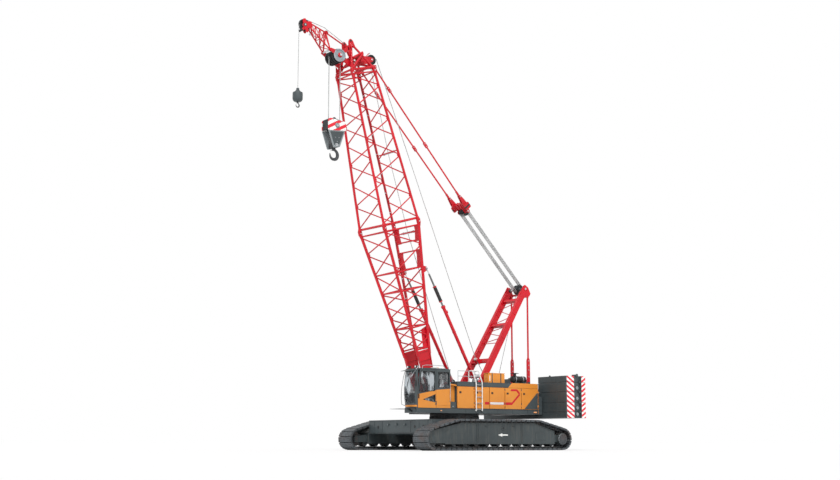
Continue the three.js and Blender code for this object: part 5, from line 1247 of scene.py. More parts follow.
# hoist ropes: from the rear drum over the head's guide sheave, and from the front drum to the boom's roller
guideAt = boomAt @ Vector((0.14, h["guideH"] + 0.22, h["guideL"]))
rollerAt = boomAt @ Vector((-0.15, boomHalf(8.3)[1] + 0.155, 8.3))
rearDrum, frontDrum = Vector((0.14, 2.32, 3.07)), Vector((-0.15, 0.10, 3.20))
passing = mastAt @ Vector((0.05, -0.48, 2.14))
hoistA = rope("hoist_rope_long",
              [[rearDrum.lerp(passing, i / 5) for i in range(5)] + straight(passing, guideAt, 44)],
              ropeFacts["hoist"], "rope")
stretched(hoistA)
hoistB = rope("hoist_rope_short", [straight(frontDrum, rollerAt, 30)], ropeFacts["hoist"], "rope")
stretched(hoistB)
onBoom = rope("hoist_rope_on_boom",
              [[rollerAt, boomAt @ Vector((-0.15, boomHalf(12.4)[1] + 0.155, 12.4)),
                boomAt @ Vector((-0.10, h["guideH"] - 0.05, h["guideL"] - 0.35))],
               [boomAt @ Vector((0.0, -0.30, 18.10)), boomAt @ Vector((0.0, -1.25, 18.97)),
                boomAt @ Vector((0.0, tipH + 0.10, tipL + 0.295))]], ropeFacts["aux"], "rope")
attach(onBoom, "boom")
luffTail = rope("luffing_rope_tail", [straight((-0.30, 4.51, 8.352), (-0.30, 2.90, 2.90), 4)],
                ropeFacts["aux"], "rope")
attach(luffTail, "superstructure")
print("ropes made")

# hook block: striped cheeks, grooved sheaves, crown, lower plates and crosshead
blockFacts = {"y": sheaveAt.y, "mid": blockMid, "half": 0.27, "sheave": 0.34, "top": 16.002}
y, mid, half = blockFacts["y"], blockFacts["mid"], blockFacts["half"]
block = Shape()
for side in (-1, 1):
    block.prism([(y - 0.51, mid - 0.26), (y - 0.51, mid + 0.22), (y - 0.48, mid + 0.27),
                 (y - 0.39, mid + 0.325), (y - 0.36, mid + 0.325), (y + 0.46, mid + 0.235),
                 (y + 0.49, mid + 0.19), (y + 0.51, mid - 0.17), (y + 0.48, mid - 0.20),
                 (y - 0.47, mid - 0.285)], "x", side * half, side * (half + 0.038), "stripeBlock")
    block.prism([(y - 0.50, mid - 0.27), (y + 0.47, mid - 0.19), (y + 0.19, mid - 0.98),
                 (y + 0.15, mid - 1.05), (y - 0.17, mid - 1.12), (y - 0.21, mid - 1.08)], "x",
                side * (half - 0.009), side * (half + 0.028), "greyPaint")
    block.prism([(y - 0.40, mid - 0.33), (y + 0.38, mid - 0.27), (y + 0.13, mid - 0.92),
                 (y - 0.16, mid - 0.98)], "x", side * (half + 0.02), side * (half + 0.034), "slatePaint")
    block.wheel((side * (half + 0.04), y, mid),
                [(-0.01, 0.05), (0.045, 0.05), (0.045, 0.085), (0.01, 0.125), (-0.01, 0.125)], "greyPaint",
                sides=40)
    block.tube([(side * (half + 0.04), y, mid), (side * (half + 0.088), y, mid)], 0.055, "steel", 6)
    block.wheel((side * (half + 0.015), y - 0.02, mid - 0.96),
                [(-0.02, 0.03), (0.035, 0.03), (0.035, 0.07), (-0.02, 0.075)], "steel", sides=28)
for x in (-0.18, -0.06, 0.06, 0.18):
    sheave(block, x, y, mid, blockFacts["sheave"], 0.105, "darkSteel", "castSteel")
block.tube([(-half - 0.03, y, mid), (half + 0.03, y, mid)], 0.059, "steel", 24)
block.prism([(y - 0.20, mid + 0.28), (y + 0.20, mid + 0.28), (y + 0.07, blockFacts["top"] - 0.04),
             (y + 0.035, blockFacts["top"] - 0.001), (y - 0.035, blockFacts["top"] - 0.001),
             (y - 0.07, blockFacts["top"] - 0.04)], "x", -0.055, 0.055, "darkSteel")
block.block(-half, half, y - 0.22, y - 0.14, mid + 0.265, mid + 0.30, "darkSteel")
block.block(-half, half, y + 0.14, y + 0.22, mid + 0.245, mid + 0.29, "darkSteel")
for yy in (-0.46, 0.44):
    block.tube([(-half - 0.03, y + yy, mid - 0.20), (half + 0.03, y + yy, mid - 0.20)], 0.022, "darkSteel",
               16)
block.block(-half + 0.01, half - 0.01, y - 0.13, y + 0.11, mid - 1.06, mid - 0.86, "castSteel")
block.prism([(y - 0.47, mid - 0.24), (y - 0.44, mid + 0.26), (y - 0.40, mid + 0.30), (y - 0.425, mid + 0.31),
             (y - 0.475, mid + 0.26), (y - 0.495, mid - 0.24)], "x", -half + 0.005, half - 0.005, "darkSteel")
block.piece("hook_block_plates", "hook_block", ("main_block",), 0.004)
spots = []
for side in (-1, 1):
    for yy, zz in ((-0.44, -0.22), (-0.44, 0.20), (0.43, -0.14), (0.43, 0.17), (-0.30, -0.28), (0.20, -0.235),
                   (0.0, 0.24), (-0.22, 0.27), (0.24, 0.22), (-0.10, -0.60), (0.10, -0.60), (0.0, -0.80)):
        spots.append(((side * (half + (0.038 if zz > -0.3 else 0.034)), y + yy, mid + zz), (side, 0, 0),
                      (0, 0, 1)))
scatter("hook_block_bolts", boltHead(0.016, 0.014), spots, "galvanised", "hook_block")


# a smooth curve's value a share t of the way from b to c, with a before them and d after
def between(a, b, c, d, t):
    bend = 2 * a - 5 * b + 4 * c - d
    twist = 3 * b - a - 3 * c + d
    return 0.5 * (2 * b + (c - a) * t + bend * t * t + twist * t ** 3)


# forged hook: a thickening curve from the shank round to the tip
def forgedHook(shape, x, y, top, bottom, bowl, thick, finish):
    centre = bottom + bowl + thick
    path = [(0, top), (0, lerp(top, centre + bowl * 1.30, 0.6)), (0.06, centre + bowl * 1.28),
            (0.45, centre + bowl * 1.05), (0.84, centre + bowl * 0.64), (1.0, centre + bowl * 0.12),
            (0.93, centre - bowl * 0.42), (0.62, centre - bowl * 0.83), (0.10, centre - bowl),
            (-0.42, centre - bowl * 0.92), (-0.80, centre - bowl * 0.60), (-0.97, centre - bowl * 0.10),
            (-0.99, centre + bowl * 0.34)]
    sizes = [0.72, 0.72, 0.78, 0.86, 0.96, 1.06, 1.12, 1.12, 1.0, 0.88, 0.70, 0.48, 0.22]
    smooth, radii = [], []
    for i in range(len(path) - 1):
        p = [path[max(i - 1, 0)], path[i], path[i + 1], path[min(i + 2, len(path) - 1)]]
        for k in range(5):
            t = k / 5
            pick = [between(*(point[c] for point in p), t) for c in (0, 1)]
            smooth.append((x, y + pick[0] * bowl, pick[1]))
            radii.append(lerp(sizes[i], sizes[i + 1], t) * thick * 0.93)
    smooth.append((x, y + path[-1][0] * bowl, path[-1][1]))
    radii.append(sizes[-1] * thick * 0.93)
    return shape.tube(smooth, radii, finish, 20)


hook = Shape()
crossZ = mid - 0.86
forgedHook(hook, 0, y, crossZ - 0.26, 13.836, 0.215, 0.078, "castSteel")
hook.tube([(0, y, crossZ - 0.27), (0, y, crossZ + 0.07)], 0.0515, "castSteel", 24)
hook.wheel((0, y, crossZ - 0.277),
           [(-0.06, 0.03), (0.06, 0.03), (0.06, 0.082), (0.045, 0.091), (-0.045, 0.091), (-0.06, 0.082)],
           "castSteel", "z", 32)
hook.prism([(0.10 * math.cos(math.pi * k / 3), y + 0.10 * math.sin(math.pi * k / 3)) for k in range(6)], "z",
           crossZ + 0.002, crossZ + 0.088, "steel")
latch = [(0, y - 0.20, 14.30), (0, y - 0.10, 14.35), (0, y + 0.04, 14.42)]
hook.tube(latch, [0.012, 0.018, 0.020], "steel", 10)
hook.tube([(-0.05, y + 0.03, 14.42), (0.05, y + 0.03, 14.42)], 0.018, "steel", 12)
hook.piece("main_hook_forged", "main_hook_swivel", ("main_hook",), 0.0)

# aux weight: turned body with a shoulder, and its small hook
ay = tipAt.y - 0.30
ball = Shape()
ball.wheel((0, ay, 0),
           [(16.464, 0.036), (16.464, 0.165), (16.50, 0.205), (16.555, 0.236), (16.60, 0.2449),
            (16.865, 0.2449), (16.91, 0.236), (16.96, 0.15), (17.04, 0.079), (17.125, 0.069), (17.129, 0.03),
            (16.75, 0.020)], "slatePaint", "z", 48)
for z in (16.62, 16.84):
    ball.wheel((0, ay, z), [(-0.012, 0.235), (0.012, 0.235), (0.010, 0.2448), (-0.010, 0.2448)], "greyPaint",
               "z", 48)
ball.tube([(0, ay, 17.02), (0, ay, 17.13)], [0.05, 0.045], "castSteel", 20)
ball.tube([(-0.075, ay, 17.05), (0.075, ay, 17.05)], 0.016, "steel", 14)
ball.piece("aux_weight_turned", "aux_ball", ("aux_weight",), 0.0)
small = Shape()
forgedHook(small, 0, ay, 16.43, 16.163, 0.088, 0.030, "castSteel")
small.tube([(0, ay, 16.41), (0, ay, 16.60)], 0.033, "castSteel", 20)
small.wheel((0, ay, 16.423),
            [(-0.028, 0.02), (0.028, 0.02), (0.028, 0.042), (0.018, 0.047), (-0.018, 0.047), (-0.028, 0.042)],
            "castSteel", "z", 28)
small.tube([(0, ay - 0.086, 16.335), (0, ay + 0.02, 16.385)], 0.007, "steel", 8)
small.piece("aux_hook_forged", "aux_hook_swivel", ("aux_hook",), 0.0)
print("hooks made")


# tracks: path of the run, shoes with ribs and with black discs painted as the shade in their holes, chain
# links
trackFacts = {"x": 3.210, "half": 4.505, "wheel": 0.545, "top": 1.470, "front": -2.618, "rear": 2.404,
              "width": 1.098, "thick": 0.095, "shoes": 62, "gap": 0.050, "rollers": 11, "rollerPitch": 0.68}
t = trackFacts


def trackPath(depth):
    r, y0, top = t["wheel"] - depth, t["half"] - t["wheel"], t["top"] - depth

    def leave(corner):
        dy, dz = corner - y0, top - t["wheel"]
        return math.atan2(dz, dy) - math.acos(r / math.hypot(dy, dz))
    rear, front = leave(t["rear"]), math.pi - leave(-t["front"])
    line = [(y0 + r * math.cos(a), t["wheel"] + r * math.sin(a))
            for a in (lerp(-math.pi / 2, rear, k / 24) for k in range(25))]
    line += [(t["rear"], top), (t["front"], top)]
    return line + [(-y0 + r * math.cos(a), t["wheel"] + r * math.sin(a))
                   for a in (lerp(front, 1.5 * math.pi, k / 24) for k in range(25))]


def along(line, spots):
    closed = line + line[:1]
    runs = [math.dist(a, c) for a, c in zip(closed, closed[1:])]
    total, found = sum(runs), []
    for k in range(spots):
        rest = total * (k + 0.5) / spots
        i = 0
        while rest > runs[i]:
            rest -= runs[i]
            i += 1
        found.append(tuple(lerp(closed[i][c], closed[i + 1][c], rest / runs[i]) for c in (0, 1)))
    return found


def chordSpots(depth, spots, x):
    joints = along(trackPath(depth), spots)
    made = []
    for (ay, az), (cy, cz) in zip(joints, joints[1:] + joints[:1]):
        dy, dz = (cy - ay), (cz - az)
        size = math.hypot(dy, dz)
        made.append(((x, (ay + cy) / 2, (az + cz) / 2), (0, dz / size, -dy / size), (1, 0, 0)))
    return made


pitch = math.dist(*along(trackPath(0), t["shoes"])[:2])
w, l = t["width"] / 2, (pitch - t["gap"]) / 2
shoe = Shape()
shoe.prism([(-l * 0.82, -0.001), (l * 0.82, -0.001), (l, -0.022), (l, -0.052), (l - 0.03, -0.060),
            (-l + 0.03, -0.060), (-l, -0.052), (-l, -0.022)], "x", -w, w, "shoeSteel")
for y in (-l + 0.018, 0.0, l - 0.018):
    shoe.block(-w + 0.02, w - 0.02, y - 0.014, y + 0.014, -0.094, -0.055, "shoeSteel")
for x in (-w + 0.012, w - 0.012):
    shoe.block(x - 0.012, x + 0.012, -l + 0.01, l - 0.01, -0.094, -0.05, "shoeSteel")
for x in (-0.40, -0.135, 0.135, 0.40):
    shoe.block(x - 0.07, x + 0.07, -l * 0.74, l * 0.74, -0.008, 0.0, "shoeSteel")
shoe.prism([(-l * 0.5, -0.06), (l * 0.5, -0.06), (l * 0.35, -0.095), (-l * 0.35, -0.095)], "x", -0.22, 0.22,
           "shoeSteel")
# painted shade: flat black discs on each shoe stand for the dark inside of its holes
holeShade = Shape()
for x in (-0.465, -0.335, 0.335, 0.465):
    for y in (-l * 0.45, l * 0.45):
        holeShade.tube([(x, y, -0.01), (x, y, 0.0005)], 0.030, "blackPaint", 10)
chain = Shape()
for side in (-1, 1):
    chain.prism([(-pitch * 0.47, -0.03), (-pitch * 0.38, 0.03), (pitch * 0.38, 0.03), (pitch * 0.47, -0.03),
                 (pitch * 0.38, -0.062), (-pitch * 0.38, -0.062)], "x", side * 0.15, side * 0.205,
                "castSteel")
    chain.tube([(side * 0.14, -pitch * 0.33, -0.02), (side * 0.213, -pitch * 0.33, -0.02)], 0.026,
               "castSteel", 12)
chain.tube([(-0.20, pitch * 0.33, -0.015), (0.20, pitch * 0.33, -0.015)], 0.030, "castSteel", 14)
shoeSpots, chainSpots = [], []
for side in (-1, 1):
    shoeSpots += chordSpots(0.0, t["shoes"], side * t["x"])
    chainSpots += chordSpots(t["thick"] + 0.031, t["shoes"], side * t["x"])
scatter("track_shoes", shoe, shoeSpots, "shoeSteel", "undercarriage", 1.0, None,
        ("track_left", "track_right"))
# the black discs on the shoes are painted shade of the holes
scatter("track_shoe_holes", holeShade, shoeSpots, "blackPaint", "undercarriage")
scatter("track_chain_links", chain, chainSpots, "castSteel", "undercarriage")

# rollers, idlers, sprockets and travel gearboxes
running = Shape()
caps = []
for side in (-1, 1):
    x = side * t["x"]
    for k in range(t["rollers"]):
        y = (k - (t["rollers"] - 1) / 2) * t["rollerPitch"]
        running.wheel((x, y, 0.3253),
                      [(-0.258, 0.05), (0.258, 0.05), (0.258, 0.118), (0.235, 0.1355), (0.10, 0.1355),
                       (0.09, 0.118), (-0.09, 0.118), (-0.10, 0.1355), (-0.235, 0.1355), (-0.258, 0.118)],
                      "castSteel", sides=32)
        caps.append(((x + side * 0.27, y, 0.3253), (side, 0, 0), (0, 0, 1)))
        for z in (0.040, 0.0):
            running.block(x + side * 0.262, x + side * 0.30, y - 0.07, y + 0.07, 0.29 + z, 0.335 + z,
                          "trackPaint")
    y = -3.96
    running.wheel((x, y, 0.545),
                  [(-0.19, 0.10), (0.19, 0.10), (0.19, 0.335), (0.16, 0.351), (0.055, 0.351), (0.045, 0.30),
                   (-0.045, 0.30), (-0.055, 0.351), (-0.16, 0.351), (-0.19, 0.335)], "castSteel", sides=56)
    running.wheel((x + side * 0.20, y, 0.545),
                  [(-0.01, 0.04), (0.075, 0.04), (0.085, 0.10), (0.07, 0.15), (0.0, 0.17), (-0.01, 0.17)],
                  "castSteel", sides=36)
    y = 3.96
    running.wheel((side * 3.54, y, 0.545),
                  [(0, 0.20), (0, 0.302), (side * 0.10, 0.302), (side * 0.11, 0.290), (side * 0.11, 0.20)],
                  "trackPaint", sides=48)
    running.wheel((side * 3.645, y, 0.545),
                  [(0, 0.03), (0, 0.268), (side * 0.045, 0.268), (side * 0.064, 0.235), (side * 0.064, 0.12),
                   (side * 0.050, 0.10), (side * 0.050, 0.03)], "greyPaint", sides=48)
    running.wheel((side * 3.690, y, 0.545),
                  [(0, 0.01), (side * 0.018, 0.01), (side * 0.018, 0.085), (0, 0.10)], "greyPaint", sides=32)
running.piece("track_wheels_turned", "undercarriage", (), 0.003)
scatter("roller_caps", boltHead(0.045, 0.03), caps, "castSteel", "undercarriage")
spots = []
for side in (-1, 1):
    for k in range(16):
        a = 2 * math.pi * k / 16
        spots.append(((side * 3.651, 3.96 + 0.286 * math.cos(a), 0.545 + 0.286 * math.sin(a)), (side, 0, 0),
                      (0, 0, 1)))
    for k in range(8):
        a = 2 * math.pi * (k + 0.5) / 8
        spots.append(((side * 3.709, 3.96 + 0.185 * math.cos(a), 0.545 + 0.185 * math.sin(a)), (side, 0, 0),
                      (0, 0, 1)))
scatter("gearbox_bolts", boltHead(0.014, 0.014), spots, "darkSteel", "undercarriage")

# track frames: seams, covers, edge flanges, a painted arrow, bolted step plates
sides = Shape()
for side in (-1, 1):
    x = side * 3.6105
    for y in (-1.43, 1.33):
        sides.block(x, x + side * 0.014, y - 0.045, y + 0.045, 0.36, 1.255, "trackPaint")
        sides.block(x, x + side * 0.020, y - 0.006, y + 0.006, 0.36, 1.25, "blackPaint")
    sides.prism([(3.47, 0.30), (3.47, 0.345), (-3.33, 0.345), (-3.33, 0.30)], "x", x - side * 0.02,
                x + side * 0.024, "trackPaint")
    sides.prism([(-2.34, 0.34), (-4.20, 0.34), (-4.33, 0.42), (-4.385, 0.545), (-4.34, 0.70), (-4.20, 0.86),
                 (-3.92, 0.955), (-2.50, 1.262), (-2.34, 1.275)], "x", x - side * 0.010, x + side * 0.012,
                "trackPaint")
    sides.wheel((x + side * 0.012, -3.96, 0.545),
                [(0, 0.01), (0, 0.17), (side * 0.012, 0.165), (side * 0.020, 0.10), (side * 0.020, 0.01)],
                "trackPaint", sides=36)
    sides.prism([(3.455, 0.89), (3.47, 0.92), (2.157, 1.297), (-2.372, 1.297), (-3.34, 0.895), (-3.33, 0.86),
                 (-2.36, 1.262), (2.150, 1.262)], "x", x - side * 0.02, x + side * 0.024, "trackPaint")
    sides.prism([(0.47, 0.70), (0.47, 0.76), (0.12, 0.76), (0.12, 0.81), (-0.14, 0.73), (0.12, 0.65),
                 (0.12, 0.70)], "x", x, x + side * 0.004, "whitePaint")
    sides.wheel((x, 0.17, 1.05),
                [(0, 0.01), (0, 0.11), (side * 0.018, 0.11), (side * 0.024, 0.095), (side * 0.024, 0.01)],
                "trackPaint", sides=36)
    sides.wheel((x, 0.17, 1.05),
                [(side * 0.02, 0.01), (side * 0.034, 0.01), (side * 0.034, 0.045), (side * 0.02, 0.05)],
                "blackPaint", sides=24)
    for y in (-2.6, 2.55):
        sides.prism([(y - 0.34, 0.46), (y + 0.34, 0.46), (y + 0.34, 0.84), (y - 0.34, 0.84)], "x", x,
                    x + side * 0.010, "trackPaint")
    for y in (-0.85, 0.85):
        sides.tube([(x, y - 0.07, 1.14), (x + side * 0.05, y - 0.07, 1.15), (x + side * 0.05, y + 0.07, 1.15),
                    (x, y + 0.07, 1.14)], 0.014, "trackPaint", 10)
    for y in (-1.7, -0.7, 0.3, 1.3):
        sides.block(side * 2.80, side * 3.60, y - 0.005, y + 0.005, 1.281, 1.287, "trackPaint")
    for y0, y1 in ((-2.25, -0.05), (0.05, 2.05)):
        sides.block(side * 3.44, side * 3.60, y0, y1, 1.281, 1.296, "castSteel")
sides.piece("track_frame_covers", "undercarriage", (), 0.003)
spots = []
for side in (-1, 1):
    x = side * 3.6105
    for y in (-2.6, 2.55):
        for dy in (-0.30, -0.10, 0.10, 0.30):
            for z in (0.50, 0.80):
                spots.append(((x + side * 0.010, y + dy, z), (side, 0, 0), (0, 0, 1)))
    for k in range(6):
        a = 2 * math.pi * k / 6
        spots.append(((x + side * 0.022, 0.17 + 0.082 * math.cos(a), 1.05 + 0.082 * math.sin(a)),
                      (side, 0, 0), (0, 0, 1)))
    for k in range(14):
        spots.append(((x + side * 0.024, -3.1 + k * 0.48, 0.322), (side, 0, 0), (0, 0, 1)))
scatter("track_frame_bolts", boltHead(0.013, 0.012), spots, "castSteel", "undercarriage")

# carbody: bolted arms, ring gear with teeth, grease lines; beams with black discs painted as the shade in
# lightening holes
ringTooth = Shape().prism([(-0.020, -0.01), (0.020, -0.01), (0.011, 0.030), (-0.011, 0.030)], "x", -0.06,
                          0.06, "castSteel")
spots = []
for k in range(108):
    a = 2 * math.pi * k / 108
    spots.append(((1.222 * math.cos(a), 1.222 * math.sin(a), 1.60), (math.cos(a), math.sin(a), 0), (0, 0, 1)))
scatter("slewing_ring_teeth", ringTooth, spots, "castSteel", "undercarriage")
spots = [((1.27 * math.cos(2 * math.pi * k / 48), 1.27 * math.sin(2 * math.pi * k / 48), 1.511), (0, 0, 1),
          (1, 0, 0)) for k in range(48)]
scatter("slewing_ring_bolts", boltHead(0.018, 0.02), spots, "castSteel", "undercarriage")
under = Shape()
for side in (-1, 1):
    for end in (-1, 1):
        under.block(side * 2.735, side * 2.789, end * 0.66, end * 1.69, 0.72, 1.39, "trackPaint")
        under.prism([(end * 0.80, 1.352), (end * 1.55, 1.352), (end * 1.50, 1.42), (end * 0.85, 1.42)], "x",
                    side * 1.48, side * 1.51, "trackPaint")
    for y in (-1.0, 1.0):
        under.wheel((side * 2.1, y * 1.16, 1.351), [(0, 0.02), (0.012, 0.02), (0.012, 0.13), (0, 0.14)],
                    "trackPaint", "z", 32)
for end in (-1, 1):
    face = end * 3.3505
    under.prism([(-2.60, 0.82), (2.60, 0.82), (2.60, 0.855), (-2.60, 0.855)], "y", face, face + end * 0.012,
                "trackPaint")
    under.block(-2.64, 2.64, end * 2.60, end * 3.37, 1.4585, 1.468, "trackPaint")
    for x in (-2.2, -1.5, 0.9, 1.6, 2.3):
        under.block(x - 0.012, x + 0.012, face, face + end * 0.010, 0.86, 1.41, "trackPaint")
    # painted shade: black discs on the beam faces stand for the dark inside of lightening holes
    for x in (-1.85, 1.25, 1.95):
        under.wheel((x, face, 1.13), [(0, 0.02), (0, 0.075), (end * 0.008, 0.075), (end * 0.008, 0.02)],
                    "blackPaint", "y", 24)
    for x in (-0.94, -0.24, 0.46):
        under.tube([(x, face + end * 0.02, 1.205), (x, face + end * 0.075, 1.24),
                    (x, face + end * 0.02, 1.275)], 0.014, "greyPaint", 10)
under.piece("undercarriage_plates", "undercarriage", (), 0.003)
bars("undercarriage_hoses",
     [[(side * 1.46, y, 1.30), (side * 1.9, y * 1.05, 1.375), (side * 2.5, y * 1.3, 1.365),
       (side * 2.78, y * 1.6, 1.31)] for side in (-1, 1) for y in (0.55, -0.50, 0.45)], 0.017, "rubber",
     "undercarriage", 8)
print("tracks and undercarriage made")


# house: pressed skins on the doors and panels, latches, hinge knuckles, painted bands
houseFacts = {"out": 1.648, "low": 2.033, "high": 3.087,
              "seams": (-1.072, -0.030, 0.945, 1.945, 3.030, 4.166), "right": (-1.072, 0.9, 2.5, 4.166),
              "bandLow": 3.111, "bandHigh": 3.328, "step": (2.16, 2.40), "red": (0.65, 2.50, 2.235, 2.37)}
g = houseFacts


# the part of an outline between two y values, for outlines given as (y, z) points
def clipped(outline, y0, y1):
    def half(points, keep, edge):
        kept = []
        for i, p in enumerate(points):
            q = points[(i + 1) % len(points)]
            if keep(p):
                kept.append(p)
            if keep(p) != keep(q):
                s = (edge - p[0]) / (q[0] - p[0])
                kept.append((edge, lerp(p[1], q[1], s)))
        return kept
    points = half(outline, lambda p: p[0] >= y0, y0)
    return half(points, lambda p: p[0] <= y1, y1) if points else []


redBand = [(g["red"][0], g["red"][2]), (2.40, g["red"][2]), (2.93, 2.72), (2.93, 2.86), (2.40, g["red"][3]),
           (g["red"][0], g["red"][3])]
redHook = [(2.93, 2.72), (2.93, 2.86), (2.76, 3.03), (2.36, 3.03), (2.31, 2.93), (2.70, 2.93), (2.80, 2.83)]
whiteBox = [(0.99, 2.245), (1.86, 2.245), (1.86, 2.36), (0.99, 2.36)]
greyCorner = [(3.22, g["low"] + 0.012), (4.14, g["low"] + 0.012), (4.14, 2.93)]
ridge = [(3.14, 2.06), (3.20, 2.06), (4.10, 2.98), (4.10, 3.04)]


def panelSkin(shape, side, y0, y1):
    x = side * (g["out"] + 0.0005)
    z0, z1 = g["low"] + 0.010, g["high"] - 0.010
    a, c = y0 + 0.010, y1 - 0.010
    shape.prism([(a, z0 + 0.03), (a + 0.03, z0), (c - 0.03, z0), (c, z0 + 0.03), (c, z1 - 0.03),
                 (c - 0.03, z1), (a + 0.03, z1), (a, z1 - 0.03)], "x", x - side * 0.002, x + side * 0.006,
                "orangePaint")
    shape.block(x, x + side * 0.009, a + 0.02, c - 0.02, z1 - 0.028, z1 - 0.018, "orangePaint")
    if side > 0:
        for outline, finish, lift in ((redBand, "redPaint", 0.0072), (redHook, "redPaint", 0.0074),
                                      (whiteBox, "whitePaint", 0.0084), (greyCorner, "slatePaint", 0.0072),
                                      (ridge, "orangePaint", 0.0150)):
            part = clipped(outline, a + 0.004, c - 0.004)
            if len(part) > 2:
                shape.prism(part, "x", x, x + side * lift, finish)
    latchY, latchZ = y0 + 0.15, 2.81
    shape.prism([(latchY - 0.055, latchZ - 0.045), (latchY + 0.055, latchZ - 0.045), (latchY + 0.065, latchZ),
                 (latchY + 0.055, latchZ + 0.045), (latchY - 0.055, latchZ + 0.045)], "x", x,
                x + side * 0.020, "blackPaint")
    shape.prism([(latchY - 0.035, latchZ - 0.018), (latchY + 0.040, latchZ - 0.012),
                 (latchY + 0.040, latchZ + 0.018), (latchY - 0.035, latchZ + 0.018)], "x", x + side * 0.018,
                x + side * 0.030, "darkSteel")


panelBodies = ["left_door_leaf_1", "superstructure", "left_door_leaf_2", "left_door_leaf_3",
               "left_door_leaf_4"]
for i, body in enumerate(panelBodies):
    y0, y1 = g["seams"][i] + 0.026, g["seams"][i + 1] - 0.012
    skin = Shape()
    panelSkin(skin, 1, y0, y1)
    skin.piece("left_panel_skin_" + str(i + 1), body, (), 0.002)
for i in range(3):
    y0, y1 = g["right"][i] + 0.026, g["right"][i + 1] - 0.012
    skin = Shape()
    panelSkin(skin, -1, y0, y1)
    for k in range(9):
        z = 2.22 + k * 0.055
        skin.prism([(y0 + 0.30, z), (y1 - 0.30, z), (y1 - 0.30, z + 0.022), (y0 + 0.30, z + 0.022)], "x",
                   -g["out"] - 0.003, -g["out"] - 0.016, "blackPaint")
    skin.piece("right_panel_skin_" + str(i + 1), "right_door_leaf_" + str(i + 1), (), 0.002)
orangeBand = [(g["step"][0], g["bandLow"] - 0.014), (4.150, g["bandLow"] - 0.014),
              (4.165, g["bandHigh"] - 0.06), (4.10, g["bandHigh"] - 0.003),
              (g["step"][1], g["bandHigh"] - 0.003)]
body = Shape()
body.prism(orangeBand, "x", 1.6475, 1.6535, "orangePaint")
body.prism([(y, z) for y, z in orangeBand], "x", -1.6475, -1.6535, "orangePaint")
body.block(1.645, 1.655, -1.065, g["step"][0] - 0.01, g["bandHigh"] - 0.020, g["bandHigh"] - 0.006,
           "slatePaint")
body.block(1.60, 1.652, g["step"][1] + 0.05, 4.13, g["bandHigh"] - 0.004, g["bandHigh"] + 0.012,
           "orangePaint")
body.prism([(-1.065, 2.04), (-1.065, 3.09), (-1.050, 3.09), (-1.050, 2.04)], "x", 1.60, 1.655, "orangePaint")
body.prism([(4.165, 1.81), (4.172, 1.81), (4.172, 3.10), (4.165, 3.10)], "x", 1.56, 1.652, "orangePaint")
for side in (-1, 1):
    body.block(side * 1.600, side * 1.6405, -1.05, 4.42, 1.792, 1.815, "slatePaint")
    body.prism([(-1.05, 2.000), (4.42, 2.000), (4.42, 2.018), (-1.05, 2.018)], "x", side * 1.6385,
               side * 1.650, "slatePaint")
    for y in (-0.55, 0.45, 1.45, 2.45, 3.45):
        body.block(side * 1.6385, side * 1.6445, y - 0.006, y + 0.006, 1.80, 2.0, "blackPaint")
body.prism([(3.86, 1.86), (4.04, 1.86), (4.05, 1.88), (4.04, 1.92), (3.86, 1.92), (3.85, 1.88)], "x", 1.638,
           1.668, "amberLens")
body.prism([(-2.10, 1.88), (-2.02, 1.88), (-2.02, 1.92), (-2.10, 1.92)], "x", 1.638, 1.656, "amberLens")
for y in (4.30, 4.36):
    body.prism([(y - 0.02, 2.05), (y + 0.02, 2.05), (y + 0.02, 3.0), (y - 0.02, 3.0)], "x", 1.45, 1.47,
               "slatePaint")

# between cab and house: orange panel, its lip, a grey foot
body.prism([(-1.488, 2.34), (-1.082, 2.34), (-1.082, 3.12), (-1.10, 3.16), (-1.46, 3.20), (-1.488, 3.18)],
           "x", 1.40, 1.44, "orangePaint")
body.prism([(-1.46, 3.15), (-1.10, 3.10), (-1.10, 3.16), (-1.46, 3.21)], "x", 1.38, 1.62, "orangePaint")
body.block(1.35, 1.58, -1.47, -1.10, 2.021, 2.34, "slatePaint")
body.wheel((1.585, -1.30, 2.10), [(0, 0.01), (0, 0.03), (0.012, 0.03), (0.012, 0.01)], "galvanised", sides=20)
body.piece("house_skins", "superstructure", (), 0.003)

# roof of the house: plates, vents, lifting eyes, handrails
roof = Shape()
for side in (-1, 1):
    for y in (-0.5, 0.35, 3.85):
        roof.block(side * 1.09, side * 1.54, y - 0.30, y + 0.30, 3.328, 3.340, "slatePaint")
        for dx in (1.13, 1.50):
            roof.tube([(side * dx, y - 0.24, 3.335), (side * dx, y - 0.24, 3.346)], 0.012, "galvanised", 6)
            roof.tube([(side * dx, y + 0.24, 3.335), (side * dx, y + 0.24, 3.346)], 0.012, "galvanised", 6)
for k in range(7):
    y = 1.30 + k * 0.11
    roof.prism([(y, 3.328), (y + 0.07, 3.328), (y + 0.03, 3.372)], "x", -1.52, -1.10, "blackPaint")
roof.piece("house_roof_plates", "superstructure", (), 0.002)
railings = []
for side, y0, y1 in ((1, -0.95, 0.02), (-1, -0.95, 0.9), (-1, 2.5, 4.05)):
    x = side * 1.55
    railings += [[(x, y0, 3.328), (x, y0, 3.86)], [(x, y1, 3.328), (x, y1, 3.86)],
                 [(x, y0, 3.86), (x, y1, 3.86)], [(x, y0, 3.60), (x, y1, 3.60)]]
bars("roof_handrails", railings[:4], 0.014, "galvanised", "superstructure", 8)
bars("roof_handrails_right", railings[4:], 0.014, "galvanised", "superstructure", 8)

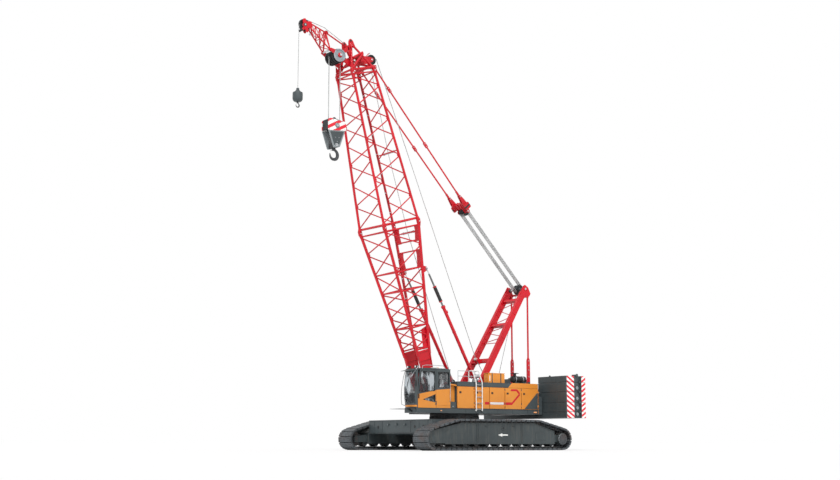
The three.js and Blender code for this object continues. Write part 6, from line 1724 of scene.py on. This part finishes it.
# ladder and its grips, bent tube
ladderFacts = {"x": 1.708, "rails": (0.06, 0.44), "kink": 3.33, "rungs": 5, "first": 1.99, "pitch": 0.30}
q = ladderFacts
lines = []
for y in q["rails"]:
    lines.append([(q["x"], y, 1.905), (q["x"], y, q["kink"] - 0.08),
                  (q["x"] - 0.008, y - 0.006, q["kink"] + 0.02),
                  (q["x"] - 0.045, y - 0.024, q["kink"] + 0.14), (1.540, y - 0.086, 3.85),
                  (1.515, y - 0.090, 3.880), (1.48, y - 0.090, 3.890)])
    lines[-1] += [(1.29, y - 0.090, 3.885), (1.250, y - 0.090, 3.865), (1.236, y - 0.090, 3.82),
                  (1.236, y - 0.090, 3.332)]
    lines.append([(1.642, y, 1.94), (q["x"], y, 1.94)])
lines.append([(1.530, q["rails"][0] - 0.09, 3.885), (1.530, q["rails"][1] - 0.09, 3.885)])
bars("ladder_rails", lines, 0.028, "whitePaint", "superstructure", 14, None, ("access_ladder",))
rungs = [[(q["x"], q["rails"][0], q["first"] + k * q["pitch"]),
          (q["x"], q["rails"][1], q["first"] + k * q["pitch"])] for k in range(q["rungs"])]
rungs += [[(1.672, q["rails"][0] - 0.02, 3.45), (1.672, q["rails"][1] - 0.02, 3.45)],
          [(1.585, q["rails"][0] - 0.06, 3.70), (1.585, q["rails"][1] - 0.06, 3.70)]]
bars("ladder_rungs", rungs, 0.019, "galvanised", "superstructure", 12)

# winches: flanged drums with laid rope, brackets and motors
winchFacts = {"front": (-0.15, 2.95, 0.30), "rear": (2.55, 2.85, 0.30), "half": 0.50, "rope": 0.022}
drums = Shape()
turns = []
for y, z, r in (winchFacts["front"], winchFacts["rear"]):
    half = winchFacts["half"]
    drums.wheel((0, y, z), [(-half + 0.05, 0.06), (half - 0.05, 0.06), (half - 0.05, r), (-half + 0.05, r)],
                "slatePaint", sides=48)
    for side in (-1, 1):
        drums.wheel((side * (half - 0.03), y, z),
                    [(-0.020, 0.08), (0.020, 0.08), (0.020, r + 0.125), (0.012, r + 0.139),
                     (-0.012, r + 0.139), (-0.020, r + 0.125)], "redPaint" if y < 0 else "slatePaint",
                    sides=56)
        drums.wheel((side * (half - 0.005), y, z), [(-0.010, 0.02), (0.0, 0.02), (0.0, 0.16), (-0.010, 0.18)],
                    "castSteel", sides=32)
        drums.prism([(y - 0.26, 2.022), (y + 0.26, 2.022), (y + 0.12, z - 0.05), (y + 0.08, z + 0.09),
                     (y - 0.08, z + 0.09), (y - 0.12, z - 0.05)], "x", side * (half + 0.002),
                    side * (half + 0.022), "redPaint")
    line = []
    count = int((2 * half - 0.14) / (winchFacts["rope"] * 2.05))
    for k in range(count * 20 + 1):
        a = 2 * math.pi * k / 20
        line.append((-half + 0.08 + winchFacts["rope"] * 2.05 * k / 20, y + (r + 0.020) * math.cos(a),
                     z + (r + 0.020) * math.sin(a)))
    turns.append(line)
drums.piece("winch_drums_turned", "superstructure", ("front_winch", "rear_winch"), 0.003)
wound = rope("winch_rope_turns", turns, winchFacts["rope"], "ropeDark", 6)
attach(wound, "superstructure")
base = Shape()
for y, z, r in (winchFacts["front"], winchFacts["rear"]):
    base.block(-0.30, 0.30, y - 0.26, y + 0.26, 2.022, z - r - 0.02, "slatePaint")
    for x in (-0.24, 0.0, 0.24):
        base.block(x - 0.012, x + 0.012, y - 0.30, y + 0.30, 2.022, z - r - 0.05, "slatePaint")
    base.wheel((0, y + 0.30, z - r + 0.02),
               [(-0.22, 0.02), (0.22, 0.02), (0.22, 0.08), (0.18, 0.095), (-0.18, 0.095), (-0.22, 0.08)],
               "blackPaint", sides=28)
base.piece("winch_bases", "superstructure", (), 0.004)

# orange tank with cap, straps and gauge; muffler with stack and rain cap
kit = Shape()
kit.prism([(1.071, 3.335), (2.130, 3.335), (2.130, 3.745), (2.09, 3.800), (1.111, 3.800), (1.071, 3.745)],
          "x", 1.062, 1.419, "orangePaint")
kit.block(1.052, 1.429, 1.062, 2.139, 3.792, 3.826, "orangePaint")
for y in (1.32, 1.88):
    kit.block(1.050, 1.431, y - 0.025, y + 0.025, 3.334, 3.8295, "slatePaint")
kit.wheel((1.24, 1.60, 3.826), [(0, 0.01), (0, 0.055), (0.003, 0.055), (0.003, 0.01)], "blackPaint", "z", 28)
# the gauge window takes the lamp lens finish and glows faintly: painted light on a part that is no lamp
kit.block(1.419, 1.424, 1.15, 1.19, 3.42, 3.70, "clearLens")
kit.prism([(1.45, 3.45), (1.75, 3.45), (1.75, 3.70), (1.45, 3.70)], "x", 1.419, 1.4255, "orangePaint")
kit.piece("tank_detail", "superstructure", ("hydraulic_tank",), 0.008)
pipe = Shape()
pipe.wheel((1.23, 0, 3.56),
           [(2.745, 0.02), (2.745, 0.12), (2.765, 0.155), (2.80, 0.165), (2.96, 0.165), (2.965, 0.161),
            (3.41, 0.161), (3.415, 0.165), (3.58, 0.165), (3.615, 0.155), (3.635, 0.12), (3.635, 0.02)],
           "blackPaint", "y", 48)
for y in (2.95, 3.42):
    pipe.wheel((1.23, y, 3.56), [(-0.02, 0.160), (0.02, 0.160), (0.02, 0.170), (-0.02, 0.170)], "steel", "y",
               48)
    pipe.block(1.10, 1.36, y - 0.03, y + 0.03, 3.331, 3.45, "slatePaint")
pipe.wheel((1.23, 2.96, 0), [(3.70, 0.060), (3.846, 0.060), (3.846, 0.080), (3.70, 0.080)], "blackPaint", "z",
           36)
pipe.wheel((1.23, 2.96, 0),
           [(3.850, 0.01), (3.884, 0.01), (3.876, 0.15), (3.862, 0.228), (3.852, 0.228), (3.855, 0.14)],
           "blackPaint", "z", 40)
for side in (-1, 1):
    pipe.tube([(1.23 + side * 0.07, 2.96, 3.83), (1.23 + side * 0.07, 2.96, 3.862)], 0.008, "blackPaint", 8)
pipe.piece("muffler_turned", "superstructure", ("muffler",), 0.002)

# deck between the houses: hoses, valve block, chequered plates, boom foot pins
deck = Shape()
for k in range(4):
    deck.block(-0.46 + k * 0.25, -0.26 + k * 0.25, 1.02, 1.40, 2.022, 2.30 - (k % 2) * 0.05, "blackPaint")
    deck.tube([(-0.36 + k * 0.25, 1.20, 2.24), (-0.36 + k * 0.25, 1.20, 2.36)], 0.02, "galvanised", 8)
for side in (-1, 1):
    deck.tube([(side * 0.30, -1.707, 2.457), (side * 0.66, -1.707, 2.457)], 0.066, "steel", 28)
    deck.wheel((side * 0.655, -1.707, 2.457), [(-0.012, 0.02), (0.010, 0.02), (0.010, 0.105), (-0.012, 0.11)],
               "redPaint", sides=32)
    deck.tube([(side * 0.83, 0.608, 3.450), (side * 1.012, 0.608, 3.450)], 0.036, "steel", 20)
    deck.tube([(side * 0.60, 0.645, 2.549), (side * 0.88, 0.645, 2.549)], 0.050, "steel", 24)
deck.block(-1.60, -0.70, -2.85, -1.12, 2.022, 2.032, "castSteel")
deck.piece("deck_fittings", "superstructure", (), 0.003)
hoses = []
for k in range(6):
    x = -0.40 + k * 0.15
    hoses.append([(x, 1.45, 2.10), (x + 0.02, 1.75, 2.06), (x * 0.8, 2.0, 2.07), (x * 0.7, 2.20, 2.12)])
    hoses.append([(x, 0.98, 2.12), (x * 0.9, 0.75, 2.06), (x * 0.8, 0.45, 2.08), (x * 0.8, 0.22, 2.15)])
bars("deck_hoses", hoses, 0.022, "rubber", "superstructure", 8)
print("house and deck made")


# cab: curved leaning windscreen, two-colour skins, seals, rails, wiper, lamps, seat and levers
cabFacts = {
    "inner": 0.668, "outer": 1.648, "front": -3.463, "bulge": 0.150,
    "door": (-3.459, -2.372), "split": (2.66, 2.88), "screen": (2.10, 3.74),
}
c = cabFacts


def frontOf(x, z, out=0.0):
    s = min(1.0, max(0.0, (x - c["inner"]) / (c["outer"] - c["inner"])))
    belly = 0.15 * math.sin(math.pi * min(1.0, max(0.0, (3.88 - z) / 2.0)))
    return c["front"] - (c["bulge"] + belly) * max(0.0, math.sin(math.pi * s)) ** 0.8 - out - 0.35 * belly


# a sheet of the cab's front between two heights and two x values
def frontSheet(shape, x0, x1, z0, z1, out, thick, finish, columns=14, rows=8):
    points, faces = [], []
    for layer in (out, out - thick):
        for i in range(rows + 1):
            for k in range(columns + 1):
                x, z = lerp(x0, x1, k / columns), lerp(z0, z1, i / rows)
                points.append((x, frontOf(x, z, layer), z))
    n = columns + 1
    half = n * (rows + 1)
    for i in range(rows):
        for k in range(columns):
            a = i * n + k
            faces += [(a, a + 1, a + n + 1, a + n), (half + a, half + a + n, half + a + n + 1, half + a + 1)]
    rim = [k for k in range(n)] + [i * n + columns for i in range(1, rows + 1)] + [
        rows * n + k for k in range(columns - 1, -1, -1)] + [i * n for i in range(rows - 1, 0, -1)]
    faces += [(a, half + a, half + b, b) for a, b in zip(rim, rim[1:] + rim[:1])]
    return shape.add(points, faces, finish)


screen = Shape()
frontSheet(screen, c["inner"] + 0.055, c["outer"] - 0.055, c["screen"][0] + 0.12, c["screen"][1], 0.012,
           0.008, "glass", 24, 14)
screen.piece("windscreen_curved", "superstructure", ("windscreen",), 0.0)
front = Shape()
frontSheet(front, c["inner"] + 0.005, c["outer"] - 0.004, 2.012, 2.060, 0.016, 0.05, "slatePaint", 20, 2)
frontSheet(front, c["inner"] + 0.005, c["outer"] - 0.004, 2.064, 2.145, 0.022, 0.05, "orangePaint", 20, 2)
frontSheet(front, c["inner"] + 0.005, c["outer"] - 0.004, 2.149, 2.225, 0.014, 0.05, "slatePaint", 20, 2)
frontSheet(front, c["inner"] + 0.005, c["outer"] - 0.004, c["screen"][1] - 0.01, 3.875, 0.014, 0.05,
           "slatePaint", 20, 3)
for x0, x1 in ((c["inner"] + 0.002, c["inner"] + 0.062), (c["outer"] - 0.062, c["outer"] - 0.002)):
    frontSheet(front, x0, x1, 2.015, 3.87, 0.016, 0.05, "slatePaint", 3, 20)
frontSheet(front, c["inner"] + 0.05, c["outer"] - 0.05, 2.62, 2.645, 0.016, 0.02, "blackPaint", 20, 1)
# filled sides under the leaning screen, level with the cab's side walls
for x0, x1 in ((c["inner"], c["inner"] + 0.03), (c["outer"] - 0.03, c["outer"] - 0.001)):
    edge = [(frontOf(x0 if x0 < 1 else x1, lerp(2.011, 3.875, k / 16), 0.010), lerp(2.011, 3.875, k / 16))
            for k in range(17)]
    front.prism([(c["front"] + 0.02, 2.011)] + edge + [(c["front"] + 0.02, 3.875)], "x", x0, x1, "slatePaint")
front.piece("cab_front_frame", "superstructure", (), 0.003)
wiper = [[(1.12, frontOf(1.12, 2.30, 0.03), 2.24), (1.20, frontOf(1.20, 2.7, 0.035), 2.70),
          (1.30, frontOf(1.30, 3.25, 0.035), 3.25)],
         [(1.22, frontOf(1.22, 2.85, 0.022), 2.80), (1.36, frontOf(1.36, 3.3, 0.022), 3.52)]]
bars("cab_wiper", wiper, 0.009, "blackPaint", "superstructure", 8)

# sides: orange below a rising line, dark above; window seals; roof with visor
y0, y1 = c["door"]
x = c["outer"]
door = Shape()
p = [(y0 + 0.006, 2.024), (y1 - 0.006, 2.024), (y1 - 0.006, c["split"][1]), (y0 + 0.006, c["split"][0])]
tri = [(y0 + 0.33, 2.42), (y1 - 0.06, 2.30), (y1 - 0.06, 2.66)]
for outline in ([p[0], p[1], tri[1], tri[0]], [p[1], p[2], tri[2], tri[1]], [p[2], p[3], tri[0], tri[2]],
                [p[3], p[0], tri[0]]):
    door.prism(outline, "x", x - 0.001, x + 0.006, "orangePaint")
seal = [(y0 + 0.09, 2.78), (y1 - 0.09, 2.86), (y1 - 0.09, 3.75), (y0 + 0.21, 3.75)]


def framed(shape, outline, wide, x0, x1, finish):
    middle = (sum(a for a, _ in outline) / len(outline), sum(b for _, b in outline) / len(outline))
    outer = []
    for a, b in outline:
        away = Vector((a - middle[0], b - middle[1]))
        outer.append((a + away.normalized().x * wide, b + away.normalized().y * wide))
    for i in range(len(outline)):
        k = (i + 1) % len(outline)
        shape.prism([outline[i], outline[k], outer[k], outer[i]], "x", x0, x1, finish)


framed(door, seal, 0.045, x - 0.004, x + 0.008, "blackPaint")
framed(door, tri, 0.035, x - 0.004, x + 0.009, "blackPaint")
door.tube([(x + 0.003, -3.419, 2.48), (x + 0.040, -3.419, 2.50), (x + 0.040, -3.419, 2.64),
           (x + 0.003, -3.419, 2.66)], 0.014, "blackPaint", 12)
door.block(x, x + 0.016, -3.445, -3.39, 2.46, 2.68, "blackPaint")
door.block(x - 0.045, x + 0.004, y0 + 0.004, y1 - 0.004, 2.018, 2.026, "rubber")
door.tube([(x - 0.06, y0 + 0.16, 2.86), (x - 0.10, y0 + 0.18, 2.90), (x - 0.10, y0 + 0.26, 3.55),
           (x - 0.06, y0 + 0.27, 3.60)], 0.013, "blackPaint", 10)
door.piece("cab_door_skins", "cab_door_leaf", (), 0.002)
pane = Shape()
pane.prism(seal, "x", x - 0.030, x - 0.024, "glass")
pane.prism(tri, "x", x - 0.030, x - 0.024, "glass")
pane.piece("cab_door_glass", "cab_door_leaf", ("door_window",), 0.0)

sideSkin = Shape()
lower = [(y1 + 0.008, 2.024), (-1.504, 2.024), (-1.504, 2.96), (y1 + 0.008, c["split"][1] + 0.005)]
sideSkin.prism(lower, "x", x - 0.001, x + 0.006, "orangePaint")
sideSkin.prism([(y1 + 0.05, 2.150), (-1.53, 2.150), (-1.515, 2.185), (-1.53, 2.22), (y1 + 0.05, 2.205)], "x",
               x, x + 0.016, "orangePaint")
sideSkin.prism([(-1.87, 2.60), (-1.66, 2.60), (-1.66, 2.66), (-1.87, 2.66)], "x", x, x + 0.010, "orangePaint")
window = [(-2.213, 3.02), (-1.588, 3.02), (-1.588, 3.73), (-2.213, 3.73)]
framed(sideSkin, window, 0.040, x - 0.004, x + 0.008, "blackPaint")
sideSkin.tube([(x + 0.005, -1.545, 2.35), (x + 0.05, -1.545, 2.37), (x + 0.05, -1.545, 3.25),
               (x + 0.005, -1.545, 3.27)], 0.014, "galvanised", 12)
framed(sideSkin, [(-3.313, 2.74), (-1.748, 2.74), (-1.748, 3.73), (-3.313, 3.73)], 0.035, 0.660, 0.672,
       "blackPaint")
for z in (3.02, 3.73):
    sideSkin.block(0.79, 1.53, -1.500, -1.488, z - 0.02, z + 0.02, "blackPaint")
for xx in (0.80, 1.516):
    sideSkin.block(xx - 0.02, xx + 0.02, -1.500, -1.488, 3.0, 3.75, "blackPaint")
sideSkin.block(0.674, 1.655, -3.49, -1.485, 3.868, 3.900, "slatePaint")
sideSkin.block(0.70, 1.61, -3.20, -1.60, 3.895, 3.925, "slatePaint")
for k in range(5):
    sideSkin.block(0.78 + k * 0.18, 0.82 + k * 0.18, -3.10, -1.70, 3.92, 3.935, "slatePaint")
sideSkin.prism([(-3.47, 3.80), (-3.80, 3.77), (-3.80, 3.785), (-3.47, 3.86)], "x", 0.70, 1.62, "slatePaint")
for xx in (0.84, 1.48):
    sideSkin.block(xx - 0.10, xx + 0.10, -3.48, -3.36, 3.93, 4.03, "blackPaint")
    sideSkin.wheel((xx, -3.485, 3.98), [(-0.012, 0.005), (0.006, 0.005), (0.006, 0.042), (-0.012, 0.046)],
                   "clearLens", "y", 24)
sideSkin.wheel((1.15, -1.9, 3.925), [(0, 0.01), (0.09, 0.01), (0.09, 0.045), (0.07, 0.06), (0, 0.065)],
               "amberLens", "z", 28)
sideSkin.block(1.20, 1.42, -2.35, -2.05, 3.925, 3.985, "whitePaint")
sideSkin.piece("cab_side_skins", "superstructure", (), 0.003)
sidePane = Shape()
sidePane.prism(window, "x", x - 0.033, x - 0.027, "glass")
sidePane.block(0.81, 1.505, -1.532, -1.526, 3.022, 3.728, "glass")
sidePane.prism([(-3.311, 2.742), (-1.75, 2.742), (-1.75, 3.728), (-3.311, 3.728)], "x", 0.695, 0.701, "glass")
sidePane.piece("cab_fixed_glass", "superstructure", ("side_window",), 0.0)
bars("cab_front_rail",
     [[(0.80, -3.56, 2.12), (0.80, -3.80, 2.18), (0.80, -3.83, 2.5), (0.80, -3.80, 3.0), (0.80, -3.70, 3.50),
       (0.80, -3.60, 3.80)]], 0.011, "blackPaint", "superstructure", 10)
rails = [[(1.62, -3.34, 4.00), (1.60, -3.52, 3.86), (1.47, -3.72, 3.50)],
         [(1.655, -3.20, 3.88), (1.68, -3.20, 4.02), (1.68, -3.0, 4.06), (1.62, -1.9, 4.06),
          (1.60, -1.75, 3.90)],
         [(1.60, -3.46, 3.90), (1.63, -3.44, 4.01), (1.40, -3.30, 4.05), (1.10, -3.20, 3.92)]]
bars("cab_hand_rails", rails, 0.014, "galvanised", "superstructure", 10)
step = Shape()
step.block(1.16, 1.60, -3.88, -3.62, 1.985, 2.003, "castSteel")
for k in range(3):
    step.block(1.18 + k * 0.15, 1.22 + k * 0.15, -3.87, -3.63, 2.001, 2.012, "castSteel")
for xx in (1.22, 1.55):
    step.prism([(-3.50, 1.80), (-3.46, 1.80), (-3.60, 1.99), (-3.84, 1.985)], "x", xx - 0.015, xx + 0.015,
               "slatePaint")
mirror = Shape()
mirror.tube([(1.63, -3.53, 3.35), (1.76, -3.66, 3.38), (1.78, -3.68, 3.30)], 0.011, "blackPaint", 10)
mirror.prism([(-3.72, 3.02), (-3.64, 3.02), (-3.62, 3.06), (-3.62, 3.27), (-3.64, 3.30), (-3.72, 3.30)], "x",
             1.765, 1.795, "blackPaint")
step.take(mirror)
step.piece("cab_step_and_mirror", "superstructure", (), 0.003)

# inside: seat, consoles, levers, pedals, screen
seat = Shape()
xc = 1.158
seat.prism([(-2.50, 2.085), (-2.15, 2.085), (-2.20, 2.40), (-2.45, 2.40)], "x", xc - 0.16, xc + 0.16,
           "blackPaint")
seat.prism([(-2.64, 2.44), (-2.60, 2.40), (-2.10, 2.40), (-2.09, 2.50), (-2.14, 2.555), (-2.56, 2.56),
            (-2.63, 2.52)], "x", xc - 0.245, xc + 0.245, "cloth")
seat.prism([(-2.16, 2.50), (-2.06, 2.50), (-1.945, 3.18), (-1.97, 3.215), (-2.035, 3.218), (-2.07, 3.17)],
           "x", xc - 0.235, xc + 0.235, "cloth")
seat.prism([(-2.03, 3.20), (-1.96, 3.20), (-1.945, 3.36), (-1.97, 3.40), (-2.01, 3.39)], "x", xc - 0.12,
           xc + 0.12, "cloth")
for side in (-1, 1):
    seat.prism([(-2.75, 2.52), (-2.70, 2.50), (-2.20, 2.50), (-2.20, 2.69), (-2.30, 2.70), (-2.75, 2.66)],
               "x", xc + side * 0.25, xc + side * 0.33, "blackPaint")
    seat.tube([(xc + side * 0.29, -2.66, 2.68), (xc + side * 0.29, -2.68, 2.86)], [0.012, 0.010], "steel", 10)
    seat.tube([(xc + side * 0.29, -2.68, 2.84), (xc + side * 0.29, -2.69, 2.93)], [0.022, 0.026],
              "blackPaint", 14)
seat.piece("operator_seat_padded", "superstructure", ("operator_seat",), 0.012)
inside = Shape()
inside.prism([(-3.30, 2.11), (-3.12, 2.11), (-3.22, 2.55), (-3.32, 2.58)], "x", 0.90, 1.42, "blackPaint")
inside.prism([(-3.34, 2.70), (-3.28, 2.68), (-3.26, 2.92), (-3.32, 2.94)], "x", 1.30, 1.56, "blackPaint")
for xx in (1.02, 1.16, 1.30):
    inside.prism([(-3.04, 2.10), (-2.96, 2.10), (-3.08, 2.22), (-3.11, 2.20)], "x", xx - 0.04, xx + 0.04,
                 "rubber")
inside.tube([(1.16, -3.25, 2.50), (1.16, -3.05, 2.72)], 0.018, "blackPaint", 12)
inside.piece("cab_controls", "superstructure", (), 0.004)
print("cab made")


# counterweight: stacked slabs with seams, striped bands, lifting lugs; rear wall plates
slabFacts = {"x": 3.331, "front": 4.575, "rear": 5.921, "levels": (1.596, 1.908, 2.387, 2.913, 3.404, 3.721),
             "inner": 1.2, "slot": (5.135, 5.591, 0.12), "seam": 0.006}
k = slabFacts
stack = Shape()
for z0, z1 in zip(k["levels"], k["levels"][1:]):
    raised = z0 > k["levels"][0]
    low, high = z0 + (k["seam"] if raised else 0.0), z1 - k["seam"]
    for side in (-1, 1):
        a, e = k["inner"] if raised else 0.0, k["x"]
        s0, s1, deep = k["slot"]
        corner = 0.035
        outline = [(side * a, k["front"]), (side * (e - corner), k["front"]), (side * e, k["front"] + corner),
                   (side * e, s0), (side * (e - deep), s0), (side * (e - deep), s1), (side * e, s1),
                   (side * e, k["rear"] - corner), (side * (e - corner), k["rear"]), (side * a, k["rear"])]
        stack.prism(outline, "z", low, high, "slatePaint")
        if raised:
            stack.block(side * (a + 0.01), side * (e - deep - 0.02), k["front"] + 0.014, k["rear"] - 0.014,
                        z0, z0 + 0.02, "blackPaint")
        stack.block(side * (e - 0.0005), side * (e + 0.0025), k["front"] + corner, s0 - 0.03, low + 0.004,
                    high - 0.004, "stripeFront")
        stack.block(side * (e - 0.0005), side * (e + 0.0025), s1 + 0.03, k["rear"] - corner, low + 0.004,
                    high - 0.004, "stripeRear")
        stack.block(side * (e - 0.55), side * (e - corner), k["rear"] - 0.0005, k["rear"] + 0.0025,
                    low + 0.004, high - 0.004, "stripeBack")
stack.piece("counterweight_slabs", "superstructure",
            ("counterweight_left", "counterweight_right", "counterweight_base"), 0.010)
fittings = Shape()
for side in (-1, 1):
    s0, s1, deep = k["slot"]
    floor = side * (k["x"] - deep)
    for z0 in k["levels"][:4]:
        z = z0 + 0.20
        fittings.tube([(floor - side * 0.01, 5.345, z), (side * (k["x"] - 0.02), 5.345, z)], [0.060, 0.050],
                      "slatePaint", 24)
        fittings.wheel((side * (k["x"] - 0.03), 5.345, z),
                       [(-0.012, 0.01), (0.012, 0.01), (0.012, 0.078), (-0.012, 0.084)], "greyPaint",
                       sides=28)
        fittings.prism([(5.18, z - 0.12), (5.24, z - 0.12), (5.30, z - 0.06), (5.30, z + 0.06),
                        (5.24, z + 0.12), (5.18, z + 0.12)], "x", floor, floor + side * 0.05, "slatePaint")
    for z in k["levels"][1:5]:
        fittings.block(side * (k["x"] - 0.14), side * (k["x"] - 0.02), s1 - 0.10, s1 - 0.02, z - 0.05,
                       z + 0.05, "slatePaint")
    fittings.prism([(5.60, 3.715), (5.74, 3.715), (5.72, 3.81), (5.69, 3.848), (5.65, 3.848), (5.62, 3.81)],
                   "x", side * 2.915, side * 2.987, "slatePaint")
    fittings.prism([(5.26, 3.715), (5.40, 3.715), (5.38, 3.79), (5.28, 3.79)], "x", side * 3.0, side * 3.30,
                   "slatePaint")
    fittings.prism([(4.95, 3.715), (5.05, 3.715), (5.03, 3.80), (4.97, 3.80)], "x", side * 1.60, side * 1.66,
                   "slatePaint")
    fittings.block(side * 2.6, side * 2.63, 4.566, 4.578, 1.62, 3.70, "slatePaint")
for x0 in (-0.42, 0.40):
    fittings.block(x0, x0 + 0.02, 4.44, 4.60, 1.80, 2.01, "slatePaint")
for x0 in (-0.9, -0.3, 0.3, 0.9):
    fittings.block(x0 - 0.02, x0 + 0.02, 4.440, 4.452, 2.05, 2.66, "slatePaint")
fittings.tube([(-1.10, 4.46, 2.50), (1.10, 4.46, 2.50)], 0.018, "galvanised", 12)
fittings.piece("counterweight_fittings", "superstructure", (), 0.004)
lampsBack = Shape()
for side in (-1, 1):
    lampsBack.block(side * 2.35, side * 2.60, 5.9205, 5.930, 1.70, 1.80, "redLens")
    lampsBack.block(side * 2.345, side * 2.605, 5.920, 5.926, 1.695, 1.805, "blackPaint")
lampsBack.piece("rear_lamps", "superstructure", (), 0.002)
print("counterweight made")


# finishes of the CAD pieces that stay
kept = {"carbody": "slatePaint", "front_cross_beam": "slatePaint", "rear_cross_beam": "slatePaint",
        "track_frame_left": "trackPaint", "track_frame_right": "trackPaint", "sprocket_left": "castSteel",
        "sprocket_right": "castSteel", "idler_left": "castSteel", "idler_right": "castSteel",
        "slew_bearing": "castSteel", "revolving_frame": "slatePaint", "house_left": "slatePaint",
        "house_right": "slatePaint", "engine": "greyPaint", "cab": "slatePaint", "cab_door": "slatePaint",
        "left_fixed_panel": "orangePaint"}
kept.update({"left_door_" + str(i): "orangePaint" for i in (1, 2, 3, 4)})
kept.update({"right_door_" + str(i): "orangePaint" for i in (1, 2, 3)})
for name, finish in kept.items():
    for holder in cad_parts[name].material_slots:
        holder.material = paint[finish]
print("finishes of kept pieces set:", len(kept))


# camera, lamps, floor
cameraFacts = {"lens": 54.48, "sensor": 36.0, "reach": 2000.0, "place": (51.06684, -39.41058, 0.39549),
               "ahead": (-0.79765, 0.58233, 0.15699)}
camera = bpy.data.objects.new("camera", bpy.data.cameras.new("camera"))
camera.data.lens = cameraFacts["lens"]
camera.data.sensor_width = cameraFacts["sensor"]
camera.data.clip_end = cameraFacts["reach"]
ahead = Vector(cameraFacts["ahead"]).normalized()
right = ahead.cross(Vector((0, 0, 1))).normalized()
up = right.cross(ahead)
camera.matrix_world = Matrix.Translation(cameraFacts["place"]) @ Matrix((
                                             right, up, -ahead)).transposed().to_4x4()
bpy.context.scene.collection.objects.link(camera)
bpy.context.scene.camera = camera

lightFacts = {"sun": 1.9, "sunSpread": 24.0, "fill": 0.7, "sky": 0.62}


def sunLamp(name, strength, spread, direction):
    lamp = bpy.data.lights.new(name, "SUN")
    lamp.energy = strength
    lamp.angle = math.radians(spread)
    holder = bpy.data.objects.new(name, lamp)
    holder.rotation_euler = Vector(direction).to_track_quat("-Z", "Y").to_euler()
    bpy.context.scene.collection.objects.link(holder)


sunLamp("keySun", lightFacts["sun"], lightFacts["sunSpread"], (-0.55, 0.50, -0.85))
sunLamp("fillSun", lightFacts["fill"], 60.0, (-0.9, 0.1, -0.25))

world = bpy.data.worlds.new("paleSky")
bpy.context.scene.world = world
world.use_nodes = True
tree = world.node_tree
tree.nodes.clear()
rays = tree.nodes.new("ShaderNodeLightPath")
seen = Flow(tree, rays.outputs["Is Camera Ray"]).math("MAXIMUM", Flow(tree, rays.outputs["Is Camera Ray"]),
                                                      Flow(tree, rays.outputs["Is Transmission Ray"]))
glossy = Flow(tree, rays.outputs["Is Glossy Ray"])
sky = tree.nodes.new("ShaderNodeBackground")
sky.inputs["Color"].default_value = (1.0, 1.0, 1.0, 1)
level = seen.math("MAXIMUM", seen, glossy * 0.85) * (1.0 - lightFacts["sky"]) + lightFacts["sky"]
tree.links.new(level.socket, sky.inputs["Strength"])
tree.links.new(sky.outputs[0], tree.nodes.new("ShaderNodeOutputWorld").inputs["Surface"])


def floorFinish():
    made = Finish("paleFloor")
    fade = made.ramp(made.noise(0.05, 2), 0.3, 0.7)
    base = made.blend(fade * 0.1, (0.88, 0.88, 0.88, 1), (0.85, 0.85, 0.85, 1))
    plain = made.node("ShaderNodeBsdfPrincipled", None, {"Base Color": base, "Roughness": 0.9})
    lit = made.node("ShaderNodeEmission", None, {"Color": (1, 1, 1, 1), "Strength": 1.0})
    ray = made.node("ShaderNodeLightPath", out="Is Camera Ray")
    mixed = made.node("ShaderNodeMixShader", None, {0: ray * 0.42, 1: plain, 2: lit})
    made.link(mixed)
    return made.material


floorMesh = bpy.data.meshes.new("floor")
floorMesh.from_pydata([(-1200, -1200, -0.002), (1200, -1200, -0.002), (1200, 1200, -0.002),
                       (-1200, 1200, -0.002)], [], [(0, 1, 2, 3)])
floorMesh.materials.append(floorFinish())
floor = bpy.data.objects.new("floor", floorMesh)
bpy.context.scene.collection.objects.link(floor)
bpy.context.scene.view_settings.view_transform = "Standard"
